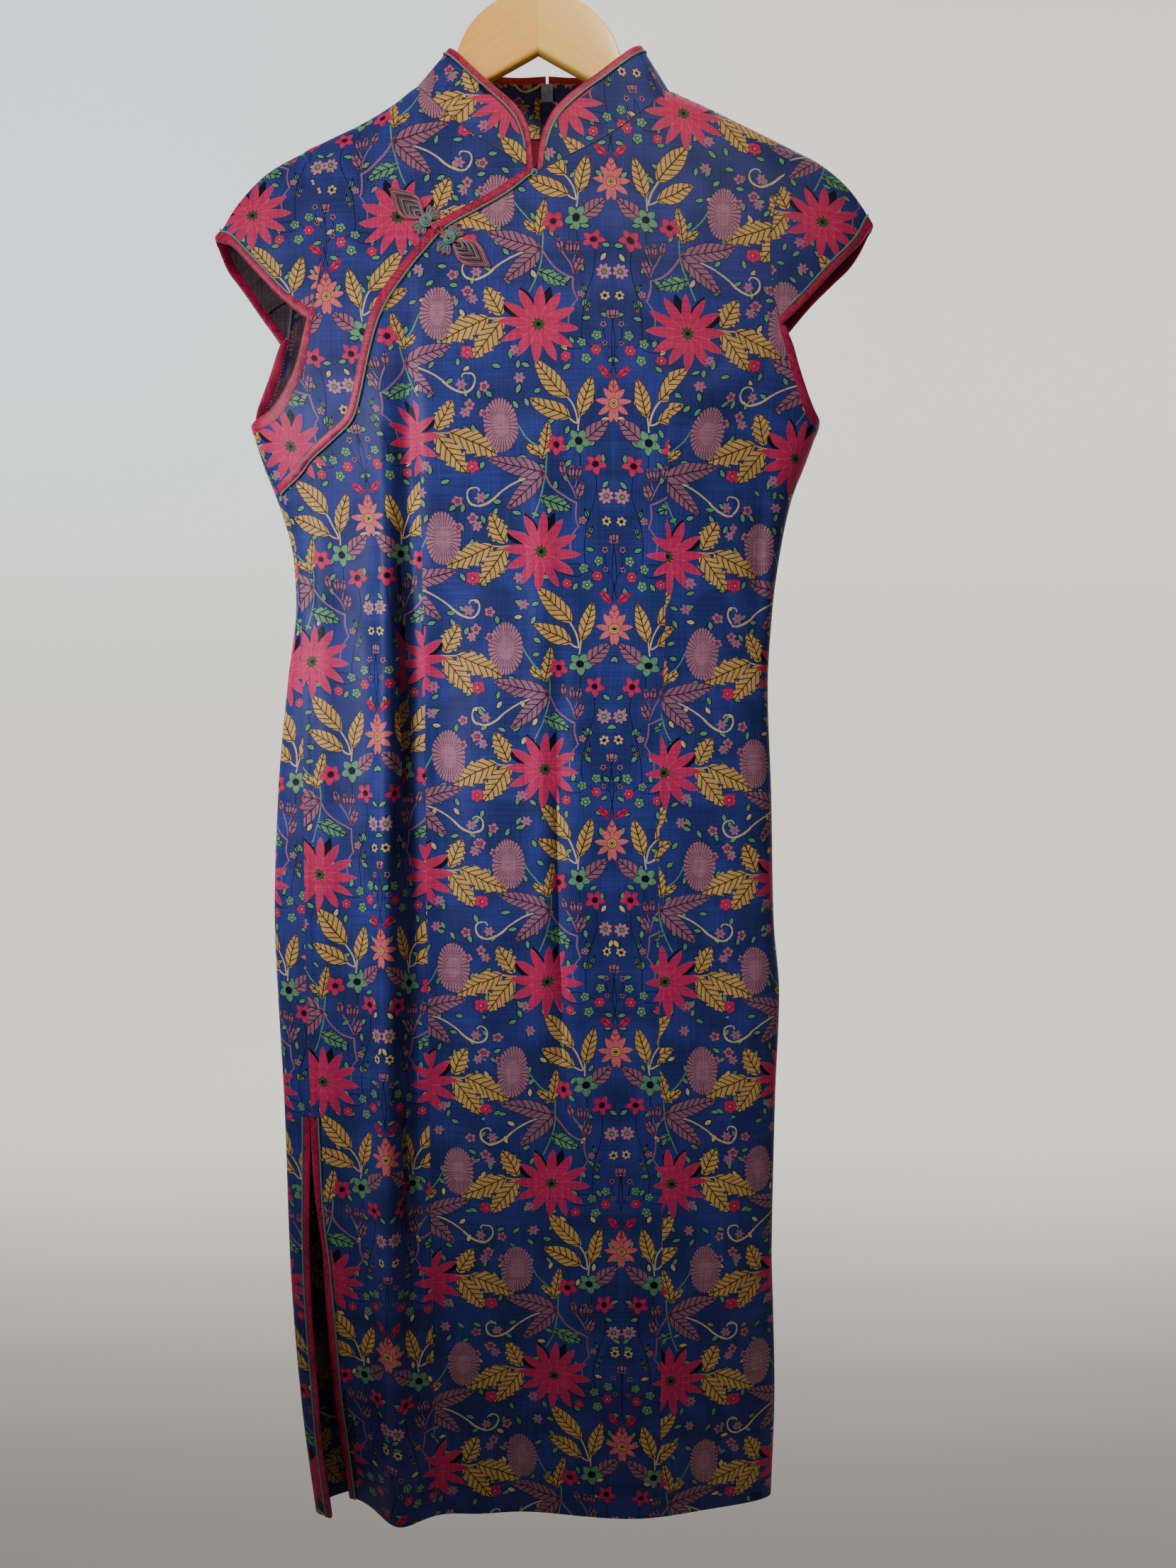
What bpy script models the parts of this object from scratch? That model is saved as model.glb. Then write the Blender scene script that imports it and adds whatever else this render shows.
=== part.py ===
"""Cheongsam on a wooden hanger, every sewn piece as its own thin solid.

Metres, +Z up, the front faces -Y and the viewer's left is -X. The origin is the inner
top of the hanger's hook, where a rail carries it.

The dress is one flattened tube. A place on it is a ring coordinate (0 at the centre
front, growing to the right round the side to the centre back, in half-widths) and a
height. Pattern pieces are grids between their cut edges in those two coordinates.
"""
from collections import namedtuple
import math

import bmesh
import bpy
import numpy as np

# ---------------------------------------------------------------- driving dimensions
CLOTH = 0.0012              # printed cloth with its lining or turning
COLLAR_CLOTH = 0.0016       # collar, two layers and a stiffener
SEAM = 0.0003               # gap between sewn pieces
BINDING_WIDTH = 0.0050
EDGE_BINDING = 0.0024       # thickness of a binding that wraps an edge
FLAT_BINDING = 0.0012       # thickness of a binding that lies on a panel
PIPING_RADIUS = 0.0008
HEM_Z = -1.202
SLIT_TOP_Z = -0.883
ARMPIT_Z = -0.3765
ARMPIT_PANEL_Z = -0.3826    # where the panels start below the armhole binding
PLACKET_END_Z = -0.4267
RIDGE_ROUND = 0.040         # how far below the shoulder line the cloth reaches full depth
HANGER_HALF_THICK = 0.0052
HOOK_WIRE = 0.0017
HOOK_RADIUS = 0.0237        # to the wire's centre line

# flattened rings of the tube; above the armpit they only set depth and roundness
Ring = namedtuple("Ring", "z left right front back")
RINGS = (
    Ring(-0.1000, -0.2520, 0.2580, 0.016, 0.017),
    Ring(-0.1900, -0.2460, 0.2560, 0.020, 0.020),
    Ring(-0.2370, -0.2310, 0.2418, 0.025, 0.022),
    Ring(-0.2448, -0.2289, 0.2402, 0.026, 0.022),
    Ring(-0.3100, -0.2162, 0.2215, 0.034, 0.024),
    Ring(-0.3765, -0.2048, 0.2045, 0.037, 0.026),
    Ring(-0.4056, -0.1964, 0.1945, 0.036, 0.026),
    Ring(-0.4258, -0.1886, 0.1866, 0.034, 0.026),
    Ring(-0.4462, -0.1818, 0.1817, 0.032, 0.025),
    Ring(-0.4718, -0.1762, 0.1774, 0.030, 0.024),
    Ring(-0.5026, -0.1748, 0.1737, 0.028, 0.023),
    Ring(-0.5600, -0.1818, 0.1708, 0.028, 0.023),
    Ring(-0.6439, -0.1905, 0.1746, 0.030, 0.025),
    Ring(-0.7403, -0.1948, 0.1780, 0.030, 0.026),
    Ring(-0.8000, -0.1932, 0.1832, 0.029, 0.026),
    Ring(-0.8829, -0.1902, 0.1812, 0.028, 0.027),
    Ring(-0.9954, -0.1886, 0.1804, 0.026, 0.029),
    Ring(-1.0468, -0.1866, 0.1822, 0.025, 0.031),
    Ring(-1.1219, -0.1815, 0.1844, 0.023, 0.033),
    Ring(-1.2020, -0.1730, 0.1827, 0.020, 0.036),
)
# line along the top of both shoulders and sleeves
Ridge = namedtuple("Ridge", "x z")
RIDGE = (
    Ridge(-0.2289, -0.2448), Ridge(-0.2213, -0.2365), Ridge(-0.2149, -0.2268),
    Ridge(-0.2045, -0.2146), Ridge(-0.1890, -0.2005), Ridge(-0.1630, -0.1866),
    Ridge(-0.1431, -0.1773), Ridge(-0.1235, -0.1685), Ridge(-0.0974, -0.1535),
    Ridge(-0.0823, -0.1426), Ridge(-0.0500, -0.1330), Ridge(0.0050, -0.1300),
    Ridge(0.0600, -0.1335), Ridge(0.0945, -0.1445), Ridge(0.1237, -0.1566),
    Ridge(0.1490, -0.1686), Ridge(0.1840, -0.1855), Ridge(0.1997, -0.1930),
    Ridge(0.2202, -0.2083), Ridge(0.2332, -0.2235), Ridge(0.2418, -0.2370),
)
# how far the tube is turned on the hanger: its left side comes forward
Turn = namedtuple("Turn", "z degrees")
TURNS = (Turn(-1.202, 3.2), Turn(-0.900, 2.6), Turn(-0.600, 1.4), Turn(-0.400, 0.0))

# large folds that run down the panels: rise is outward, half is the half-width
Fold = namedtuple("Fold", "x_top x_low z_top z_low half rise fade")
FRONT_FOLDS = (
    Fold(-0.100, -0.108, -0.42, -1.40, 0.018, 0.009, 0.12),
    Fold(-0.070, -0.074, -0.45, -1.40, 0.024, -0.006, 0.12),
    Fold(-0.015, -0.018, -0.84, -1.40, 0.045, -0.014, 0.34),
    Fold(0.078, 0.085, -0.88, -1.40, 0.045, 0.008, 0.30),
    Fold(0.100, 0.095, -0.31, -0.46, 0.040, 0.005, 0.05),
    Fold(-0.100, -0.085, -0.31, -0.46, 0.040, 0.004, 0.05),
)
BACK_FOLDS = (
    Fold(-0.085, -0.100, -0.48, -1.40, 0.028, 0.006, 0.16),
    Fold(-0.035, -0.045, -0.70, -1.40, 0.030, -0.005, 0.20),
    Fold(0.060, 0.075, -0.55, -1.40, 0.032, 0.006, 0.18),
    Fold(0.120, 0.130, -0.80, -1.40, 0.030, -0.005, 0.25),
)
Edge = namedtuple("Edge", "z x")
LEFT_SEAM = (
    Edge(-0.883, -0.1680), Edge(-0.740, -0.1690), Edge(-0.600, -0.1685),
    Edge(-0.478, -0.1712), Edge(-0.4267, -0.1815), Edge(-0.400, -0.1960),
)
SLIT_FRONT_LEFT = (
    Edge(-1.202, -0.1500), Edge(-1.108, -0.1585), Edge(-1.020, -0.1603),
    Edge(-0.986, -0.1621), Edge(-0.916, -0.1672), Edge(-0.883, -0.1680),
)
SLIT_BACK_LEFT = (
    Edge(-1.202, -0.1592), Edge(-1.135, -0.1656), Edge(-1.067, -0.1686),
    Edge(-1.0215, -0.1709), Edge(-0.988, -0.1710), Edge(-0.917, -0.1690),
    Edge(-0.883, -0.1680),
)
Side = namedtuple("Side", "z degrees")
RIGHT_SEAM = (
    Side(-1.202, 109.0), Side(-0.883, 108.0), Side(-0.600, 107.0),
    Side(-0.460, 98.0), Side(-0.3826, 90.0),
)
SLIT_SPREAD_RIGHT = 3.0     # degrees that each right slit edge stands off at the hem
CENTRE_BACK = (Edge(-1.202, 0.004), Edge(-0.500, 0.004), Edge(-0.162, 0.008), Edge(-0.100, 0.008))

# cut edges on the front and back, as x and z
NECK_FRONT_LEFT = ((0.0010, -0.2085), (-0.0068, -0.2030), (-0.0244, -0.1922), (-0.0428, -0.1811),
                   (-0.0600, -0.1671), (-0.0755, -0.1506), (-0.0823, -0.1426))
NECK_FRONT_RIGHT = ((0.0010, -0.2085), (0.0067, -0.2060), (0.0212, -0.1985), (0.0422, -0.1878),
                    (0.0637, -0.1749), (0.0790, -0.1618), (0.0890, -0.1520), (0.0945, -0.1445))
NECK_BACK_LEFT = ((-0.0823, -0.1426), (-0.0770, -0.1475), (-0.0600, -0.1545), (-0.0350, -0.1600),
                  (0.0080, -0.1620))
NECK_BACK_RIGHT = ((0.0945, -0.1445), (0.0880, -0.1490), (0.0720, -0.1550), (0.0450, -0.1600),
                   (0.0080, -0.1620))
PLACKET = ((-0.1800, -0.4267), (-0.1672, -0.4158), (-0.1576, -0.4055), (-0.1445, -0.3943),
           (-0.1315, -0.3855), (-0.1231, -0.3734), (-0.1169, -0.3481), (-0.1109, -0.3224),
           (-0.1024, -0.2999), (-0.0895, -0.2795), (-0.0697, -0.2568), (-0.0586, -0.2452),
           (-0.0270, -0.2289), (-0.0055, -0.2140), (0.0010, -0.2085))
SEAM_FRONT_LEFT = ((-0.1544, -0.3026), (-0.1503, -0.2824), (-0.1474, -0.2664), (-0.1458, -0.2511),
                   (-0.1470, -0.2361), (-0.1535, -0.2108), (-0.1590, -0.1965), (-0.1630, -0.1866))
SEAM_BACK_LEFT = ((-0.1820, -0.3100), (-0.1795, -0.2907), (-0.1745, -0.2600), (-0.1690, -0.2250),
                  (-0.1648, -0.1970), (-0.1630, -0.1866))
SEAM_FRONT_RIGHT = ((0.1714, -0.3064), (0.1678, -0.2928), (0.1652, -0.2709), (0.1656, -0.2488),
                    (0.1695, -0.2251), (0.1778, -0.2010), (0.1840, -0.1855))
SEAM_BACK_RIGHT = ((0.1797, -0.3020), (0.1787, -0.2907), (0.1772, -0.2600), (0.1785, -0.2250),
                   (0.1822, -0.1960), (0.1840, -0.1855))
# armhole binding: cut edge of the panel, and finished edge, both from the sleeve down
HOLE_PANEL_FRONT_LEFT = ((-0.1544, -0.3026), (-0.1550, -0.3078), (-0.1572, -0.3187),
                         (-0.1601, -0.3337), (-0.1657, -0.3487), (-0.1740, -0.3619),
                         (-0.1842, -0.3736), (-0.1945, -0.3810))
HOLE_EDGE_FRONT_LEFT = ((-0.1597, -0.3100), (-0.1618, -0.3210), (-0.1650, -0.3330),
                        (-0.1711, -0.3460), (-0.1785, -0.3570), (-0.1877, -0.3675),
                        (-0.1979, -0.3748))
HOLE_PANEL_BACK_LEFT = ((-0.1820, -0.3100), (-0.1836, -0.3155), (-0.1880, -0.3310), (-0.1960, -0.3570))
HOLE_EDGE_BACK_LEFT = ((-0.1884, -0.3170), (-0.1930, -0.3305), (-0.2003, -0.3540))
HOLE_PANEL_FRONT_RIGHT = ((0.1714, -0.3064), (0.1733, -0.3140), (0.1778, -0.3270), (0.1830, -0.3430),
                          (0.1885, -0.3570), (0.1945, -0.3715))
HOLE_EDGE_FRONT_RIGHT = ((0.1778, -0.3142), (0.1829, -0.3255), (0.1880, -0.3410), (0.1935, -0.3545),
                         (0.1990, -0.3660))
HOLE_PANEL_BACK_RIGHT = ((0.1797, -0.3020), (0.1812, -0.3110), (0.1860, -0.3270), (0.1950, -0.3570))
HOLE_EDGE_BACK_RIGHT = ((0.1858, -0.3120), (0.1908, -0.3270), (0.1997, -0.3540))
# sleeve hems, from the front join to the back join over the tip, cloth edge and finished edge;
# the tip lies on the shoulder line and has no height of its own
SLEEVE_CLOTH_LEFT = ((-0.1552, -0.3028), (-0.1612, -0.2985), (-0.1765, -0.2860), (-0.1948, -0.2668),
                     (-0.2115, -0.2490), (-0.2240, None), (-0.2195, -0.2580), (-0.2060, -0.2787),
                     (-0.1925, -0.2985), (-0.1844, -0.3100))
SLEEVE_EDGE_LEFT = ((-0.1583, -0.3086), (-0.1642, -0.3044), (-0.1800, -0.2902), (-0.1984, -0.2708),
                    (-0.2150, -0.2532), (-0.2289, None), (-0.2238, -0.2610), (-0.2103, -0.2817),
                    (-0.1968, -0.3015), (-0.1884, -0.3135))
SLEEVE_CLOTH_RIGHT = ((0.1727, -0.3062), (0.1765, -0.3017), (0.1900, -0.2880), (0.2090, -0.2670),
                      (0.2255, -0.2500), (0.2372, None), (0.2255, -0.2570), (0.2120, -0.2700),
                      (0.1960, -0.2855), (0.1812, -0.3032))
SLEEVE_EDGE_RIGHT = ((0.1739, -0.3112), (0.1795, -0.3058), (0.1935, -0.2915), (0.2126, -0.2706),
                     (0.2297, -0.2530), (0.2418, None), (0.2300, -0.2600), (0.2163, -0.2732),
                     (0.2000, -0.2890), (0.1850, -0.3065))
# top edge of the collar from the foot of the V to the side, then to the centre back
COLLAR_TOP_LEFT = ((0.0004, -0.0235, -0.2080), (-0.0002, -0.0226, -0.1983), (-0.0010, -0.0218, -0.1883),
                   (-0.0036, -0.0205, -0.1767), (-0.0096, -0.0190, -0.1649),
                   (-0.0186, -0.0170, -0.1552), (-0.0310, -0.0145, -0.1441),
                   (-0.0446, -0.0118, -0.1310), (-0.0540, -0.0088, -0.1212),
                   (-0.0589, 0.0000, -0.1159))
COLLAR_TOP_RIGHT = ((0.0026, -0.0235, -0.2080), (0.0032, -0.0226, -0.1969), (0.0052, -0.0218, -0.1855),
                    (0.0095, -0.0205, -0.1722), (0.0168, -0.0190, -0.1621),
                    (0.0290, -0.0170, -0.1505), (0.0437, -0.0145, -0.1393),
                    (0.0592, -0.0118, -0.1267), (0.0690, -0.0088, -0.1187),
                    (0.0746, 0.0000, -0.1140))
COLLAR_BACK_LEFT = ((-0.0589, 0.0000, -0.1159), (-0.0575, 0.0110, -0.1166), (-0.0480, 0.0230, -0.1178),
                    (-0.0270, 0.0325, -0.1182), (-0.0080, 0.0352, -0.1176), (0.0070, 0.0355, -0.1165))
COLLAR_BACK_RIGHT = ((0.0746, 0.0000, -0.1140), (0.0730, 0.0110, -0.1150), (0.0630, 0.0230, -0.1175),
                     (0.0420, 0.0325, -0.1182), (0.0240, 0.0352, -0.1176), (0.0090, 0.0355, -0.1165))
COLLAR_SEAM = 0.0010        # the collar's lower edge stands this far above the neck seam
ZIP_HALF_GAP = 0.0009       # the collar halves stand this far off the centre back

# frog fastening: a coil with loops beside it and a leaf, on each side of the placket
Frog = namedtuple("Frog", "name x z toward_x toward_z clear")
FROGS = (
    Frog("upper", -0.0738, -0.2423, -0.0986, -0.2206, 0.0045),
    Frog("lower", -0.0582, -0.2552, -0.0318, -0.2732, 0.0042),
)
FROG_KNOT = (-0.0662, -0.2474)
FROG_COIL_RADIUS = 0.0048
FROG_LOOP_RADIUS = 0.0092
FROG_LEAF_START = 0.0062
FROG_LEAF_LENGTH = 0.0270
FROG_LEAF_HALF = 0.0092

# zip in the centre back, and its slider near the top of the collar
ZIP_TOP_Z = -0.1372
ZIP_LOW_Z = -0.600
ZIP_TAPE_HALF = 0.0055
ZIP_COIL_HALF = 0.0026
SLIDER_X = 0.0080
SLIDER_Z = -0.1300
SLIDER_HALF = (0.0044, 0.0011, 0.0066)
PULL_LENGTH = 0.0200
PULL_HALF_WIDTH = 0.0024
PULL_PIN = 0.0006
PULL_Z = -0.1275

# hanger: top line as x and z from the middle out, and its depth below that line
Hump = namedtuple("Hump", "away top low")
HUMP = (
    Hump(0.0000, -0.0767, -0.1195), Hump(0.0120, -0.0779, -0.1260), Hump(0.0240, -0.0817, -0.1323),
    Hump(0.0340, -0.0873, -0.1376), Hump(0.0420, -0.0939, -0.1418), Hump(0.0480, -0.1007, -0.1449),
    Hump(0.0530, -0.1086, -0.1475), Hump(0.0570, -0.1180, -0.1495), Hump(0.0610, -0.1300, -0.1516),
    Hump(0.0650, -0.1390, -0.1536), Hump(0.0710, -0.1450, -0.1568), Hump(0.0800, -0.1495, -0.1620),
)
HANGER_MIDDLE_X = 0.0030
HANGER_DROP = 0.0048        # top of the arms below the shoulder line
HANGER_ARM_DEPTH = 0.0150
HANGER_REACH = 0.1700

# grid counts
SLIT_ROWS = 8               # rows of the panels beside the slits
SIDE_ROWS = 11              # rows from the slits to the armpit or the placket's end
BINDING_ROWS = 7            # rows along the right front of an armhole binding
BINDING_BACK_ROWS = 3       # rows along its other parts
SLEEVE_ROWS = {"front_left": 6, "front_right": 11, "back": 6}
SHOULDER_COLUMNS = 4        # the left front's columns along the shoulder
NECK_ROWS = 5               # the right front's rows along the neck
UNDERLAP_SHARES = (0.0, 0.14, 0.42, 0.68, 0.87, 0.96, 1.0)   # rows from the placket up
UNDERLAP_NECK = (0.0, 0.056, 0.36, 0.62, 0.83, 0.94, 1.0)    # the same rows at the neck
COLLAR_COUNTS = (10, 6)     # columns of the collar's front and back halves

# colours of the finishes
NAVY = (0.016, 0.037, 0.147, 1.0)
CRIMSON = (0.480, 0.024, 0.085, 1.0)
TEAL = (0.212, 0.429, 0.347, 1.0)
TAUPE = (0.060, 0.040, 0.039, 1.0)
WOOD = (0.745, 0.527, 0.216, 1.0)
STEEL = (0.62, 0.62, 0.64, 1.0)
ZIP_BLUE = (0.144, 0.162, 0.434, 1.0)
ZIP_TAPE = (0.010, 0.018, 0.060, 1.0)

SIXTY = math.radians(60.0)
SIN_SIXTY = math.sin(SIXTY)
HALF_WIDTH = 0.19           # turns ring coordinates into metres along the cloth
SIDES = ((-1, "left"), (1, "right"))
SIDE_FOLD = SIN_SIXTY + 0.5 * (math.radians(90.0) - SIXTY)   # ring coordinate of the side fold
SEAM_TURN = SEAM / 2.0 / HALF_WIDTH                  # half a seam gap as a ring coordinate
CLEAR = 0.00015             # gap under what lies on a panel
FOLD_CLEAR = 0.0007         # gap under a cord that passes over a fold
ZIP_CLEAR = 0.0006
ZIP_COIL_SHARE = ZIP_COIL_HALF / ZIP_TAPE_HALF
LINING = 0.0010
PLACKET_BAND = (PIPING_RADIUS + SEAM, PIPING_RADIUS + SEAM + BINDING_WIDTH)
CORD_LINE = BINDING_WIDTH + PIPING_RADIUS + 2 * SEAM   # a cord's distance from a bound edge
SLEEVE_SHARES = (0.0, 0.22, 0.48, 0.75, 1.0)
PULL_EYE = 0.0014
PULL_HALF_THICK = 0.0005


# ---------------------------------------------------------------- curves and tables
def through(places, values, at):
    """Smooth curve through a table with no overshoot between its rows."""
    order = np.argsort(places)
    places = np.asarray(places, float)[order]
    values = np.asarray(values, float)[order]
    step = np.diff(places)
    slope = np.diff(values) / step
    lean = np.zeros_like(values)
    lean[0], lean[-1] = slope[0], slope[-1]
    same = slope[:-1] * slope[1:] > 0
    after, before = 2 * step[1:] + step[:-1], step[1:] + 2 * step[:-1]
    with np.errstate(divide="ignore", invalid="ignore"):
        mean = (after + before) / (after / slope[:-1] + before / slope[1:])
    lean[1:-1][same] = mean[same]
    at = np.clip(np.asarray(at, float), places[0], places[-1])
    row = np.clip(np.searchsorted(places, at) - 1, 0, len(step) - 1)
    u = (at - places[row]) / step[row]
    return (values[row] * (1 + 2 * u) * (1 - u) ** 2 + lean[row] * step[row] * u * (1 - u) ** 2
            + values[row + 1] * u * u * (3 - 2 * u) + lean[row + 1] * step[row] * u * u * (u - 1))


def column(rows, name):
    """One named column of a table."""
    return [getattr(row, name) for row in rows]


def smooth(value):
    """Smooth step from 0 to 1."""
    value = np.clip(value, 0.0, 1.0)
    return value * value * (3.0 - 2.0 * value)


def spread(points, count):
    """Points at even spacing on the smooth curve through the given ones."""
    points = np.array([[float(value) for value in point] for point in points])
    lengths = np.linalg.norm(np.diff(points, axis=0), axis=1)
    along = np.concatenate(([0.0], np.cumsum(np.maximum(lengths, 1e-6))))
    fine = np.linspace(0.0, along[-1], 40 * len(points))
    curve = np.stack([through(along, points[:, axis], fine) for axis in range(points.shape[1])], 1)
    run = np.concatenate(([0.0], np.cumsum(np.linalg.norm(np.diff(curve, axis=0), axis=1))))
    even = np.linspace(0.0, run[-1], count)
    return np.stack([np.interp(even, run, curve[:, axis]) for axis in range(points.shape[1])], 1)


def shifted(points, distance):
    """A flat path moved sideways, to the left of its direction when distance is positive."""
    points = np.asarray(points, float)
    direction = np.gradient(points, axis=0)
    direction /= np.linalg.norm(direction, axis=1)[:, None] + 1e-12
    return points + distance * np.stack((-direction[:, 1], direction[:, 0]), 1)


# ---------------------------------------------------------------- the form of the cloth
def ring_place(angle):
    """Ring coordinate of an angle about the tube, both 0 at the centre front."""
    size = np.abs(angle)
    near = np.sin(size)
    side = SIN_SIXTY + 0.5 * (size - SIXTY)
    far = 2.0 * SIN_SIXTY + 0.5 * SIXTY - np.sin(size)
    return np.sign(angle) * np.where(size <= SIXTY, near, np.where(size <= 2 * SIXTY, side, far))


def ring_angle(place):
    """Angle about the tube of a ring coordinate."""
    size = np.abs(place)
    turn = SIN_SIXTY + 0.5 * SIXTY
    near = np.arcsin(np.clip(size, 0.0, SIN_SIXTY))
    side = SIXTY + 2.0 * (size - SIN_SIXTY)
    far = math.pi - np.arcsin(np.clip(turn + SIN_SIXTY - size, -1.0, SIN_SIXTY))
    return np.sign(place) * np.where(size <= SIN_SIXTY, near, np.where(size <= turn, side, far))


def ring(name, z):
    """A ring's named size at a height."""
    return through(column(RINGS, "z"), column(RINGS, name), z)


def ridge_z(x):
    """Height of the shoulder line."""
    return through(column(RIDGE, "x"), column(RIDGE, "z"), x)


def fold_rise(rows, x, z):
    """Sum of the folds of one side."""
    total = np.zeros_like(x)
    for row in rows:
        along = np.clip((row.z_top - z) / (row.z_top - row.z_low), 0.0, 1.0)
        middle = row.x_top + (row.x_low - row.x_top) * along
        strength = smooth((row.z_top - z) / row.fade) * smooth((z - row.z_low) / row.fade)
        total += row.rise * strength * np.exp(-(((x - middle) / row.half) ** 2))
    return total


def cloth_form(place, z, curl):
    """The cloth's middle surface, before anything is moved out from it."""
    angle = ring_angle(place)
    left, right = ring("left", z), ring("right", z)
    x = 0.5 * (left + right) + 0.5 * (right - left) * np.sin(angle)
    facing = np.cos(angle)
    front = facing > 0.0
    below = np.clip((ridge_z(x) - z) / RIDGE_ROUND, 0.0, 1.0)
    rounding = np.sqrt(np.maximum(1.0 - (1.0 - below) ** 2, 0.0))
    neck = np.exp(-((x - 0.005) / 0.075) ** 2 - ((z + 0.165) / 0.055) ** 2)
    depth = np.where(front, ring("front", z) + 0.003 * neck, ring("back", z) + 0.016 * neck)
    depth = depth * np.abs(facing) ** 0.8 * rounding
    depth += np.where(front, fold_rise(FRONT_FOLDS, x, z), fold_rise(BACK_FOLDS, x, z)) * smooth(
        np.abs(facing) / 0.4)
    y = np.where(front, -depth, depth)
    y += x * np.tan(np.radians(through(column(TURNS, "z"), column(TURNS, "degrees"), z)))
    if curl:
        y += 0.024 * smooth((-0.100 - x) / 0.052) * smooth((-0.95 - z) / 0.25)
    return np.stack((x, y, z), -1)


def cloth(place, z, out=0.0, curl=False):
    """Points on the cloth, moved out along its normal."""
    place, z = np.broadcast_arrays(np.asarray(place, float), np.asarray(z, float))
    point = cloth_form(place, z, curl)
    if out:
        small = 2e-4
        across = cloth_form(place + small / HALF_WIDTH, z, curl) - cloth_form(
            place - small / HALF_WIDTH, z, curl)
        up = cloth_form(place, z + small, curl) - cloth_form(place, z - small, curl)
        normal = np.cross(across, up)
        x = point[..., 0]
        slope = (ridge_z(x + small) - ridge_z(x - small)) / (2.0 * small)
        crest = np.stack((-slope, 0.0 * slope, 1.0 + 0.0 * slope), -1)
        on_crest = (ridge_z(x) - z < 5.0 * small)[..., None]
        normal = np.where(on_crest, crest, normal)
        point = point + out * normal / (np.linalg.norm(normal, axis=-1)[..., None] + 1e-12)
    return point


def on_side(points, back=0):
    """Ring coordinates and heights of points given as x and z.

    back is 0 on the front, -1 on the back reached round the left, 1 round the right.
    """
    points = np.asarray(points, float)
    x, z = points[:, 0], points[:, 1]
    left, right = ring("left", z), ring("right", z)
    lean = np.arcsin(np.clip((x - 0.5 * (left + right)) / (0.5 * (right - left)), -1.0, 1.0))
    if back:
        lean = back * math.pi - lean
    return np.stack((ring_place(lean), z), 1)


def grid_between(lower, upper, shares):
    """Straight blend of two edges with equal counts, one row for each share of the way."""
    blend = np.asarray(shares, float)[:, None, None]
    return (1 - blend) * lower[None] + blend * upper[None]


def share_along(path, other):
    """How far along its path each point lies, from 0 to 1; a path with no length takes the other's."""
    steps = np.linalg.norm(np.diff(path * (HALF_WIDTH, 1.0), axis=0), axis=1)
    if steps.sum() < 1e-4:
        return share_along(other, path)
    return np.concatenate(([0.0], np.cumsum(steps))) / steps.sum()


def grid_inside(left, right, bottom, top):
    """Blend of four edges that meet at their ends (a Coons patch).

    The shares drift from one edge's spacing to the opposite edge's.
    """
    low, high = share_along(bottom, top)[None, :], share_along(top, bottom)[None, :]
    near, far = share_along(left, right)[:, None], share_along(right, left)[:, None]
    across, up = high - low, far - near
    s = (low + near * across) / (1.0 - across * up)
    t = near + s * up
    s, t = s[..., None], t[..., None]
    sides = (1 - s) * left[:, None] + s * right[:, None]
    ends = (1 - t) * bottom[None] + t * top[None]
    corners = ((1 - s) * (1 - t) * bottom[0] + s * (1 - t) * bottom[-1]
               + (1 - s) * t * top[0] + s * t * top[-1])
    return sides + ends - corners


# ---------------------------------------------------------------- objects
def finish(name, colour, roughness=0.6, metallic=0.0):
    """A Principled material."""
    material = bpy.data.materials.get(name)
    if material is None:
        material = bpy.data.materials.new(name)
        material.use_nodes = True
        shader = material.node_tree.nodes["Principled BSDF"]
        shader.inputs["Base Color"].default_value = colour
        shader.inputs["Roughness"].default_value = roughness
        shader.inputs["Metallic"].default_value = metallic
    return material


def finishes():
    """Every finish of the dress and its hanger."""
    return {
        "print": finish("navy printed cloth", NAVY, 0.48),
        "binding": finish("crimson satin", CRIMSON, 0.35),
        "piping": finish("teal cord", TEAL, 0.6),
        "lining": finish("taupe lining", TAUPE, 0.55),
        "wood": finish("varnished wood", WOOD, 0.42),
        "steel": finish("plated wire", STEEL, 0.25, 1.0),
        "slider": finish("enamelled slider", ZIP_BLUE, 0.4),
        "tape": finish("zip tape", ZIP_TAPE, 0.7),
    }


def add_object(name, data, material):
    """Links a new object to the model's collection."""
    piece = bpy.data.objects.new(name, data)
    piece.data.materials.append(material)
    MODEL.objects.link(piece)
    return piece


def mesh_of(name, vertices, faces):
    """A mesh whose coincident points are merged and empty faces dropped."""
    mesh = bpy.data.meshes.new(name)
    mesh.from_pydata([tuple(point) for point in vertices], [], faces)
    work = bmesh.new()
    work.from_mesh(mesh)
    bmesh.ops.remove_doubles(work, verts=work.verts, dist=2e-5)
    bmesh.ops.dissolve_degenerate(work, edges=work.edges, dist=1e-6)
    bmesh.ops.recalc_face_normals(work, faces=work.faces)
    work.to_mesh(mesh)
    work.free()
    mesh.shade_smooth()
    return mesh


def grid_faces(rows, columns, offset=0):
    """Triangles of a grid whose points are listed row by row, all cut along the same diagonal."""
    faces = []
    for row in range(rows - 1):
        for place in range(columns - 1):
            first = offset + row * columns + place
            faces.append((first, first + 1, first + columns + 1))
            faces.append((first, first + columns + 1, first + columns))
    return faces


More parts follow.
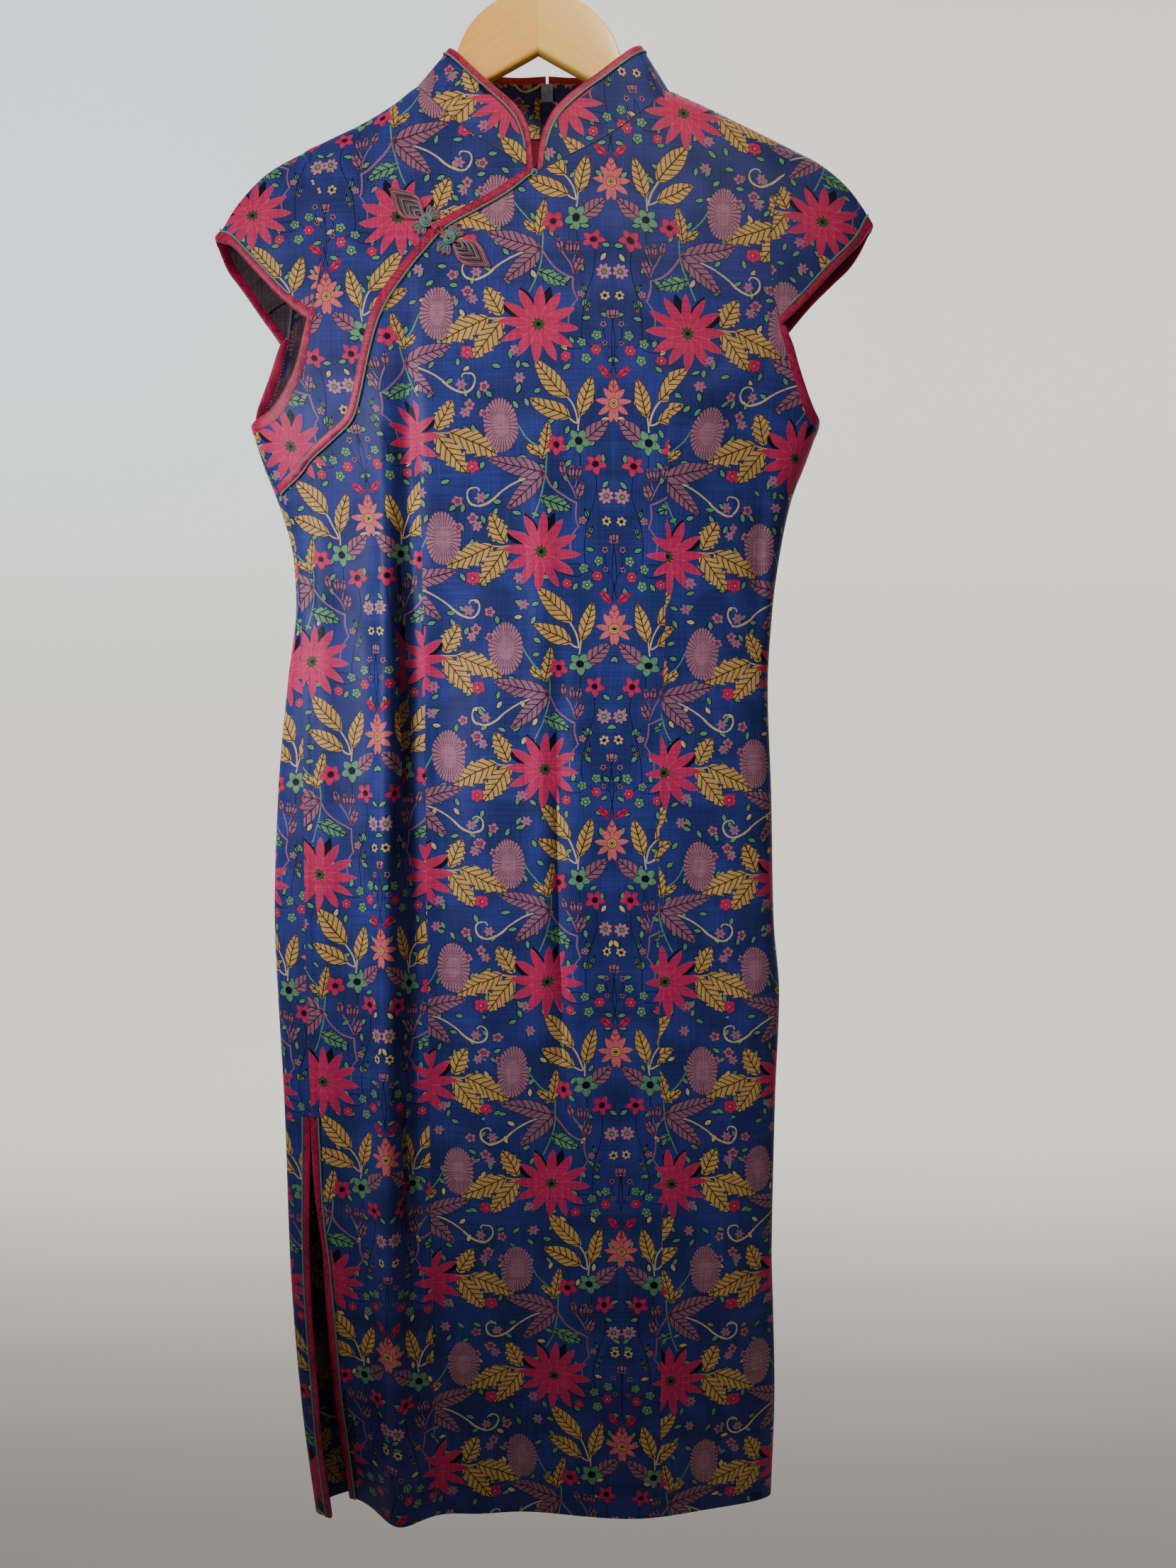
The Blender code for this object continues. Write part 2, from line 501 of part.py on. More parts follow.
def wall(name, under, over, material):
    """A closed body between two grids of the same size, one moved out from the other."""
    rows, columns = under.shape[:2]
    count = rows * columns
    faces = [face[::-1] for face in grid_faces(rows, columns)]
    faces += grid_faces(rows, columns, count)
    rim = [(0, place) for place in range(columns - 1)]
    rim += [(row, columns - 1) for row in range(rows - 1)]
    rim += [(rows - 1, place) for place in range(columns - 1, 0, -1)]
    rim += [(row, 0) for row in range(rows - 1, 0, -1)]
    loop = [row * columns + place for row, place in rim]
    for here, there in zip(loop, loop[1:] + loop[:1]):
        faces.append((here, there, there + count))
        faces.append((here, there + count, here + count))
    points = np.concatenate((under.reshape(-1, 3), over.reshape(-1, 3)))
    return add_object(name, mesh_of(name, points, faces), material)


def loft(name, sections, material):
    """A closed body through rings of points, with flat ends."""
    count, around = sections.shape[:2]
    faces = [tuple(range(around))[::-1]]
    for row in range(count - 1):
        for place in range(around):
            after = (place + 1) % around
            faces.append((row * around + place, row * around + after,
                          (row + 1) * around + after, (row + 1) * around + place))
    faces.append(tuple(range((count - 1) * around, count * around)))
    return add_object(name, mesh_of(name, sections.reshape(-1, 3), faces), material)


def cord(name, points, radius, material, resolution=2):
    """A round cord through the points."""
    curve = bpy.data.curves.new(name, "CURVE")
    curve.dimensions = "3D"
    curve.bevel_depth = radius
    curve.bevel_resolution = resolution
    curve.use_fill_caps = True
    spline = curve.splines.new("POLY")
    spline.points.add(len(points) - 1)
    for place, point in zip(spline.points, points):
        place.co = (*point, 1.0)
    return add_object(name, curve, material)


# ---------------------------------------------------------------- edges of the pieces
def heights(top):
    """Heights of the rows from the hem past the slit's top to a level, closer at the waist."""
    along = np.linspace(0.0, 1.0, SIDE_ROWS + 1)
    above = SLIT_TOP_Z + (top - SLIT_TOP_Z) * along * (1.25 - 0.25 * along)
    return np.concatenate((np.linspace(HEM_Z, SLIT_TOP_Z, SLIT_ROWS + 1), above[1:]))


def front_columns():
    """Fractions of the way across the front: the slit binding, the left folds, the side fold."""
    return np.concatenate(((0.0,), np.linspace(0.0125, 0.30, 9), np.linspace(0.30, 0.875, 8)[1:],
                           np.linspace(0.875, 0.9865, 5)[1:], (1.0,)))


def back_columns():
    """Fractions of the way from the zip past the side fold to the slit binding."""
    return np.array((0.0, 0.031, 0.13, 0.26, 0.39, 0.51, 0.61, 0.70, 0.765, 0.82, 0.865, 0.91,
                     0.979, 1.0))


def left_edge(z, slit):
    """The left side seam, and below it one edge of the slit, as ring coordinates."""
    seam = through(column(LEFT_SEAM, "z"), column(LEFT_SEAM, "x"), z)
    edge = through(column(slit, "z"), column(slit, "x"), z)
    x = np.where(z < SLIT_TOP_Z, edge, seam)
    place = on_side(np.stack((x, z), 1))[:, 0]
    top = smooth((z + 0.402) / (0.402 + ARMPIT_PANEL_Z))
    return place + (-SIDE_FOLD - place) * top


def right_edge(z, spread_side):
    """The right side seam, and below it one edge of the slit, as ring coordinates."""
    angle = through(column(RIGHT_SEAM, "z"), column(RIGHT_SEAM, "degrees"), z)
    open_part = smooth((SLIT_TOP_Z - z) / (SLIT_TOP_Z - HEM_Z))
    return ring_place(np.radians(angle + spread_side * SLIT_SPREAD_RIGHT * open_part))


def centre_back(z, side, off=SEAM / 2):
    """The centre back seam as ring coordinates and heights, moved off to one side."""
    x = through(column(CENTRE_BACK, "z"), column(CENTRE_BACK, "x"), z) + side * off
    return on_side(np.stack((x, z), 1), side)


def in_metres(points):
    """Ring coordinates and heights as distances along the cloth."""
    return np.asarray(points, float) * (HALF_WIDTH, 1.0)


def eased(count, ease):
    """Shares from 0 to 1, closer together towards 1 when ease is above 1."""
    return 1.0 - (1.0 - np.linspace(0.0, 1.0, count)) ** ease


def at_shares(points, shares):
    """Points at given shares of a smooth path's length."""
    fine = spread(points, 200)
    ramp = np.linspace(0.0, 1.0, 200)
    return np.stack([np.interp(shares, ramp, fine[:, axis]) for axis in range(fine.shape[1])], 1)


def even(points, count, ease=1.0):
    """Points spread along a path on the cloth."""
    return at_shares(in_metres(points), eased(count, ease)) / (HALF_WIDTH, 1.0)


def moved(points, distance):
    """A path moved sideways on the cloth, to its left when distance is positive."""
    return shifted(in_metres(points), distance) / (HALF_WIDTH, 1.0)


HOLES = {
    (-1, 0): (HOLE_PANEL_FRONT_LEFT, HOLE_EDGE_FRONT_LEFT, SEAM_FRONT_LEFT),
    (-1, -1): (HOLE_PANEL_BACK_LEFT, HOLE_EDGE_BACK_LEFT, SEAM_BACK_LEFT),
    (1, 0): (HOLE_PANEL_FRONT_RIGHT, HOLE_EDGE_FRONT_RIGHT, SEAM_FRONT_RIGHT),
    (1, 1): (HOLE_PANEL_BACK_RIGHT, HOLE_EDGE_BACK_RIGHT, SEAM_BACK_RIGHT),
}


def seam_rows(side, back):
    """Number of rows along one half of a sleeve seam."""
    if back:
        return SLEEVE_ROWS["back"]
    return SLEEVE_ROWS["front_left" if side < 0 else "front_right"]


def hole_edges(side, back):
    """Both long edges of an armhole binding, from the armpit to just below the sleeve."""
    panel, edge, _ = HOLES[side, back]
    rows = BINDING_BACK_ROWS if back else BINDING_ROWS
    if side < 0 and not back:
        rows = BINDING_BACK_ROWS
    inner = np.concatenate(([(side * SIDE_FOLD, ARMPIT_PANEL_Z)], on_side(panel[:0:-1], back)))
    outer = np.concatenate(([(side * SIDE_FOLD, ARMPIT_Z)], on_side(edge[::-1], back)))
    return even(inner, rows + 1), even(outer, rows + 1)


def armhole(side, back):
    """A panel's armhole from the armpit along the binding and the sleeve to the shoulder."""
    seam = HOLES[side, back][2]
    upper = even(on_side(seam, back), seam_rows(side, back) + 1, 1.4)
    return np.concatenate((hole_edges(side, back)[0], upper))


def shoulder(back, count, side, outward):
    """Points just in front of or behind the shoulder line, from the neck out or back in."""
    ends = (HOLES[side, 0][2][-1][0], (NECK_FRONT_LEFT if side < 0 else NECK_FRONT_RIGHT)[-1][0])
    x = np.linspace(*(ends[::-1] if outward else ends), count)
    return on_side(np.stack((x, ridge_z(x) - 1e-5), 1), back)


# ---------------------------------------------------------------- pattern pieces
def placket_line(count):
    """The curved front opening, from the side seam to the foot of the collar."""
    return even(on_side(PLACKET), count)


def front_main_grid():
    """The front, from the placket across to the right armhole and down to the hem."""
    left_z, right_z = heights(PLACKET_END_Z), heights(ARMPIT_PANEL_Z)
    left = np.stack((left_edge(left_z, SLIT_FRONT_LEFT) + SEAM_TURN, left_z), 1)
    right = np.stack((right_edge(right_z, -1.0) - SEAM_TURN, right_z), 1)
    lower = grid_between(left, right, front_columns()).transpose(1, 0, 2)
    hole = moved(armhole(1, 0), SEAM / 2)
    placket = placket_line(len(hole) - NECK_ROWS)
    neck = even(on_side(NECK_FRONT_RIGHT), NECK_ROWS + 1)
    inner = moved(np.concatenate((placket, neck[1:])), -SEAM / 2)
    top = moved(shoulder(0, len(front_columns()), 1, True), -SEAM / 2)
    inner[0], hole[0] = left[-1], right[-1]
    top[0], top[-1] = inner[-1], hole[-1]
    upper = grid_inside(inner, hole, lower[-1], top)
    return np.concatenate((lower, upper[1:]))


def underlap_heights():
    """Heights of the underlap's rows at the side seam."""
    return PLACKET_END_Z + (ARMPIT_PANEL_Z - PLACKET_END_Z) * np.array(UNDERLAP_SHARES)


def underlap_grid():
    """The upper left front, between the placket, the armhole, the shoulder and the neck.

    Its second row is the outer edge of the placket's binding.
    """
    upper = np.concatenate((armhole(-1, 0), shoulder(0, SHOULDER_COLUMNS + 1, -1, False)[1:]))
    upper = moved(upper, -SEAM / 2)
    neck = at_shares(in_metres(on_side(NECK_FRONT_LEFT)), UNDERLAP_NECK) / (HALF_WIDTH, 1.0)
    neck = moved(neck, SEAM / 2)
    line = placket_line(len(upper))
    lower, edge = moved(line, SEAM / 2), moved(line, PLACKET_BAND[1])
    side_z = underlap_heights()
    side = np.stack((left_edge(side_z, SLIT_FRONT_LEFT) + SEAM_TURN, side_z), 1)
    side[0, 1] += SEAM
    lower[0], edge[0], upper[0] = side[0], side[1], side[-1]
    lower[-1], edge[-1], neck[-1] = neck[0], neck[1], upper[-1]
    return np.concatenate((lower[None], grid_inside(side[1:], neck[1:], edge, upper)))


def back_grid(side):
    """One back half, from the centre back round to the side seam."""
    if side < 0:
        outer_z = np.concatenate((heights(PLACKET_END_Z), underlap_heights()[1:]))
        outer = left_edge(outer_z, SLIT_BACK_LEFT) - SEAM_TURN
    else:
        outer_z = heights(ARMPIT_PANEL_Z)
        outer = right_edge(outer_z, 1.0) + SEAM_TURN
    inner = centre_back(outer_z, side)
    lower = grid_between(inner, np.stack((outer, outer_z), 1), back_columns()).transpose(1, 0, 2)
    hole = moved(armhole(side, side), -side * SEAM / 2)
    columns = len(back_columns())
    neck = even(on_side((NECK_BACK_LEFT if side < 0 else NECK_BACK_RIGHT)[::-1], side), 8)
    top = np.concatenate((neck, shoulder(side, columns - 7, side, True)[1:]))
    top = moved(top, side * SEAM / 2)
    rise = centre_back(np.linspace(ARMPIT_PANEL_Z, float(top[0, 1]), len(hole)), side)
    hole[0], rise[0] = lower[-1, -1], lower[-1, 0]
    top[0], top[-1] = rise[-1], hole[-1]
    upper = grid_inside(rise, hole, lower[-1], top)
    return np.concatenate((lower, upper[1:]))


def over_shoulder(table):
    """Points as x and signed drop below the shoulder line: front negative, back positive."""
    path, behind = [], False
    for x, z in table:
        if z is None:
            path.append((x, 0.0))
            behind = True
        else:
            drop = float(ridge_z(x)) - z
            path.append((x, drop if behind else -drop))
    return np.array(path)


def sleeve_point(path, out=0.0):
    """Points on the sleeve from x and signed drop."""
    x, drop = path[..., 0], path[..., 1]
    z = ridge_z(x) - np.abs(drop)
    front = on_side(np.stack((x.ravel(), z.ravel()), 1))[:, 0].reshape(x.shape)
    behind = np.sign(x) * 2.0 * SIDE_FOLD - front
    return cloth(np.where(drop > 0, behind, front), z, out)


def sleeve_lines(side):
    """Seam, cloth edge and finished edge of a sleeve with matching points."""
    front_count, back_count = seam_rows(side, 0) + 1, seam_rows(side, side) + 1
    halves = []
    for back, count in ((0, front_count), (side, back_count)):
        points = even(on_side(HOLES[side, back][2], back), count, 1.4)
        place = cloth_form(points[:, 0], points[:, 1], False)
        drop = ridge_z(place[:, 0]) - points[:, 1]
        drop[-1] = 0.0
        halves.append(np.stack((place[:, 0], drop if back else -drop), 1))
    seam = shifted(np.concatenate((halves[0], halves[1][-2::-1])), -side * 0.0006)
    tables = (SLEEVE_CLOTH_LEFT, SLEEVE_EDGE_LEFT) if side < 0 else (
        SLEEVE_CLOTH_RIGHT, SLEEVE_EDGE_RIGHT)
    hems = []
    for table in tables:
        path = over_shoulder(table)
        first = at_shares(path[:6], eased(front_count, 1.4))
        second = at_shares(path[:4:-1], eased(back_count, 1.4))
        hems.append(np.concatenate((first, second[-2::-1])))
    return seam, hems[0], hems[1]


def collar_edges(side):
    """Neck edge and top edge of half a collar, from the foot of the V to the centre back."""
    if side < 0:
        tables = NECK_FRONT_LEFT, NECK_BACK_LEFT, COLLAR_TOP_LEFT, COLLAR_BACK_LEFT
    else:
        tables = NECK_FRONT_RIGHT, NECK_BACK_RIGHT, COLLAR_TOP_RIGHT, COLLAR_BACK_RIGHT
    front, back = even(on_side(tables[0]), 60), even(on_side(tables[1], side), 40)
    base_front = cloth(front[:, 0], front[:, 1])
    base_back = cloth(back[:, 0], back[:, 1])
    base_back[:, 0] += side * ZIP_HALF_GAP * np.linspace(0.0, 1.0, 40) ** 4
    columns_front, columns_back = COLLAR_COUNTS
    base = np.concatenate((spread(base_front, columns_front), spread(base_back, columns_back)[1:]))
    top = np.concatenate((spread(tables[2], columns_front), spread(tables[3], columns_back)[1:]))
    return base, top


def collar_band(side, low, high, rows, out=0.0):
    """Part of a collar between two distances below its top edge, from where it is that wide.

    A low of None is the neck seam.
    """
    base, top = collar_edges(side)
    width = np.linalg.norm(top - base, axis=1)[:, None]
    down = (base - top) / width
    deepest = width - COLLAR_SEAM
    lowest = deepest if low is None else np.minimum(low, deepest)
    first = int(np.argmax(deepest[:, 0] > high + 0.0015))
    lower, upper = top + down * lowest, top + down * high
    points = grid_between(lower, upper, np.linspace(0.0, 1.0, rows + 1))
    normal = np.cross(np.gradient(base + top, axis=0), top - base) * side
    points = points + out * unit(normal)[None]
    return points[:, first:]


def unit(vectors):
    """Vectors scaled to a length of one."""
    return vectors / (np.linalg.norm(vectors, axis=-1)[..., None] + 1e-12)


def toward(start, end, distance):
    """Points a distance from one path towards another."""
    return start + unit(end - start) * distance


# ---------------------------------------------------------------- building
def panel(name, grid, material, curl=False):
    """A printed panel, half its thickness to each side of the cloth's middle."""
    place, z = grid[..., 0], grid[..., 1]
    wall(name, cloth(place, z, -CLOTH / 2, curl), cloth(place, z, CLOTH / 2, curl), material)


def strip(name, low, high, thickness, material):
    """A flat strip whose edges are given just clear of the panel, with their outer normals.

    low and high are functions of the distance out from the cloth's middle.
    """
    near = CLOTH / 2 + CLEAR
    wall(name, np.stack((low(near), high(near))), np.stack((low(near + thickness), high(near + thickness))),
         material)


def build_panels(looks):
    """Front, underlap, backs and sleeves."""
    panel("front_main", front_main_grid(), looks["print"], True)
    panel("front_underlap", underlap_grid(), looks["print"])
    for side, name in SIDES:
        panel(f"back_{name}", back_grid(side), looks["print"])
        seam, hem, _ = sleeve_lines(side)
        inner = grid_between(seam, hem, SLEEVE_SHARES)
        wall(f"sleeve_{name}", sleeve_point(inner, -CLOTH / 2), sleeve_point(inner, CLOTH / 2),
             looks["print"])


def build_linings(looks):
    """Linings that show through the armholes and inside the sleeves."""
    near, far = CLOTH / 2 + SEAM, CLOTH / 2 + SEAM + LINING
    for side, name in SIDES:
        grid = back_grid(side)[SLIT_ROWS + SIDE_ROWS:-1, 1:-1]
        place, z = grid[..., 0], grid[..., 1]
        wall(f"lining_back_{name}", cloth(place, z, -far), cloth(place, z, -near), looks["lining"])
        seam, hem, _ = sleeve_lines(side)
        inner = grid_between(seam, hem, SLEEVE_SHARES)[:, 1:-1]
        inner[0] = inner[0] + 0.05 * (inner[1] - inner[0])
        inner[-1] = inner[-1] + 0.06 * (inner[-2] - inner[-1])
        wall(f"lining_sleeve_{name}", sleeve_point(inner, -far), sleeve_point(inner, -near),
             looks["lining"])


def build_edge_bindings(looks):
    """Bindings that wrap an edge: collar, sleeves and armholes, with their cords."""
    half = EDGE_BINDING / 2
    for side, name in SIDES:
        thick = COLLAR_CLOTH / 2
        low = collar_band(side, None, BINDING_WIDTH + SEAM, 3, -thick)
        high = collar_band(side, None, BINDING_WIDTH + SEAM, 3, thick)
        wall(f"collar_{name}", low, high, looks["print"])
        wall(f"collar_binding_{name}", collar_band(side, BINDING_WIDTH, 0.0, 1, -half),
             collar_band(side, BINDING_WIDTH, 0.0, 1, half), looks["binding"])
        path = collar_band(side, CORD_LINE, CORD_LINE - 1e-4, 1, thick + FOLD_CLEAR + PIPING_RADIUS)[0]
        cord(f"collar_piping_{name}", path[1:], PIPING_RADIUS, looks["piping"])
        seam, hem, finished = sleeve_lines(side)
        band = grid_between(hem, finished, (0.08, 1.0))
        wall(f"sleeve_binding_{name}", sleeve_point(band, -half), sleeve_point(band, half),
             looks["binding"])
        inner = grid_between(seam, hem, SLEEVE_SHARES)
        ride = CLOTH / 2 + FOLD_CLEAR + PIPING_RADIUS
        path = toward(sleeve_point(inner[-1], ride), sleeve_point(inner[-2], ride),
                      CORD_LINE - BINDING_WIDTH)
        cord(f"sleeve_piping_{name}", path[1:-1], PIPING_RADIUS, looks["piping"])
        front, back = hole_edges(side, 0), hole_edges(side, side)
        inner = np.concatenate((front[0][::-1], back[0][1:]))
        outer = np.concatenate((front[1][::-1], back[1][1:]))
        band = grid_between(inner, outer, (0.08, 1.0))
        wall(f"armhole_binding_{name}", cloth(band[..., 0], band[..., 1], -half),
             cloth(band[..., 0], band[..., 1], half), looks["binding"])


def build_flat_bindings(looks):
    """Bindings that lie on the placket and beside the slits, with their cords."""
    ride = CLOTH / 2 + CLEAR + PIPING_RADIUS
    grid = underlap_grid()[:2]
    start = PLACKET_BAND[0] / PLACKET_BAND[1]

    def placket(share):
        """A line across the first row of the underlap, as a function of the distance out."""
        return lambda out: (cloth(grid[0, :, 0], grid[0, :, 1], out) * (1.0 - share)
                            + cloth(grid[1, :, 0], grid[1, :, 1], out) * share)

    strip("placket_binding", placket(start), placket(1.0), FLAT_BINDING, looks["binding"])
    cord("placket_piping", placket(0.0)(ride), PIPING_RADIUS, looks["piping"])
    grids = {(-1, "front"): (front_main_grid(), (0, 1, 2), True),
             (1, "front"): (front_main_grid(), (-1, -2, -3), True),
             (-1, "back"): (back_grid(-1), (-1, -2, -3), False),
             (1, "back"): (back_grid(1), (-1, -2, -3), False)}
    for (side, part), (grid, columns, curl) in grids.items():
        name = f"{part}_{'left' if side < 0 else 'right'}"
        lines = [grid[:SLIT_ROWS + 1, place] for place in columns]

        def edge(line, curl=curl):
            """A slit line as a function of the distance out."""
            return lambda out: cloth(line[:, 0], line[:, 1], out, curl)

        strip(f"slit_binding_{name}", edge(lines[0]), edge(lines[1]), FLAT_BINDING, looks["binding"])
        path = toward(edge(lines[1])(ride), edge(lines[2])(ride), PIPING_RADIUS + SEAM)
        cord(f"slit_piping_{name}", path, PIPING_RADIUS, looks["piping"])


def on_front(centre, axis, along, across, out):
    """Points on the front at distances along and across an axis from a centre."""
    axis = np.asarray(axis, float) / math.hypot(*axis)
    x = centre[0] + along * axis[0] - across * axis[1]
    z = centre[1] + along * axis[1] + across * axis[0]
    place = on_side(np.stack((x.ravel(), z.ravel()), 1))[:, 0].reshape(x.shape)
    flat = cloth(place, z)
    return flat + out[..., None] * unit(cloth(place, z, 1e-3) - flat)


def dome(name, centre, axis, reach, rise, base, material, around=32):
    """A low closed form on the front: reach and rise are functions of turn and of radius."""
    turn = np.linspace(0.0, 2.0 * math.pi, around, endpoint=False)
    levels = []
    for share in (1.0, 1.0, 0.82, 0.60, 0.36, 0.14):
        radius = share * reach(turn)
        out = base + rise(share, turn) * (1.0 if levels else 0.0)
        levels.append(on_front(centre, axis, radius * np.cos(turn), radius * np.sin(turn), out))
    return loft(name, np.array(levels), material)


def build_frog(looks):
    """The looped frog fastening, closed as it is worn."""
    base = CLOTH / 2 + CLEAR
    for frog in FROGS:
        axis = (frog.toward_x - frog.x, frog.toward_z - frog.z)

        def reach(turn, clear=frog.clear):
            """Round coil ahead, a fan of loops to the sides, cut short toward the placket."""
            fan = smooth((np.abs(np.abs(turn - math.pi) - 0.5 * math.pi) - 0.95) / -0.5)
            loops = FROG_LOOP_RADIUS * (0.86 + 0.14 * np.cos(turn * 14.0))
            radius = FROG_COIL_RADIUS + (loops - FROG_COIL_RADIUS) * fan
            return np.minimum(radius, clear / np.maximum(-np.cos(turn), 1e-3))

        dome(f"frog_coil_{frog.name}", (frog.x, frog.z), axis, reach,
             lambda share, turn: 0.0012 + 0.0018 * (1.0 - share ** 2) + 0.0 * turn, base,
             looks["binding"], 28)
        length = np.linspace(0.0, 1.0, 10)[:, None]
        across = np.linspace(-1.0, 1.0, 7)[None, :]
        half = 0.0006 + FROG_LEAF_HALF * np.sin(math.pi * length ** 0.8) ** 0.9
        along = FROG_LEAF_START + FROG_LEAF_LENGTH * length + 0.0 * across
        crown = np.sqrt(1.0 - across ** 2) * np.sin(math.pi * length) ** 0.5
        rise = 0.0014 + 0.0012 * crown + 0.0003 * np.cos(across * 3.0 * math.pi)
        place = (frog.x, frog.z), axis, along, half * across
        wall(f"frog_leaf_{frog.name}", on_front(*place, base + 0.0 * rise),
             on_front(*place, base + rise), looks["binding"])
    dome("frog_knot", FROG_KNOT, (1.0, -1.0), lambda turn: 0.0030 + 0.0 * turn,
         lambda share, turn: 0.0008 + 0.0030 * np.sqrt(1.0 - 0.9 * share ** 2) + 0.0 * turn,
         base + 2.0 * PIPING_RADIUS + CLEAR, looks["binding"], 14)


def build_zip(looks):
    """Tape and closed coil inside the centre back, the slider through it, and its pull tab."""
    widths = np.array((-1, -1, -ZIP_COIL_SHARE, -ZIP_COIL_SHARE, ZIP_COIL_SHARE, ZIP_COIL_SHARE, 1, 1))
    widths = widths * ZIP_TAPE_HALF
    depths = np.array((0.0, 0.0006, 0.0006, 0.0020, 0.0020, 0.0006, 0.0006, 0.0))
    base, top = collar_edges(-1)

    def collar_back(z):
        """The middle of the collar at the centre back, at a height."""
        share = (z - base[-1, 2]) / (top[-1, 2] - base[-1, 2])
        return base[-1] + (top[-1] - base[-1]) * share + (ZIP_HALF_GAP, 0.0, 0.0)

    sections = []
    for z in np.linspace(ZIP_TOP_Z, -0.1585, 4):
        x, y, _ = collar_back(z)
        y = y - COLLAR_CLOTH / 2 - ZIP_CLEAR - depths
        sections.append(np.stack((x + widths, y, z + 0.0 * widths), 1))
    rows = back_grid(-1)[:, 0, 1]
    for z in rows[(rows < -0.168) & (rows > ZIP_LOW_Z)][::-1]:
        section = []
        for width, depth in zip(widths, depths):
            at = centre_back(np.array([z]), 1 if width > 0 else -1, abs(width))
            section.append(cloth(at[:, 0], at[:, 1], -(CLOTH / 2 + ZIP_CLEAR + depth))[0])
        sections.append(section)
    loft("zip_tape", np.array(sections), looks["tape"])
    collar_y = float(collar_back(SLIDER_Z)[1])
    inside = collar_y - COLLAR_CLOTH / 2 - ZIP_CLEAR
    outside = collar_y + COLLAR_CLOTH / 2 + SEAM
    x = float(collar_back(SLIDER_Z)[0])
    plate = box("zip_slider", (x, inside - SLIDER_HALF[1], SLIDER_Z), SLIDER_HALF, looks["slider"])
    round_edges(plate, 0.0008, 2)
    low, high, far = SLIDER_Z - 0.0042, SLIDER_Z + 0.0052, outside + 0.0036
    outline = ((inside - 0.0008, low), (far - 0.0010, low), (far, low + 0.0012),
               (far, high - 0.0012), (far - 0.0010, high), (inside - 0.0008, high))
    hole = ((outside + 0.0002, low + 0.0014), (far - 0.0012, low + 0.0014),
            (far - 0.0012, high - 0.0014), (outside + 0.0002, high - 0.0014))
    bridge = slab("zip_bridge", (outline, hole), lambda u, v, w: (x + w, u, v), 0.0005, looks["slider"])
    unite(plate, bridge)
    pin_y, half = outside + 0.0012, PULL_HALF_WIDTH
    tab = ((-half, PULL_PIN), (half, PULL_PIN), (half, 0.0030 - PULL_LENGTH),
           (half - 0.0010, PULL_PIN - PULL_LENGTH), (0.0010 - half, PULL_PIN - PULL_LENGTH),
           (-half, 0.0030 - PULL_LENGTH))
    eye = ((PULL_EYE, -PULL_PIN), (-PULL_EYE, -PULL_PIN), (-PULL_EYE, -0.0076), (PULL_EYE, -0.0076))
    pull = slab("zip_pull", (tab, eye), lambda u, v, w: (u, w, v), PULL_HALF_THICK, looks["slider"])
    pull.location = (x, pin_y, PULL_Z)


def box(name, centre, half, material):
    """A box from its centre and half sizes."""
    mesh = bpy.data.meshes.new(name)
    work = bmesh.new()
    bmesh.ops.create_cube(work, size=2.0)
    for vertex in work.verts:
        vertex.co = [middle + size * place for middle, size, place in zip(centre, half, vertex.co)]
    work.to_mesh(mesh)
    work.free()
    return add_object(name, mesh, material)


def round_edges(piece, radius, segments):
    """A Bevel modifier on every edge."""
    bevel = piece.modifiers.new("Bevel", "BEVEL")
    bevel.width = radius
    bevel.segments = segments
    bevel.limit_method = "ANGLE"


def slab(name, outlines, turned, half, material):
    """A flat plate from an outline and its holes; turned gives world places from its own."""
    curve = bpy.data.curves.new(name, "CURVE")
    curve.dimensions = "2D"
    curve.fill_mode = "BOTH"
    curve.extrude = half
    for outline in outlines:
        spline = curve.splines.new("POLY")
        spline.points.add(len(outline) - 1)
        spline.use_cyclic_u = True
        for point, (u, v) in zip(spline.points, outline):
            point.co = (u, v, 0.0, 1.0)
    flat = bpy.data.objects.new(name, curve)
    MODEL.objects.link(flat)
    mesh = bpy.data.meshes.new_from_object(flat.evaluated_get(bpy.context.evaluated_depsgraph_get()))
    bpy.data.objects.remove(flat, do_unlink=True)
    work = bmesh.new()
    work.from_mesh(mesh)
    bmesh.ops.remove_doubles(work, verts=work.verts, dist=1e-6)
    for vertex in work.verts:
        vertex.co = turned(*vertex.co)
    bmesh.ops.recalc_face_normals(work, faces=work.faces)
    work.to_mesh(mesh)
    work.free()
    return add_object(name, mesh, material)


def unite(piece, other):
    """Joins another body into a piece."""
    joining = piece.modifiers.new("Boolean", "BOOLEAN")
    joining.operation = "UNION"
    joining.solver = "EXACT"
    joining.object = other
    other.hide_render = True


def hanger_section(x, low, high):
    """A rounded upright section of the hanger at one place along it."""
    half, corner = HANGER_HALF_THICK, min(0.0038, 0.5 * (high - low) - 0.0004)
    points = []
    for side_y, side_z, start in ((1, 1, 0.0), (-1, 1, 90.0), (-1, -1, 180.0), (1, -1, 270.0)):
        middle_z = high - corner if side_z > 0 else low + corner
        for step in (0.0, 30.0, 60.0, 90.0):
            turn = math.radians(start + step)
            points.append((x, side_y * (half - corner) + corner * math.cos(turn),
                           middle_z + corner * math.sin(turn)))
    return points


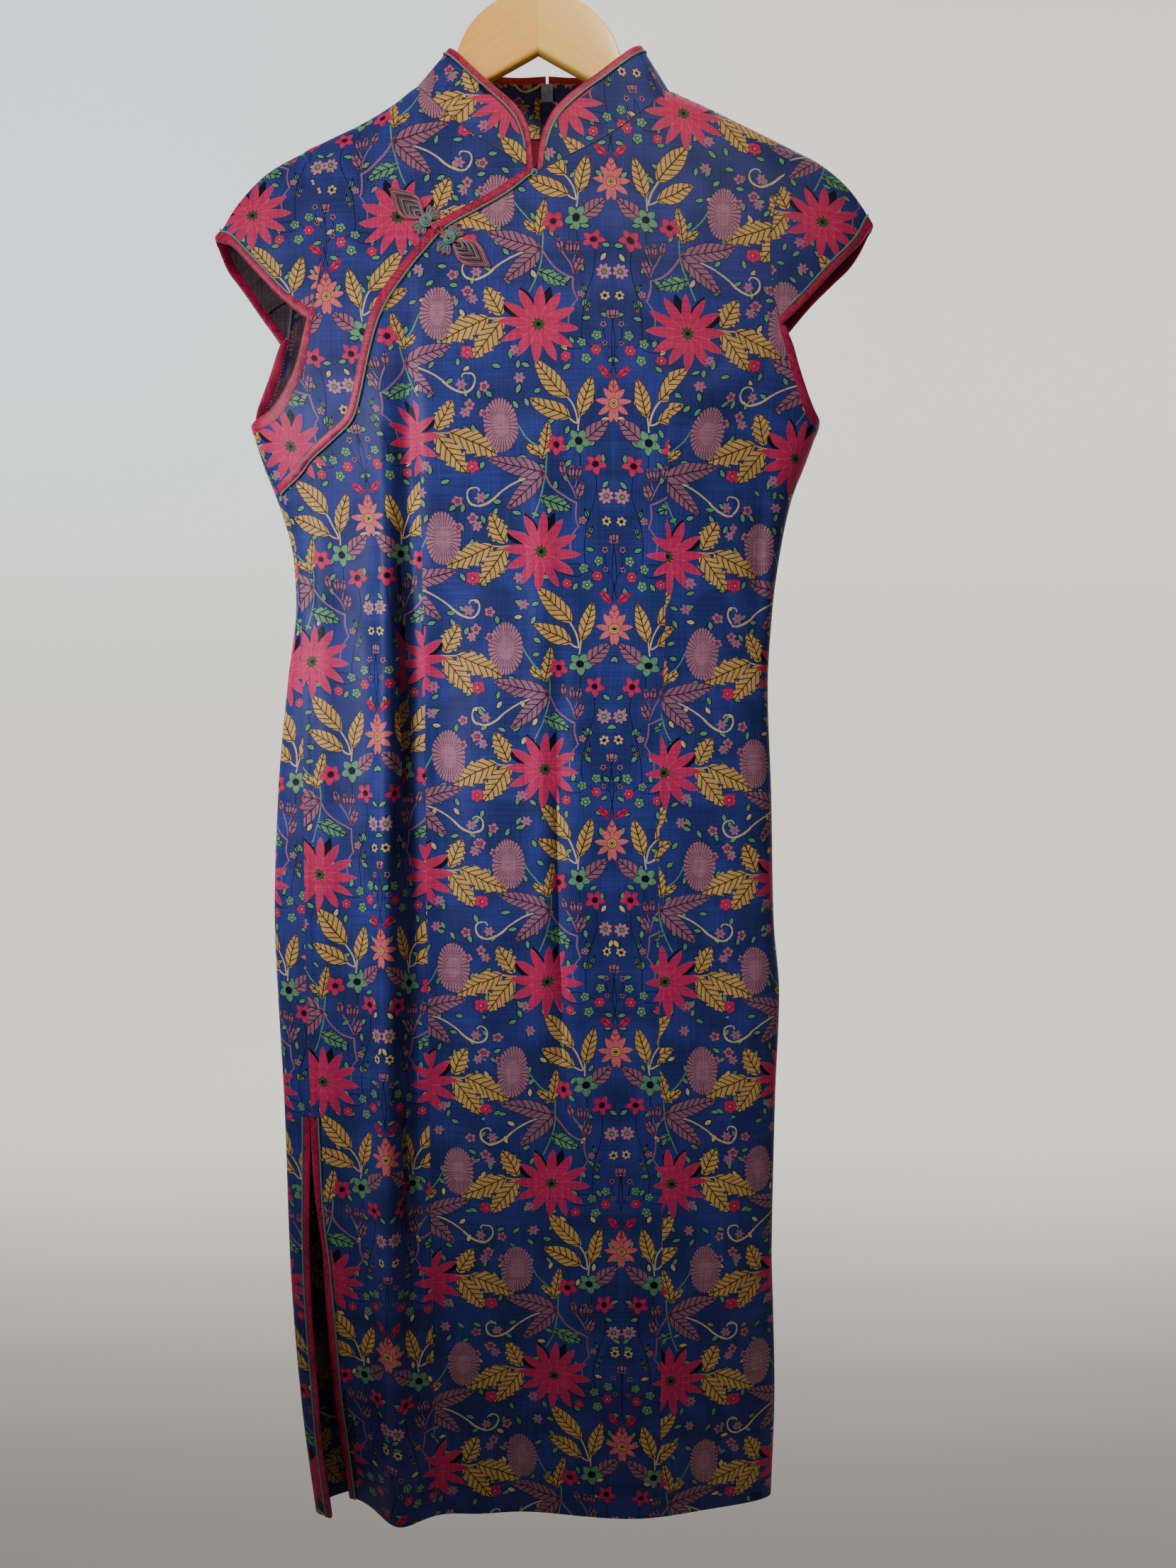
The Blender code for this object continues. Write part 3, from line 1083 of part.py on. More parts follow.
def build_hanger(looks):
    """Two wooden halves and the wire hook."""
    away_hump = np.array(column(HUMP, "away"))
    arm_away = np.linspace(0.0950, HANGER_REACH - 0.004, 7)
    for side, name in SIDES:
        sections = []
        for away in np.concatenate((away_hump, arm_away, (HANGER_REACH - 0.0012, HANGER_REACH))):
            x = HANGER_MIDDLE_X + side * max(away, SEAM / 2)
            arm_top = float(ridge_z(x)) - HANGER_DROP - 0.003 * float(smooth((away - 0.11) / 0.05))
            if away <= away_hump[-1]:
                top = float(through(away_hump, column(HUMP, "top"), away))
                low = float(through(away_hump, column(HUMP, "low"), away))
                mix = float(smooth((away - 0.060) / 0.020))
                top += (arm_top - top) * mix
                low += (arm_top - HANGER_ARM_DEPTH - low) * mix
            else:
                top, low = arm_top, arm_top - HANGER_ARM_DEPTH
            tuck = max(0.0, away - HANGER_REACH + 0.004) / 0.004
            narrow = 0.5 * (1.0 - math.sqrt(max(0.0, 1.0 - tuck * tuck * 0.75))) * HANGER_ARM_DEPTH
            sections.append(hanger_section(x, low + narrow, top - narrow))
        loft(f"hanger_{name}", np.array(sections), looks["wood"])
    turns = np.radians(np.linspace(208.0, -48.0, 20))
    centre_z = HOOK_WIRE - HOOK_RADIUS
    arc = np.stack((HOOK_RADIUS * np.cos(turns), 0.0 * turns,
                    centre_z + HOOK_RADIUS * np.sin(turns)), 1)
    stem = np.array(((0.0090, 0.0, -0.0463), (0.0047, 0.0, -0.0520), (0.0033, 0.0, -0.0590),
                     (0.0030, 0.0, -0.0670), (0.0030, 0.0, HUMP[0].top + SEAM)))
    cord("hanger_hook", spread(np.concatenate((arc, stem)), 26), HOOK_WIRE, looks["steel"], 3)


MODEL = bpy.data.collections.new("cheongsam_on_hanger")


def main():
    """Builds every piece."""
    for piece in list(bpy.data.objects):
        bpy.data.objects.remove(piece, do_unlink=True)
    bpy.context.scene.collection.children.link(MODEL)
    looks = finishes()
    build_panels(looks)
    build_linings(looks)
    build_edge_bindings(looks)
    build_flat_bindings(looks)
    build_frog(looks)
    build_zip(looks)
    build_hanger(looks)


main()
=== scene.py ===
"""A printed cheongsam on its wooden hanger: cloth, bindings, cords, frog, zip, wood and light.

Metres, +Z up, the front faces -Y. The dress is one flattened tube, and a place on it is a
ring coordinate (0 at the centre front, growing to the right round the side to the centre
back, in half-widths) and a height. Every pattern piece is a grid in those two coordinates.
"""
import logging
import math
from collections.abc import Callable, Sequence
from dataclasses import dataclass, field
from enum import Enum, IntEnum
from typing import ClassVar

import bmesh
import bpy
import numpy as np
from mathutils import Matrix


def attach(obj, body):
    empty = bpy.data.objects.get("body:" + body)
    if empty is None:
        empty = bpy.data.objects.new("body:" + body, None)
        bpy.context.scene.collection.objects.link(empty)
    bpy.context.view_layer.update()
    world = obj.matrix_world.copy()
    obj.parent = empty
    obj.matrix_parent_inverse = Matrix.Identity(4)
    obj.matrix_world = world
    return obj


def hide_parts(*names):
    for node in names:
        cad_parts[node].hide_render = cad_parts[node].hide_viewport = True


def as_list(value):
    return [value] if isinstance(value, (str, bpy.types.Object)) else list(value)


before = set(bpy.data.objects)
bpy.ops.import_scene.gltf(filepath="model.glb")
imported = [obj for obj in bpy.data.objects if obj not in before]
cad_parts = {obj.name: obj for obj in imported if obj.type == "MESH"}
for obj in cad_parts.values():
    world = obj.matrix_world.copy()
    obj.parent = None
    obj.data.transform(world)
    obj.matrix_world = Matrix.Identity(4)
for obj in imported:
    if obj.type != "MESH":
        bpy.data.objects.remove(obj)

LOG = logging.getLogger("cheongsam")
Array = np.ndarray
Colour = tuple[float, float, float, float]
Table = tuple[tuple[float, ...], ...]


def srgb(code: str) -> Colour:
    """Linear colour of a six-digit screen colour."""
    parts = [int(code[place:place + 2], 16) / 255.0 for place in (0, 2, 4)]
    linear = [part / 12.92 if part <= 0.04045 else ((part + 0.055) / 1.055) ** 2.4 for part in parts]
    return linear[0], linear[1], linear[2], 1.0


# ---------------------------------------------------------------- curves
def hermite(knots: Array, values: Array, at: Array) -> Array:
    """Smooth curve through values at knots with no overshoot between them.

    Each stretch is a cubic whose end slopes are harmonic means of the straight slopes.

    Args:
        knots: Rising places of the values.
        values: One row of numbers for each knot.
        at: Places to read.

    Returns:
        One row of numbers for each place read.
    """
    values = np.asarray(values, float)
    flat = values.reshape(len(knots), -1)
    step = np.diff(knots)[:, None]
    slope = np.diff(flat, axis=0) / step
    lean = np.zeros_like(flat)
    lean[0], lean[-1] = slope[0], slope[-1]
    after, before = 2 * step[1:] + step[:-1], step[1:] + 2 * step[:-1]
    with np.errstate(divide="ignore", invalid="ignore"):
        mean = (after + before) / (after / slope[:-1] + before / slope[1:])
    lean[1:-1] = np.where(slope[:-1] * slope[1:] > 0, mean, 0.0)
    at = np.clip(np.asarray(at, float), knots[0], knots[-1])
    row = np.clip(np.searchsorted(knots, at) - 1, 0, len(step) - 1)
    u = ((at - knots[row]) / step[row, 0])[..., None]
    result = (flat[row] * (1 + 2 * u) * (1 - u) ** 2 + lean[row] * step[row] * u * (1 - u) ** 2
              + flat[row + 1] * u * u * (3 - 2 * u) + lean[row + 1] * step[row] * u * u * (u - 1))
    return result.reshape(at.shape + values.shape[1:])


def through(places: Sequence[float], values: Sequence[float], at: Array) -> Array:
    """Smooth curve through a table whose rows may come in any order."""
    order = np.argsort(places)
    return hermite(np.asarray(places, float)[order], np.asarray(values, float)[order],
                   np.asarray(at, float))


def finer(grid: Array, up: int, across: int = 1) -> Array:
    """A grid with each cell cut into up rows and across columns, on smooth curves."""
    rows = np.arange(grid.shape[0], dtype=float)
    grid = hermite(rows, grid, np.linspace(0.0, rows[-1], int(rows[-1]) * up + 1))
    if across == 1:
        return grid
    columns = np.arange(grid.shape[1], dtype=float)
    turned = hermite(columns, grid.swapaxes(0, 1),
                     np.linspace(0.0, columns[-1], int(columns[-1]) * across + 1))
    return turned.swapaxes(0, 1)


def smooth(value: Array | float) -> Array:
    """Smooth step from 0 to 1."""
    value = np.clip(value, 0.0, 1.0)
    return value * value * (3.0 - 2.0 * value)


def unit(vectors: Array) -> Array:
    """Vectors scaled to a length of one."""
    return vectors / (np.linalg.norm(vectors, axis=-1)[..., None] + 1e-12)


def spread(points: Array | Sequence, count: int) -> Array:
    """Points at even spacing on the smooth curve through the given ones."""
    points = np.array([[float(value) for value in point] for point in points])
    lengths = np.linalg.norm(np.diff(points, axis=0), axis=1)
    along = np.concatenate(([0.0], np.cumsum(np.maximum(lengths, 1e-6))))
    curve = hermite(along, points, np.linspace(0.0, along[-1], 40 * len(points)))
    run = np.concatenate(([0.0], np.cumsum(np.linalg.norm(np.diff(curve, axis=0), axis=1))))
    even = np.linspace(0.0, run[-1], count)
    return np.stack([np.interp(even, run, curve[:, axis]) for axis in range(points.shape[1])], 1)


def shifted(points: Array, distance: float) -> Array:
    """A flat path moved sideways, to the left of its direction when distance is positive."""
    direction = np.gradient(points, axis=0)
    direction = direction / (np.linalg.norm(direction, axis=1)[:, None] + 1e-12)
    return points + distance * np.stack((-direction[:, 1], direction[:, 0]), 1)


def between(lower: Array, upper: Array, shares: Sequence[float]) -> Array:
    """Straight blend of two edges with equal counts, one row for each share of the way."""
    blend = np.asarray(shares, float)[:, None, None]
    return (1 - blend) * lower[None] + blend * upper[None]


def eased(count: int, ease: float) -> Array:
    """Shares from 0 to 1, closer together towards 1 when ease is above 1."""
    return 1.0 - (1.0 - np.linspace(0.0, 1.0, count)) ** ease


def at_shares(points: Array, shares: Array) -> Array:
    """Points at given shares of a smooth path's length."""
    fine = spread(points, 200)
    ramp = np.linspace(0.0, 1.0, 200)
    return np.stack([np.interp(shares, ramp, fine[:, axis]) for axis in range(fine.shape[1])], 1)


# ---------------------------------------------------------------- the form of the cloth
@dataclass(frozen=True)
class Crease:
    """A soft trough or ridge along a straight line on one side of the dress.

    x and z are in metres; rise is outward, so a trough has a negative one.
    """

    x: float
    z: float
    to_x: float
    to_z: float
    half: float
    rise: float

    def height(self, x: Array, z: Array) -> Array:
        """Height of the crease: a bell curve across its line that fades at both ends."""
        run_x, run_z = self.to_x - self.x, self.to_z - self.z
        length = math.hypot(run_x, run_z)
        along = ((x - self.x) * run_x + (z - self.z) * run_z) / length ** 2
        across = ((x - self.x) * run_z - (z - self.z) * run_x) / length
        fade = smooth(along / 0.3 + 0.3) * smooth((1.0 - along) / 0.3 + 0.3)
        return self.rise * fade * np.exp(-(across / self.half) ** 2)


class Ring(IntEnum):
    """Columns of the table of rings."""

    HEIGHT = 0
    LEFT = 1
    RIGHT = 2
    FRONT = 3
    BACK = 4


@dataclass(frozen=True)
class Tube:
    """The flattened tube of cloth, from its rings, its shoulder line and its folds."""

    rings: Table = (
        (-0.1000, -0.2520, 0.2580, 0.016, 0.017), (-0.1900, -0.2460, 0.2560, 0.020, 0.020),
        (-0.2370, -0.2310, 0.2418, 0.025, 0.022), (-0.2448, -0.2289, 0.2402, 0.026, 0.022),
        (-0.3100, -0.2162, 0.2215, 0.034, 0.024), (-0.3765, -0.2048, 0.2045, 0.037, 0.026),
        (-0.4056, -0.1964, 0.1945, 0.036, 0.026), (-0.4258, -0.1886, 0.1866, 0.034, 0.026),
        (-0.4462, -0.1818, 0.1817, 0.032, 0.025), (-0.4718, -0.1762, 0.1774, 0.030, 0.024),
        (-0.5026, -0.1748, 0.1737, 0.028, 0.023), (-0.5600, -0.1818, 0.1708, 0.028, 0.023),
        (-0.6439, -0.1905, 0.1746, 0.030, 0.025), (-0.7403, -0.1948, 0.1780, 0.030, 0.026),
        (-0.8000, -0.1932, 0.1832, 0.029, 0.026), (-0.8829, -0.1902, 0.1812, 0.028, 0.027),
        (-0.9954, -0.1886, 0.1804, 0.026, 0.029), (-1.0468, -0.1866, 0.1822, 0.025, 0.031),
        (-1.1219, -0.1815, 0.1844, 0.023, 0.033), (-1.2020, -0.1730, 0.1827, 0.020, 0.036))
    """Height, left side, right side, front depth and back depth of each ring."""
    shoulder: Table = (
        (-0.2289, -0.2448), (-0.2213, -0.2365), (-0.2149, -0.2268), (-0.2045, -0.2146),
        (-0.1890, -0.2005), (-0.1630, -0.1866), (-0.1431, -0.1773), (-0.1235, -0.1685),
        (-0.0974, -0.1535), (-0.0823, -0.1426), (-0.0500, -0.1330), (0.0050, -0.1300),
        (0.0600, -0.1335), (0.0945, -0.1445), (0.1237, -0.1566), (0.1490, -0.1686),
        (0.1840, -0.1855), (0.1997, -0.1930), (0.2202, -0.2083), (0.2332, -0.2235),
        (0.2418, -0.2370))
    """x and z along the top of both shoulders and sleeves."""
    turns: Table = ((-1.202, 3.2), (-0.900, 2.6), (-0.600, 1.4), (-0.400, 0.0))
    """Height and degrees that the tube is turned on the hanger."""
    front_folds: Table = (
        (-0.100, -0.108, -0.42, -1.40, 0.018, 0.009, 0.12),
        (-0.070, -0.074, -0.45, -1.40, 0.024, -0.006, 0.12),
        (-0.015, -0.018, -0.84, -1.40, 0.045, -0.014, 0.34),
        (0.078, 0.085, -0.88, -1.40, 0.045, 0.008, 0.30),
        (0.100, 0.095, -0.31, -0.46, 0.040, 0.005, 0.05),
        (-0.100, -0.085, -0.31, -0.46, 0.040, 0.004, 0.05))
    """x at the top and foot, z at the top and foot, half-width, rise and fade of each fold."""
    back_folds: Table = (
        (-0.085, -0.100, -0.48, -1.40, 0.028, 0.006, 0.16),
        (-0.035, -0.045, -0.70, -1.40, 0.030, -0.005, 0.20),
        (0.060, 0.075, -0.55, -1.40, 0.032, 0.006, 0.18),
        (0.120, 0.130, -0.80, -1.40, 0.030, -0.005, 0.25))
    front_creases: tuple[Crease, ...] = (
        Crease(0.104, -0.345, 0.090, -0.625, 0.0022, -0.0011),
        Crease(0.098, -0.350, 0.083, -0.620, 0.0120, 0.0016),
        Crease(0.162, -0.316, 0.106, -0.360, 0.0020, -0.0010),
        Crease(0.155, -0.338, 0.105, -0.378, 0.0130, 0.0022),
        Crease(-0.098, -0.440, -0.090, -0.640, 0.0024, -0.0011),
        Crease(0.163, -0.385, 0.160, -0.535, 0.0050, -0.0022),
        Crease(-0.087, -0.290, -0.095, -1.100, 0.0080, -0.0078),
        Crease(-0.104, -0.330, -0.111, -1.100, 0.0078, 0.0050),
        Crease(-0.161, -0.345, -0.161, -1.130, 0.0022, -0.0013),
        Crease(-0.154, -0.360, -0.154, -1.130, 0.0090, 0.0014),
        Crease(-0.104, -0.420, -0.060, -0.480, 0.0090, 0.0014),
        Crease(-0.150, -0.500, -0.100, -0.560, 0.0130, -0.0018),
        Crease(0.150, -0.480, 0.060, -0.520, 0.0170, 0.0018),
        Crease(0.160, -0.560, 0.070, -0.590, 0.0160, -0.0016),
        Crease(0.040, -0.250, 0.125, -0.300, 0.0200, 0.0016),
        Crease(0.030, -0.290, 0.140, -0.255, 0.0150, -0.0014),
        Crease(-0.040, -0.300, 0.050, -0.400, 0.0220, 0.0016),
        Crease(-0.120, -0.640, -0.080, -0.860, 0.0150, 0.0020),
        Crease(0.016, -0.540, 0.018, -0.900, 0.0058, -0.0050),
        Crease(0.005, -0.360, 0.007, -0.820, 0.0070, 0.0030),
        Crease(0.024, -0.560, 0.035, -0.960, 0.0160, 0.0022),
        Crease(0.120, -0.640, 0.135, -0.980, 0.0200, -0.0020),
        Crease(-0.130, -0.955, 0.150, -0.965, 0.0050, -0.0006),
        Crease(0.140, -0.860, 0.155, -1.190, 0.0160, 0.0022),
        Crease(-0.130, -0.980, -0.125, -1.190, 0.0130, -0.0024),
        Crease(-0.020, -1.020, 0.010, -1.195, 0.0160, 0.0018),
        Crease(0.050, -1.060, 0.055, -1.195, 0.0130, -0.0020),
        Crease(-0.060, -0.215, -0.110, -0.255, 0.0110, -0.0012),
        Crease(-0.130, -0.240, -0.100, -0.330, 0.0120, 0.0014))
    back_creases: tuple[Crease, ...] = (
        Crease(0.098, -0.360, 0.086, -0.620, 0.0022, -0.0011),
        Crease(-0.094, -0.400, -0.084, -0.640, 0.0022, -0.0011),
        Crease(0.140, -0.470, 0.050, -0.505, 0.0150, 0.0018),
        Crease(-0.140, -0.490, -0.050, -0.520, 0.0150, 0.0018),
        Crease(0.150, -0.540, 0.050, -0.560, 0.0150, -0.0016),
        Crease(-0.150, -0.550, -0.050, -0.575, 0.0150, -0.0016),
        Crease(-0.110, -0.240, -0.060, -0.330, 0.0180, 0.0016),
        Crease(0.110, -0.240, 0.070, -0.330, 0.0180, 0.0016),
        Crease(0.030, -0.620, 0.035, -0.900, 0.0240, 0.0020),
        Crease(-0.120, -0.700, -0.125, -1.100, 0.0200, -0.0022),
        Crease(0.100, -0.900, 0.115, -1.190, 0.0180, 0.0020),
        Crease(-0.060, -0.980, -0.070, -1.190, 0.0160, 0.0020),
        Crease(-0.150, -0.958, 0.150, -0.962, 0.0050, -0.0006))
    rounding: float = 0.040
    """How far below the shoulder line the cloth reaches its full depth."""
    half_width: float = 0.19
    """Turns ring coordinates into metres along the cloth."""
    roundness: float = 0.8
    """Power of the cosine that gives the depth."""
    neck_at: tuple[float, float] = (0.005, -0.165)
    neck_half: tuple[float, float] = (0.075, 0.055)
    neck_rise: tuple[float, float] = (0.003, 0.016)
    """Middle and half-sizes in x and z of the swelling at the neck; its rise in front and behind."""
    curl_from: tuple[float, float] = (-0.100, -0.95)
    curl_over: tuple[float, float] = (0.052, 0.25)
    curl_depth: float = 0.024
    """x and z where the slit's corner starts to curl, the distances it takes, and its depth."""
    grain_places: tuple[float, float, int] = (-2.3, 2.3, 461)
    grain_heights: tuple[float, float, int] = (-1.215, -0.125, 219)
    waist_row: int = 143
    """First, last and number of the ring coordinates and heights where the weave is measured."""
    steepest: float = 2.2
    """Length along the cloth that the weave counts at most, for each length of height."""
    centre_back_x: float = 0.006

    def size(self, column: Ring, z: Array) -> Array:
        """One of a ring's sizes at a height."""
        rows = np.array(self.rings)
        return through(rows[:, Ring.HEIGHT], rows[:, column], z)

    def ridge(self, x: Array) -> Array:
        """Height of the shoulder line."""
        rows = np.array(self.shoulder)
        return through(rows[:, 0], rows[:, 1], x)

    @staticmethod
    def place_of(angle: Array) -> Array:
        """Ring coordinate of an angle: a sine on front and back, straight round the sides."""
        sixty, sine = math.radians(60.0), math.sin(math.radians(60.0))
        size = np.abs(angle)
        side = sine + 0.5 * (size - sixty)
        far = 2.0 * sine + 0.5 * sixty - np.sin(size)
        return np.sign(angle) * np.where(size <= sixty, np.sin(size),
                                         np.where(size <= 2 * sixty, side, far))

    @staticmethod
    def angle_of(place: Array) -> Array:
        """Angle about the tube of a ring coordinate."""
        sixty, sine = math.radians(60.0), math.sin(math.radians(60.0))
        size = np.abs(place)
        turn = sine + 0.5 * sixty
        near = np.arcsin(np.clip(size, 0.0, sine))
        side = sixty + 2.0 * (size - sine)
        far = math.pi - np.arcsin(np.clip(turn + sine - size, -1.0, sine))
        return np.sign(place) * np.where(size <= sine, near, np.where(size <= turn, side, far))

    @staticmethod
    def folded(rows: Table, x: Array, z: Array) -> Array:
        """Sum of one side's folds: bell curves across lines that run down the dress."""
        total = np.zeros_like(x)
        for x_top, x_low, z_top, z_low, half, rise, fade in rows:
            along = np.clip((z_top - z) / (z_top - z_low), 0.0, 1.0)
            middle = x_top + (x_low - x_top) * along
            strength = smooth((z_top - z) / fade) * smooth((z - z_low) / fade)
            total += rise * strength * np.exp(-(((x - middle) / half) ** 2))
        return total

    def form(self, place: Array, z: Array, curl: bool) -> Array:
        """The cloth's middle surface.

        x follows the sine of the angle between the ring's sides. The depth follows the
        cosine's 0.8th power, is rounded in to the shoulder line like a quarter circle, and
        carries the folds and creases. The whole ring is then turned a little.

        Args:
            place: Ring coordinates.
            z: Heights.
            curl: Whether the slit corner curls inward, as on the front.

        Returns:
            Points in metres.
        """
        angle = self.angle_of(place)
        left, right = self.size(Ring.LEFT, z), self.size(Ring.RIGHT, z)
        x = 0.5 * (left + right) + 0.5 * (right - left) * np.sin(angle)
        facing = np.cos(angle)
        front = facing > 0.0
        below = np.clip((self.ridge(x) - z) / self.rounding, 0.0, 1.0)
        rounding = np.sqrt(np.maximum(1.0 - (1.0 - below) ** 2, 0.0))
        neck = np.exp(-((x - self.neck_at[0]) / self.neck_half[0]) ** 2
                      - ((z - self.neck_at[1]) / self.neck_half[1]) ** 2)
        depth = np.where(front, self.size(Ring.FRONT, z) + self.neck_rise[0] * neck,
                         self.size(Ring.BACK, z) + self.neck_rise[1] * neck)
        depth = depth * np.abs(facing) ** self.roundness * rounding
        folds = np.where(front, self.folded(self.front_folds, x, z), self.folded(self.back_folds, x, z))
        before = sum(crease.height(x, z) for crease in self.front_creases)
        behind = sum(crease.height(x, z) for crease in self.back_creases)
        below_shoulder = smooth((self.ridge(x) - z - 0.012) / 0.03)
        depth += folds * smooth(np.abs(facing) / 0.4)
        depth += np.where(front, before, behind) * smooth(np.abs(facing) / 0.3) * below_shoulder
        rows = np.array(self.turns)
        y = np.where(front, -depth, depth) + x * np.tan(np.radians(through(rows[:, 0], rows[:, 1], z)))
        if curl:
            y += (self.curl_depth * smooth((self.curl_from[0] - x) / self.curl_over[0])
                  * smooth((self.curl_from[1] - z) / self.curl_over[1]))
        return np.stack((x, y, z), -1)

    def at(self, place: Array, z: Array, out: Array | float = 0.0, curl: bool = False) -> Array:
        """Points on the cloth moved out along its normal, from differences of the form."""
        place, z = np.broadcast_arrays(np.asarray(place, float), np.asarray(z, float))
        point = self.form(place, z, curl)
        small = 2e-4
        across = self.form(place + small / self.half_width, z, curl) - self.form(
            place - small / self.half_width, z, curl)
        up = self.form(place, z + small, curl) - self.form(place, z - small, curl)
        x = point[..., 0]
        slope = (self.ridge(x + small) - self.ridge(x - small)) / (2.0 * small)
        crest = np.stack((-slope, 0.0 * slope, 1.0 + 0.0 * slope), -1)
        on_crest = (self.ridge(x) - z < 5.0 * small)[..., None]
        normal = unit(np.where(on_crest, crest, np.cross(across, up)))
        return point + np.asarray(out, float)[..., None] * normal

    def on_side(self, points: Array | Sequence, back: int = 0) -> Array:
        """Ring coordinates and heights of points given as x and z.

        Args:
            points: Rows of x and z.
            back: 0 on the front, -1 on the back reached round the left, 1 round the right.

        Returns:
            Rows of ring coordinate and height.
        """
        points = np.asarray(points, float)
        x, z = points[:, 0], points[:, 1]
        left, right = self.size(Ring.LEFT, z), self.size(Ring.RIGHT, z)
        lean = np.arcsin(np.clip((x - 0.5 * (left + right)) / (0.5 * (right - left)), -1.0, 1.0))
        if back:
            lean = back * math.pi - lean
        return np.stack((self.place_of(lean), z), 1)

    def even(self, points: Array, count: int, ease: float = 1.0) -> Array:
        """Points spread along a path on the cloth."""
        scale = (self.half_width, 1.0)
        return at_shares(np.asarray(points, float) * scale, eased(count, ease)) / scale

    def moved(self, points: Array, distance: float) -> Array:
        """A path moved sideways on the cloth."""
        scale = (self.half_width, 1.0)
        return shifted(np.asarray(points, float) * scale, distance) / scale

    def share(self, path: Array, other: Array) -> Array:
        """How far along its path each point lies; a path with no length takes the other's."""
        steps = np.linalg.norm(np.diff(path * (self.half_width, 1.0), axis=0), axis=1)
        if steps.sum() < 1e-4:
            return self.share(other, path)
        return np.concatenate(([0.0], np.cumsum(steps))) / steps.sum()

    def inside(self, left: Array, right: Array, bottom: Array, top: Array) -> Array:
        """Blend of four edges that meet at their ends, with shares that drift between them."""
        low, high = self.share(bottom, top)[None, :], self.share(top, bottom)[None, :]
        near, far = self.share(left, right)[:, None], self.share(right, left)[:, None]
        across, up = high - low, far - near
        s = (low + near * across) / (1.0 - across * up)
        t = near + s * up
        s, t = s[..., None], t[..., None]
        sides = (1 - s) * left[:, None] + s * right[:, None]
        ends = (1 - t) * bottom[None] + t * top[None]
        corners = ((1 - s) * (1 - t) * bottom[0] + s * (1 - t) * bottom[-1]
                   + (1 - s) * t * top[0] + s * t * top[-1])
        return sides + ends - corners

    def grain(self, place: Array, z: Array, back: int = 0) -> Array:
        """Places in the cloth's own weave, in metres, along the weft and the warp.

        Distances along the form are summed round each ring from the centre front or back,
        and up each line from the waist.

        Args:
            place: Ring coordinates.
            z: Heights.
            back: 0 for the front, otherwise the side round which the back is reached.

        Returns:
            Distances across and up, in the last axis.
        """
        places, heights = np.linspace(*self.grain_places), np.linspace(*self.grain_heights)
        points = self.form(places[None] + 0.0 * heights[:, None], heights[:, None] + 0.0 * places[None],
                           False)
        across = np.linalg.norm(np.diff(points, axis=1), axis=2).cumsum(1)
        across = np.concatenate((np.zeros((len(heights), 1)), across), 1)
        up = np.linalg.norm(np.diff(points, axis=0), axis=2)
        up = np.minimum(up, self.steepest * (heights[1] - heights[0])).cumsum(0)
        up = np.concatenate((np.zeros((1, len(places))), up), 0)
        x = np.full_like(heights, self.centre_back_x if back else 0.0)
        middle = self.on_side(np.stack((x, heights), 1), back)[:, 0]
        start = np.array([np.interp(at, places, row) for at, row in zip(middle, across)])
        across = across - start[:, None]
        up = up - up[self.waist_row] + heights[self.waist_row]

        def read(table: Array) -> Array:
            """Straight-line reading of a table between its nodes."""
            column = np.clip((place - places[0]) / (places[1] - places[0]), 0, len(places) - 1.001)
            row = np.clip((z - heights[0]) / (heights[1] - heights[0]), 0, len(heights) - 1.001)
            j, i = column.astype(int), row.astype(int)
            u, v = column - j, row - i
            return ((table[i, j] * (1 - u) + table[i, j + 1] * u) * (1 - v)
                    + (table[i + 1, j] * (1 - u) + table[i + 1, j + 1] * u) * v)

        return np.stack((read(across), read(up)), -1)


# ---------------------------------------------------------------- the cut
SIDES: tuple[tuple[int, str], ...] = ((-1, "left"), (1, "right"))


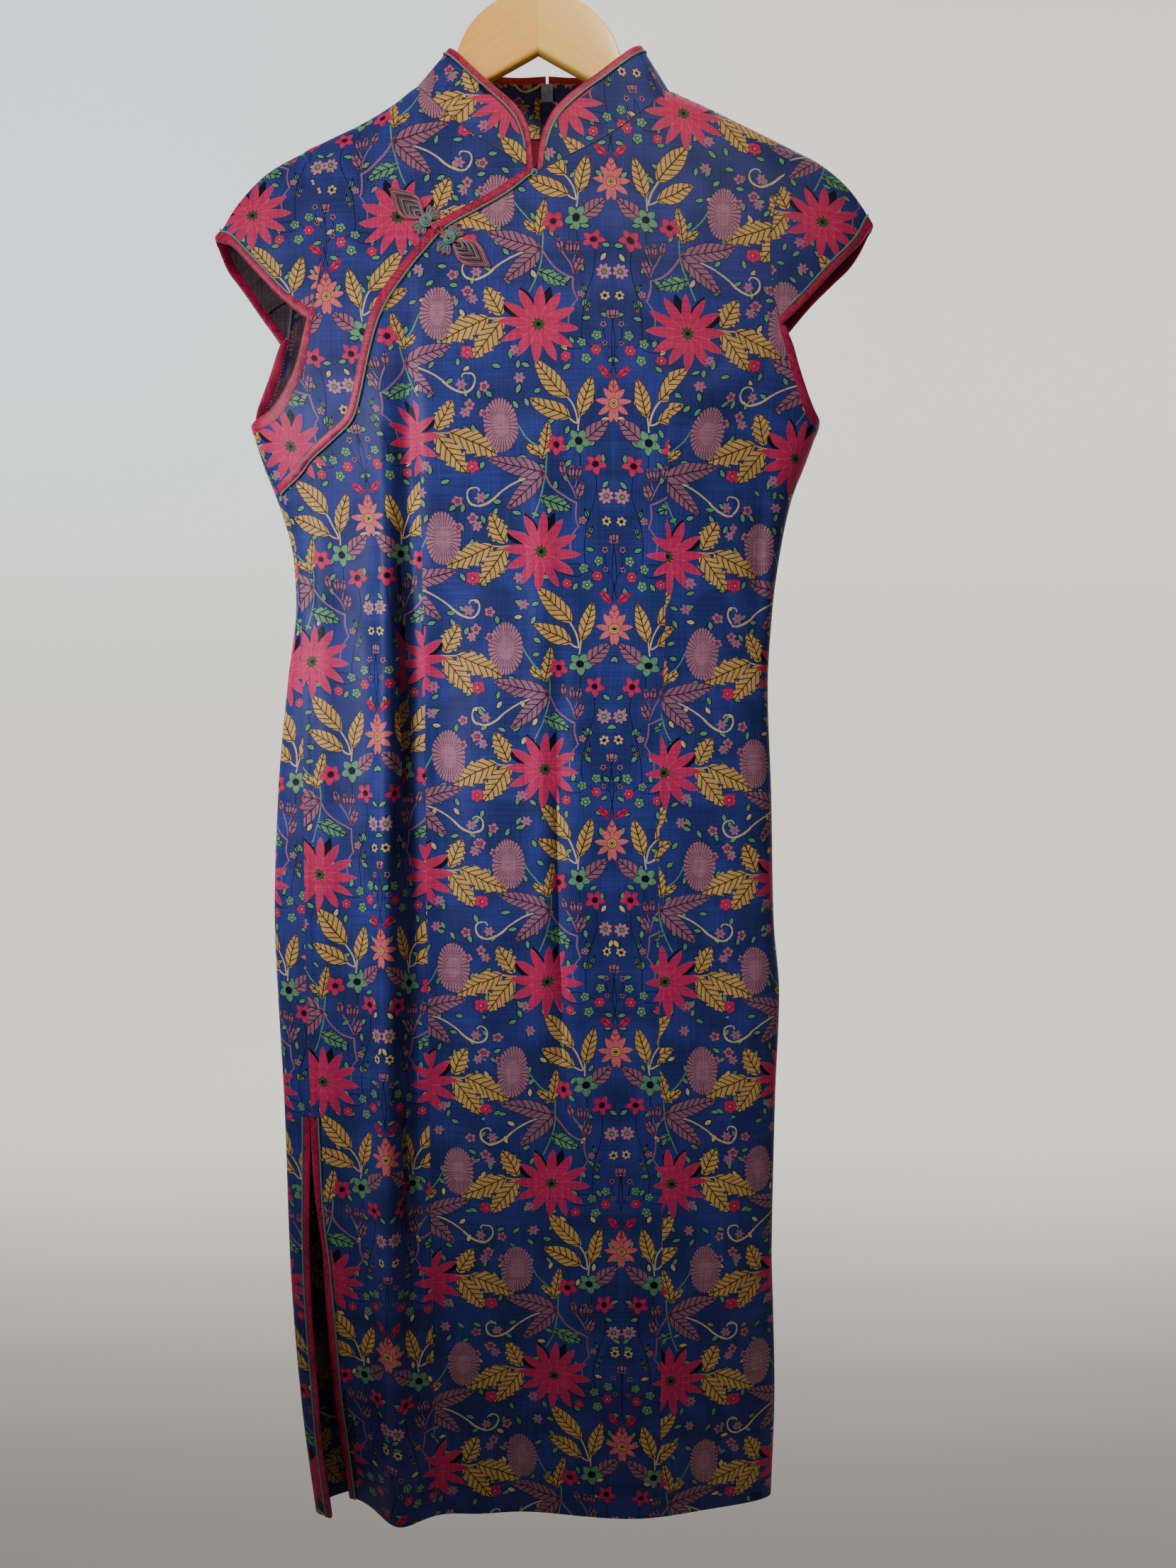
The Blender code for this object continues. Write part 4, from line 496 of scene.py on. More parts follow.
@dataclass(frozen=True)
class Cut:
    """Edges of every pattern piece, as x and z in metres, and the grids between them."""

    tube: Tube = Tube()
    hem_z: float = -1.202
    slit_top_z: float = -0.883
    armpit_z: float = -0.3765
    armpit_panel_z: float = -0.3826
    placket_end_z: float = -0.4267
    seam: float = 0.00002
    cloth: float = 0.0012
    binding: float = 0.0050
    piping: float = 0.0008
    slit_rows: int = 8
    side_rows: int = 11
    neck_rows: int = 5
    back_neck_rows: int = 7
    shoulder_columns: int = 4
    sleeve_rows: tuple[int, int, int, int] = (6, 6, 11, 6)
    hole_rows: tuple[int, int, int, int] = (3, 3, 7, 3)
    """Rows along each half sleeve seam and armhole binding, in the order of the tables below."""
    sleeve_ease: float = 1.4
    """How much closer together the rows of a sleeve seam come towards the shoulder."""
    side_fold_z: float = -0.402
    """Height above which the left side seam turns to the side fold."""
    crest_gap: float = 1e-5
    """How far below the shoulder line a panel ends."""
    sleeve_gap: float = 1e-4
    tip_row: int = 5
    """Gap at the sleeve seam, and the row of a sleeve's tip in the tables of its hem."""
    collar_over: float = 0.0004
    collar_start: float = 0.0015
    collar_lean: float = 0.0009
    """How far a collar laps its seam, how wide it is where its bands start, and its lean at the zip."""
    underlap_shares: tuple[float, ...] = (0.0, 0.14, 0.42, 0.68, 0.87, 0.96, 1.0)
    underlap_neck: tuple[float, ...] = (0.0, 0.056, 0.36, 0.62, 0.83, 0.94, 1.0)
    sleeve_shares: tuple[float, ...] = (0.0, 0.22, 0.48, 0.75, 1.0)
    left_seam: Table = ((-0.883, -0.1680), (-0.740, -0.1690), (-0.600, -0.1685), (-0.478, -0.1712),
                        (-0.4267, -0.1815), (-0.400, -0.1960))
    slit_front_left: Table = ((-1.202, -0.1500), (-1.108, -0.1585), (-1.020, -0.1603),
                              (-0.986, -0.1621), (-0.916, -0.1672), (-0.883, -0.1680))
    slit_back_left: Table = ((-1.202, -0.1592), (-1.135, -0.1656), (-1.067, -0.1686),
                             (-1.0215, -0.1709), (-0.988, -0.1710), (-0.917, -0.1690),
                             (-0.883, -0.1680))
    right_seam: Table = ((-1.202, 109.0), (-0.883, 108.0), (-0.600, 107.0), (-0.460, 98.0),
                         (-0.3826, 90.0))
    slit_spread_right: float = 3.0
    centre_back: Table = ((-1.202, 0.004), (-0.500, 0.004), (-0.162, 0.008), (-0.100, 0.008))
    neck_front_left: Table = ((0.0010, -0.2085), (-0.0068, -0.2030), (-0.0244, -0.1922),
                              (-0.0428, -0.1811), (-0.0600, -0.1671), (-0.0755, -0.1506),
                              (-0.0823, -0.1426))
    neck_front_right: Table = ((0.0010, -0.2085), (0.0067, -0.2060), (0.0212, -0.1985),
                               (0.0422, -0.1878), (0.0637, -0.1749), (0.0790, -0.1618),
                               (0.0890, -0.1520), (0.0945, -0.1445))
    neck_back_left: Table = ((-0.0823, -0.1426), (-0.0770, -0.1475), (-0.0600, -0.1545),
                             (-0.0350, -0.1600), (0.0080, -0.1620))
    neck_back_right: Table = ((0.0945, -0.1445), (0.0880, -0.1490), (0.0720, -0.1550),
                              (0.0450, -0.1600), (0.0080, -0.1620))
    placket: Table = ((-0.1800, -0.4267), (-0.1672, -0.4158), (-0.1576, -0.4055), (-0.1445, -0.3943),
                      (-0.1315, -0.3855), (-0.1231, -0.3734), (-0.1169, -0.3481), (-0.1109, -0.3224),
                      (-0.1024, -0.2999), (-0.0895, -0.2795), (-0.0697, -0.2568), (-0.0586, -0.2452),
                      (-0.0270, -0.2289), (-0.0055, -0.2140), (0.0010, -0.2085))
    sleeve_seams: tuple[Table, Table, Table, Table] = (
        ((-0.1544, -0.3026), (-0.1503, -0.2824), (-0.1474, -0.2664), (-0.1458, -0.2511),
         (-0.1470, -0.2361), (-0.1535, -0.2108), (-0.1590, -0.1965), (-0.1630, -0.1866)),
        ((-0.1820, -0.3100), (-0.1795, -0.2907), (-0.1745, -0.2600), (-0.1690, -0.2250),
         (-0.1648, -0.1970), (-0.1630, -0.1866)),
        ((0.1714, -0.3064), (0.1678, -0.2928), (0.1652, -0.2709), (0.1656, -0.2488),
         (0.1695, -0.2251), (0.1778, -0.2010), (0.1840, -0.1855)),
        ((0.1797, -0.3020), (0.1787, -0.2907), (0.1772, -0.2600), (0.1785, -0.2250),
         (0.1822, -0.1960), (0.1840, -0.1855)))
    """Sleeve seams from the armhole binding up: left front, left back, right front, right back."""
    hole_panels: tuple[Table, Table, Table, Table] = (
        ((-0.1544, -0.3026), (-0.1550, -0.3078), (-0.1572, -0.3187), (-0.1601, -0.3337),
         (-0.1657, -0.3487), (-0.1740, -0.3619), (-0.1842, -0.3736), (-0.1945, -0.3810)),
        ((-0.1820, -0.3100), (-0.1836, -0.3155), (-0.1880, -0.3310), (-0.1960, -0.3570)),
        ((0.1714, -0.3064), (0.1733, -0.3140), (0.1778, -0.3270), (0.1830, -0.3430),
         (0.1885, -0.3570), (0.1945, -0.3715)),
        ((0.1797, -0.3020), (0.1812, -0.3110), (0.1860, -0.3270), (0.1950, -0.3570)))
    """Cut edges of the panels under the armhole bindings, in the same order."""
    hole_edges: tuple[Table, Table, Table, Table] = (
        ((-0.1597, -0.3100), (-0.1618, -0.3210), (-0.1650, -0.3330), (-0.1711, -0.3460),
         (-0.1785, -0.3570), (-0.1877, -0.3675), (-0.1979, -0.3748)),
        ((-0.1884, -0.3170), (-0.1930, -0.3305), (-0.2003, -0.3540)),
        ((0.1778, -0.3142), (0.1829, -0.3255), (0.1880, -0.3410), (0.1935, -0.3545),
         (0.1990, -0.3660)),
        ((0.1858, -0.3120), (0.1908, -0.3270), (0.1997, -0.3540)))
    """Finished edges of the armhole bindings, in the same order."""
    sleeve_cloth: tuple[tuple[tuple[float, float | None], ...], ...] = (
        ((-0.1552, -0.3028), (-0.1612, -0.2985), (-0.1765, -0.2860), (-0.1948, -0.2668),
         (-0.2115, -0.2490), (-0.2240, None), (-0.2195, -0.2580), (-0.2060, -0.2787),
         (-0.1925, -0.2985), (-0.1844, -0.3100)),
        ((0.1727, -0.3062), (0.1765, -0.3017), (0.1900, -0.2880), (0.2090, -0.2670),
         (0.2255, -0.2500), (0.2372, None), (0.2255, -0.2570), (0.2120, -0.2700),
         (0.1960, -0.2855), (0.1812, -0.3032)))
    """Cloth edges of the sleeve hems from front to back; the tip has no height of its own."""
    sleeve_finished: tuple[tuple[tuple[float, float | None], ...], ...] = (
        ((-0.1583, -0.3086), (-0.1642, -0.3044), (-0.1800, -0.2902), (-0.1984, -0.2708),
         (-0.2150, -0.2532), (-0.2289, None), (-0.2238, -0.2610), (-0.2103, -0.2817),
         (-0.1968, -0.3015), (-0.1884, -0.3135)),
        ((0.1739, -0.3112), (0.1795, -0.3058), (0.1935, -0.2915), (0.2126, -0.2706),
         (0.2297, -0.2530), (0.2418, None), (0.2300, -0.2600), (0.2163, -0.2732),
         (0.2000, -0.2890), (0.1850, -0.3065)))
    """Finished edges of the sleeve hems in the same order."""
    collar_top: tuple[Table, Table] = (
        ((0.0004, -0.0235, -0.2080), (-0.0002, -0.0226, -0.1983), (-0.0010, -0.0218, -0.1883),
         (-0.0036, -0.0205, -0.1767), (-0.0096, -0.0190, -0.1649), (-0.0186, -0.0170, -0.1552),
         (-0.0310, -0.0145, -0.1441), (-0.0446, -0.0118, -0.1310), (-0.0540, -0.0088, -0.1212),
         (-0.0589, 0.0000, -0.1159)),
        ((0.0026, -0.0235, -0.2080), (0.0032, -0.0226, -0.1969), (0.0052, -0.0218, -0.1855),
         (0.0095, -0.0205, -0.1722), (0.0168, -0.0190, -0.1621), (0.0290, -0.0170, -0.1505),
         (0.0437, -0.0145, -0.1393), (0.0592, -0.0118, -0.1267), (0.0690, -0.0088, -0.1187),
         (0.0746, 0.0000, -0.1140)))
    """Top edge of the collar from the foot of the V to the side, as x, y and z."""
    collar_back: tuple[Table, Table] = (
        ((-0.0589, 0.0000, -0.1159), (-0.0575, 0.0110, -0.1166), (-0.0480, 0.0230, -0.1178),
         (-0.0270, 0.0325, -0.1182), (-0.0080, 0.0352, -0.1176), (0.0070, 0.0355, -0.1165)),
        ((0.0746, 0.0000, -0.1140), (0.0730, 0.0110, -0.1150), (0.0630, 0.0230, -0.1175),
         (0.0420, 0.0325, -0.1182), (0.0240, 0.0352, -0.1176), (0.0090, 0.0355, -0.1165)))
    """Top edge of the collar from the side to the centre back, as x, y and z."""

    @property
    def fold(self) -> float:
        """Ring coordinate of the side fold."""
        return float(self.tube.place_of(np.array(math.pi / 2.0)))

    @property
    def turn(self) -> float:
        """Half a seam gap as a ring coordinate."""
        return self.seam / 2.0 / self.tube.half_width

    def heights(self, top: float) -> Array:
        """Heights of the rows from the hem past the slit's top to a level."""
        along = np.linspace(0.0, 1.0, self.side_rows + 1)
        above = self.slit_top_z + (top - self.slit_top_z) * along * (1.25 - 0.25 * along)
        low = np.linspace(self.hem_z, self.slit_top_z, self.slit_rows + 1)
        return np.concatenate((low, above[1:]))

    @staticmethod
    def front_columns() -> Array:
        """Fractions of the way across the front."""
        return np.concatenate(((0.0,), np.linspace(0.0125, 0.30, 9), np.linspace(0.30, 0.875, 8)[1:],
                               np.linspace(0.875, 0.9865, 5)[1:], (1.0,)))

    @staticmethod
    def back_columns() -> Array:
        """Fractions of the way from the zip to the side of a back half."""
        return np.array((0.0, 0.031, 0.13, 0.26, 0.39, 0.51, 0.61, 0.70, 0.765, 0.82, 0.865, 0.91,
                         0.979, 1.0))

    def left_edge(self, z: Array, slit: Table) -> Array:
        """The left side seam, and below it one edge of the slit, as ring coordinates."""
        seam, edge = np.array(self.left_seam), np.array(slit)
        x = np.where(z < self.slit_top_z, through(edge[:, 0], edge[:, 1], z),
                     through(seam[:, 0], seam[:, 1], z))
        place = self.tube.on_side(np.stack((x, z), 1))[:, 0]
        top = smooth((z - self.side_fold_z) / (self.armpit_panel_z - self.side_fold_z))
        return place + (-self.fold - place) * top

    def right_edge(self, z: Array, apart: float) -> Array:
        """The right side seam, and below it one edge of the slit, as ring coordinates."""
        rows = np.array(self.right_seam)
        angle = through(rows[:, 0], rows[:, 1], z)
        open_part = smooth((self.slit_top_z - z) / (self.slit_top_z - self.hem_z))
        return self.tube.place_of(np.radians(angle + apart * self.slit_spread_right * open_part))

    def middle_back(self, z: Array, side: int, off: float) -> Array:
        """The centre back seam as ring coordinates and heights, moved off to one side."""
        rows = np.array(self.centre_back)
        x = through(rows[:, 0], rows[:, 1], z) + side * off
        return self.tube.on_side(np.stack((x, z), 1), side)

    @staticmethod
    def half(side: int, back: int) -> int:
        """Place of a half sleeve in the tables."""
        return 2 * (side > 0) + (back != 0)

    def seam_rows(self, side: int, back: int) -> int:
        """Number of rows along one half of a sleeve seam."""
        return self.sleeve_rows[self.half(side, back)]

    def hole(self, side: int, back: int) -> tuple[Array, Array]:
        """Both long edges of an armhole binding, from the armpit to just below the sleeve."""
        panel = self.hole_panels[self.half(side, back)]
        edge = self.hole_edges[self.half(side, back)]
        rows = self.hole_rows[self.half(side, back)]
        inner = np.concatenate(([(side * self.fold, self.armpit_panel_z)],
                                self.tube.on_side(panel[:0:-1], back)))
        outer = np.concatenate(([(side * self.fold, self.armpit_z)],
                                self.tube.on_side(edge[::-1], back)))
        return self.tube.even(inner, rows + 1), self.tube.even(outer, rows + 1)

    def armhole(self, side: int, back: int) -> Array:
        """A panel's armhole from the armpit along the binding and the sleeve to the shoulder."""
        seam = self.sleeve_seams[self.half(side, back)]
        count = self.seam_rows(side, back) + 1
        upper = self.tube.even(self.tube.on_side(seam, back), count, self.sleeve_ease)
        return np.concatenate((self.hole(side, back)[0], upper))

    def shoulder(self, back: int, count: int, side: int, outward: bool) -> Array:
        """Points just in front of or behind the shoulder line, from the neck out or back in."""
        neck = self.neck_front_left if side < 0 else self.neck_front_right
        ends = (self.sleeve_seams[self.half(side, 0)][-1][0], neck[-1][0])
        x = np.linspace(*(ends[::-1] if outward else ends), count)
        return self.tube.on_side(np.stack((x, self.tube.ridge(x) - self.crest_gap), 1), back)

    def front(self) -> Array:
        """Grid of the front, from the placket across to the right armhole and down to the hem."""
        tube, gap = self.tube, self.seam / 2
        left_z, right_z = self.heights(self.placket_end_z), self.heights(self.armpit_panel_z)
        left = np.stack((self.left_edge(left_z, self.slit_front_left) + self.turn, left_z), 1)
        right = np.stack((self.right_edge(right_z, -1.0) - self.turn, right_z), 1)
        lower = between(left, right, self.front_columns()).transpose(1, 0, 2)
        hole = tube.moved(self.armhole(1, 0), gap)
        placket = tube.even(tube.on_side(self.placket), len(hole) - self.neck_rows)
        neck = tube.even(tube.on_side(self.neck_front_right), self.neck_rows + 1)
        inner = tube.moved(np.concatenate((placket, neck[1:])), -gap)
        top = tube.moved(self.shoulder(0, len(self.front_columns()), 1, True), -gap)
        inner[0], hole[0] = left[-1], right[-1]
        top[0], top[-1] = inner[-1], hole[-1]
        return np.concatenate((lower, tube.inside(inner, hole, lower[-1], top)[1:]))

    def underlap_heights(self) -> Array:
        """Heights of the underlap's rows at the side seam."""
        return self.placket_end_z + (self.armpit_panel_z - self.placket_end_z) * np.array(
            self.underlap_shares)

    def underlap(self) -> Array:
        """Grid of the upper left front; its second row is the edge of the placket's binding."""
        tube, gap = self.tube, self.seam / 2
        shoulder = self.shoulder(0, self.shoulder_columns + 1, -1, False)[1:]
        upper = tube.moved(np.concatenate((self.armhole(-1, 0), shoulder)), -gap)
        scale = (tube.half_width, 1.0)
        neck = tube.on_side(self.neck_front_left) * scale
        neck = tube.moved(at_shares(neck, np.array(self.underlap_neck)) / scale, gap)
        line = tube.even(tube.on_side(self.placket), len(upper))
        lower, edge = tube.moved(line, gap), tube.moved(line, self.piping + self.seam + self.binding)
        side_z = self.underlap_heights()
        side = np.stack((self.left_edge(side_z, self.slit_front_left) + self.turn, side_z), 1)
        side[0, 1] += self.seam
        lower[0], edge[0], upper[0] = side[0], side[1], side[-1]
        lower[-1], edge[-1], neck[-1] = neck[0], neck[1], upper[-1]
        return np.concatenate((lower[None], tube.inside(side[1:], neck[1:], edge, upper)))

    def back(self, side: int) -> Array:
        """Grid of one back half, from the centre back round to the side seam."""
        tube = self.tube
        if side < 0:
            outer_z = np.concatenate((self.heights(self.placket_end_z), self.underlap_heights()[1:]))
            outer = self.left_edge(outer_z, self.slit_back_left) - self.turn
        else:
            outer_z = self.heights(self.armpit_panel_z)
            outer = self.right_edge(outer_z, 1.0) + self.turn
        inner = self.middle_back(outer_z, side, self.seam / 2)
        lower = between(inner, np.stack((outer, outer_z), 1), self.back_columns()).transpose(1, 0, 2)
        hole = tube.moved(self.armhole(side, side), -side * self.seam / 2)
        neck = (self.neck_back_left if side < 0 else self.neck_back_right)[::-1]
        neck = tube.even(tube.on_side(neck, side), self.back_neck_rows + 1)
        shoulder = self.shoulder(side, len(self.back_columns()) - self.back_neck_rows, side, True)
        top = np.concatenate((neck, shoulder[1:]))
        top = tube.moved(top, side * self.seam / 2)
        rise_z = np.linspace(self.armpit_panel_z, float(top[0, 1]), len(hole))
        rise = self.middle_back(rise_z, side, self.seam / 2)
        hole[0], rise[0] = lower[-1, -1], lower[-1, 0]
        top[0], top[-1] = rise[-1], hole[-1]
        return np.concatenate((lower, tube.inside(rise, hole, lower[-1], top)[1:]))

    def over_shoulder(self, table: Sequence[tuple[float, float | None]]) -> Array:
        """Points as x and signed drop below the shoulder line: front negative, back positive."""
        path, behind = [], False
        for x, z in table:
            if z is None:
                path.append((x, 0.0))
                behind = True
            else:
                drop = float(self.tube.ridge(np.array(x))) - z
                path.append((x, drop if behind else -drop))
        return np.array(path)

    def sleeve_at(self, path: Array, out: Array | float = 0.0) -> Array:
        """Points on the sleeve from x and signed drop."""
        place, z = self.sleeve_place(path)
        return self.tube.at(place, z, out)

    def sleeve_place(self, path: Array) -> tuple[Array, Array]:
        """Ring coordinates and heights of points given as x and signed drop."""
        x, drop = path[..., 0], path[..., 1]
        z = self.tube.ridge(x) - np.abs(drop)
        front = self.tube.on_side(np.stack((x.ravel(), z.ravel()), 1))[:, 0].reshape(x.shape)
        behind = np.sign(x) * 2.0 * self.fold - front
        return np.where(drop > 0, behind, front), z

    def sleeve_lines(self, side: int) -> tuple[Array, Array, Array]:
        """Seam, cloth edge and finished edge of a sleeve with matching points."""
        front_count, back_count = self.seam_rows(side, 0) + 1, self.seam_rows(side, side) + 1
        halves = []
        for back, count in ((0, front_count), (side, back_count)):
            seam = self.sleeve_seams[self.half(side, back)]
            points = self.tube.even(self.tube.on_side(seam, back), count, self.sleeve_ease)
            x = self.tube.form(points[:, 0], points[:, 1], False)[:, 0]
            drop = self.tube.ridge(x) - points[:, 1]
            drop[-1] = 0.0
            halves.append(np.stack((x, drop if back else -drop), 1))
        seam = shifted(np.concatenate((halves[0], halves[1][-2::-1])), -side * self.sleeve_gap)
        hems = []
        for tables in (self.sleeve_cloth, self.sleeve_finished):
            path = self.over_shoulder(tables[0 if side < 0 else 1])
            first = at_shares(path[:self.tip_row + 1], eased(front_count, self.sleeve_ease))
            second = at_shares(path[:self.tip_row - 1:-1], eased(back_count, self.sleeve_ease))
            hems.append(np.concatenate((first, second[-2::-1])))
        return seam, hems[0], hems[1]

    def collar_lines(self, side: int) -> tuple[Array, Array]:
        """Neck edge and top edge of half a collar, from the V's foot to the centre back."""
        row, tube = (0 if side < 0 else 1), self.tube
        front_count, back_count, finely = 10, 6, 40
        front = tube.even(tube.on_side((self.neck_front_left, self.neck_front_right)[row]), 60)
        back = tube.even(tube.on_side((self.neck_back_left, self.neck_back_right)[row], side), finely)
        base_front, base_back = tube.at(front[:, 0], front[:, 1]), tube.at(back[:, 0], back[:, 1])
        base_back[:, 0] += side * self.collar_lean * np.linspace(0.0, 1.0, finely) ** 4
        lines = ((base_front, base_back), (self.collar_top[row], self.collar_back[row]))
        base, top = (np.concatenate((spread(first, front_count), spread(second, back_count)[1:]))
                     for first, second in lines)
        return finer(base, 8), finer(top, 8)

    def collar_band(self, side: int, low: float | None, high: float, rows: int) -> tuple[Array, Array]:
        """Part of a collar between two distances below its top edge, and its normals.

        It starts where the collar is that wide. A low of None is the neck seam.
        """
        base, top = self.collar_lines(side)
        width = np.linalg.norm(top - base, axis=1)[:, None]
        down = (base - top) / width
        deepest = width + self.collar_over
        lowest = deepest if low is None else np.minimum(low, deepest)
        first = int(np.argmax(deepest[:, 0] > high + self.collar_start))
        points = between(top + down * lowest, top + down * high, np.linspace(0.0, 1.0, rows + 1))
        normal = unit(np.cross(np.gradient(base + top, axis=0), top - base) * side)
        return points[:, first:], np.broadcast_to(normal, points.shape)[:, first:]


# ---------------------------------------------------------------- meshes
MAP = "weave"
FINE_MERGE = 1e-7
ROUND = 180.0
"""The pieces' map, the merging distance of thin pieces, and an angle that keeps nothing sharp."""


def lengths_along(points: Array, axis: int) -> Array:
    """Distance from the first row or column to each point of a grid."""
    steps = np.linalg.norm(np.diff(points, axis=axis), axis=-1)
    start = np.zeros_like(np.take(steps, [0], axis=axis))
    return np.concatenate((start, np.cumsum(steps, axis=axis)), axis=axis)


def make_mesh(name: str, points: Array, faces: Array, uv: Array | None = None,
              merge: float = 1e-6, sharp: float = 50.0) -> bpy.types.Object:
    """A smooth-shaded piece from points and quads, merged where edges meet in a point.

    Args:
        name: Name of the piece, which is called fine_ and this.
        points: One row of x, y and z for each point.
        faces: One row of four places for each face.
        uv: One row of two numbers for each point, in metres, or none.
        merge: Points nearer than this become one.
        sharp: Edges that turn by more degrees than this stay sharp.

    Returns:
        The new object, linked to the scene.
    """
    mesh = bpy.data.meshes.new(name)
    mesh.vertices.add(len(points))
    mesh.vertices.foreach_set("co", np.ascontiguousarray(points, np.float32).ravel())
    mesh.loops.add(faces.size)
    mesh.loops.foreach_set("vertex_index", faces.ravel().astype(np.int32))
    mesh.polygons.add(len(faces))
    mesh.polygons.foreach_set("loop_start", np.arange(0, faces.size, faces.shape[1], dtype=np.int32))
    mesh.update(calc_edges=True)
    if uv is not None:
        layer = mesh.uv_layers.new(name=MAP)
        layer.data.foreach_set("uv", uv[faces.ravel()].astype(np.float32).ravel())
    work = bmesh.new()
    work.from_mesh(mesh)
    bmesh.ops.remove_doubles(work, verts=work.verts, dist=merge)
    bmesh.ops.dissolve_degenerate(work, edges=work.edges, dist=1e-7)
    bmesh.ops.recalc_face_normals(work, faces=work.faces)
    work.to_mesh(mesh)
    work.free()
    mesh.shade_smooth()
    mesh.set_sharp_from_angle(angle=math.radians(sharp))
    piece = bpy.data.objects.new(f"fine_{name}", mesh)
    bpy.context.scene.collection.objects.link(piece)
    return piece


def quads(rows: int, columns: int, start: int = 0, closed: bool = False) -> Array:
    """Quads of a grid listed row by row; closed joins the last column to the first."""
    i, j = np.meshgrid(np.arange(rows - 1), np.arange(columns if closed else columns - 1),
                       indexing="ij")
    after = (j + 1) % columns
    first = start + i * columns
    return np.stack((first + j, first + after, first + columns + after, first + columns + j),
                    -1).reshape(-1, 4)


def fans(count: int, around: int) -> tuple[Array, Array]:
    """Faces that close both ends of a pipe of rings with two points, listed after the rings."""
    low, high = np.arange(around), (count - 1) * around + np.arange(around)
    head, tail = np.full(around, count * around), np.full(around, count * around + 1)
    return (np.stack((np.roll(low, -1), low, head, head), -1),
            np.stack((high, np.roll(high, -1), tail, tail), -1))


def shell(name: str, under: Array, over: Array, uv: Array | None = None) -> bpy.types.Object:
    """A closed piece of cloth between two grids of the same size, with a rim all round."""
    rows, columns = under.shape[:2]
    count = rows * columns
    grid = np.arange(count).reshape(rows, columns)
    loop = np.concatenate((grid[0, :-1], grid[:-1, -1], grid[-1, :0:-1], grid[:0:-1, 0]))
    after = np.roll(loop, -1)
    rim = np.stack((loop, after, after + count, loop + count), -1)
    faces = np.concatenate((quads(rows, columns)[:, ::-1], quads(rows, columns, count), rim))
    points = np.concatenate((under.reshape(-1, 3), over.reshape(-1, 3)))
    both = None if uv is None else np.concatenate((uv.reshape(-1, 2), uv.reshape(-1, 2)))
    return make_mesh(name, points, faces, both, 2e-5)


def tube_along(name: str, path: Array, radius: Array | float, around: int = 8, closed: bool = False,
               twist: float = 0.0, lobes: int = 0, depth: float = 0.0) -> bpy.types.Object:
    """A round cord carried along a path.

    Each ring lies square to the path, in a frame carried from ring to ring without turning.
    With lobes, the radius swells and sinks round the ring, and the swelling winds along.

    Args:
        name: Name of the piece.
        path: Points of the middle line.
        radius: Radius, or one for each point.
        around: Points in a ring.
        closed: Whether the path's end joins its start.
        twist: Length in which the lobes wind once round, or 0.
        lobes: Number of strands.
        depth: Share of the radius by which the gaps between strands sink.

    Returns:
        The piece, with a map of distance along and share of a turn round.
    """
    count = len(path)
    if closed:
        direction = unit(np.roll(path, -1, 0) - np.roll(path, 1, 0))
    else:
        direction = unit(np.gradient(path, axis=0))
    side = np.cross(direction[0], (0.0, 0.0, 1.0) if abs(direction[0, 2]) < 0.9 else (1.0, 0.0, 0.0))
    frames = np.empty((count, 3))
    for row in range(count):
        side = side - direction[row] * np.dot(side, direction[row])
        side = side / (np.linalg.norm(side) + 1e-12)
        frames[row] = side
    up = np.cross(direction, frames)
    steps = np.linalg.norm(np.diff(path, axis=0), axis=1)
    run = np.concatenate(([0.0], np.cumsum(steps)))
    angle = np.linspace(0.0, 2.0 * math.pi, around, endpoint=False)[None, :]
    size = np.broadcast_to(np.asarray(radius, float), (count,))[:, None]
    if lobes:
        wind = 2.0 * math.pi * run[:, None] / twist
        size = size * (1.0 - depth * (0.5 - 0.5 * np.cos(lobes * (angle - wind))))
    points = (path[:, None] + (size * np.cos(angle))[..., None] * frames[:, None]
              + (size * np.sin(angle))[..., None] * up[:, None])
    uv = np.stack(np.broadcast_arrays(run[:, None], angle / (2.0 * math.pi)), -1)
    faces = quads(count, around, 0, True)
    points, uv = points.reshape(-1, 3), uv.reshape(-1, 2)
    if closed:
        first, last = np.arange(around), (count - 1) * around + np.arange(around)
        join = np.stack((last, np.roll(last, -1), np.roll(first, -1), first), -1)
        faces = np.concatenate((faces, join))
    else:
        cap = 0.35 * float(size.mean())
        ends = np.stack((path[0] - direction[0] * cap, path[-1] + direction[-1] * cap))
        points = np.concatenate((points, ends))
        uv = np.concatenate((uv, ((0.0, 0.5), (run[-1], 0.5))))
        faces = np.concatenate((faces, *fans(count, around)))
    return make_mesh(name, points, faces, uv, FINE_MERGE, 80.0)


def loft_rings(name: str, rings: Array, uv: Array | None = None) -> bpy.types.Object:
    """A closed piece through rings of points, with a fan to the middle of each end."""
    count, around = rings.shape[:2]
    points = np.concatenate((rings.reshape(-1, 3), rings[0].mean(0)[None], rings[-1].mean(0)[None]))
    faces = np.concatenate((quads(count, around, 0, True), *fans(count, around)))
    if uv is not None:
        uv = np.concatenate((uv.reshape(-1, 2), uv[0].mean(0)[None], uv[-1].mean(0)[None]))
    return make_mesh(name, points, faces, uv, FINE_MERGE)


# ---------------------------------------------------------------- finishes
Socket = bpy.types.NodeSocket
Value = float | Sequence[float] | Socket


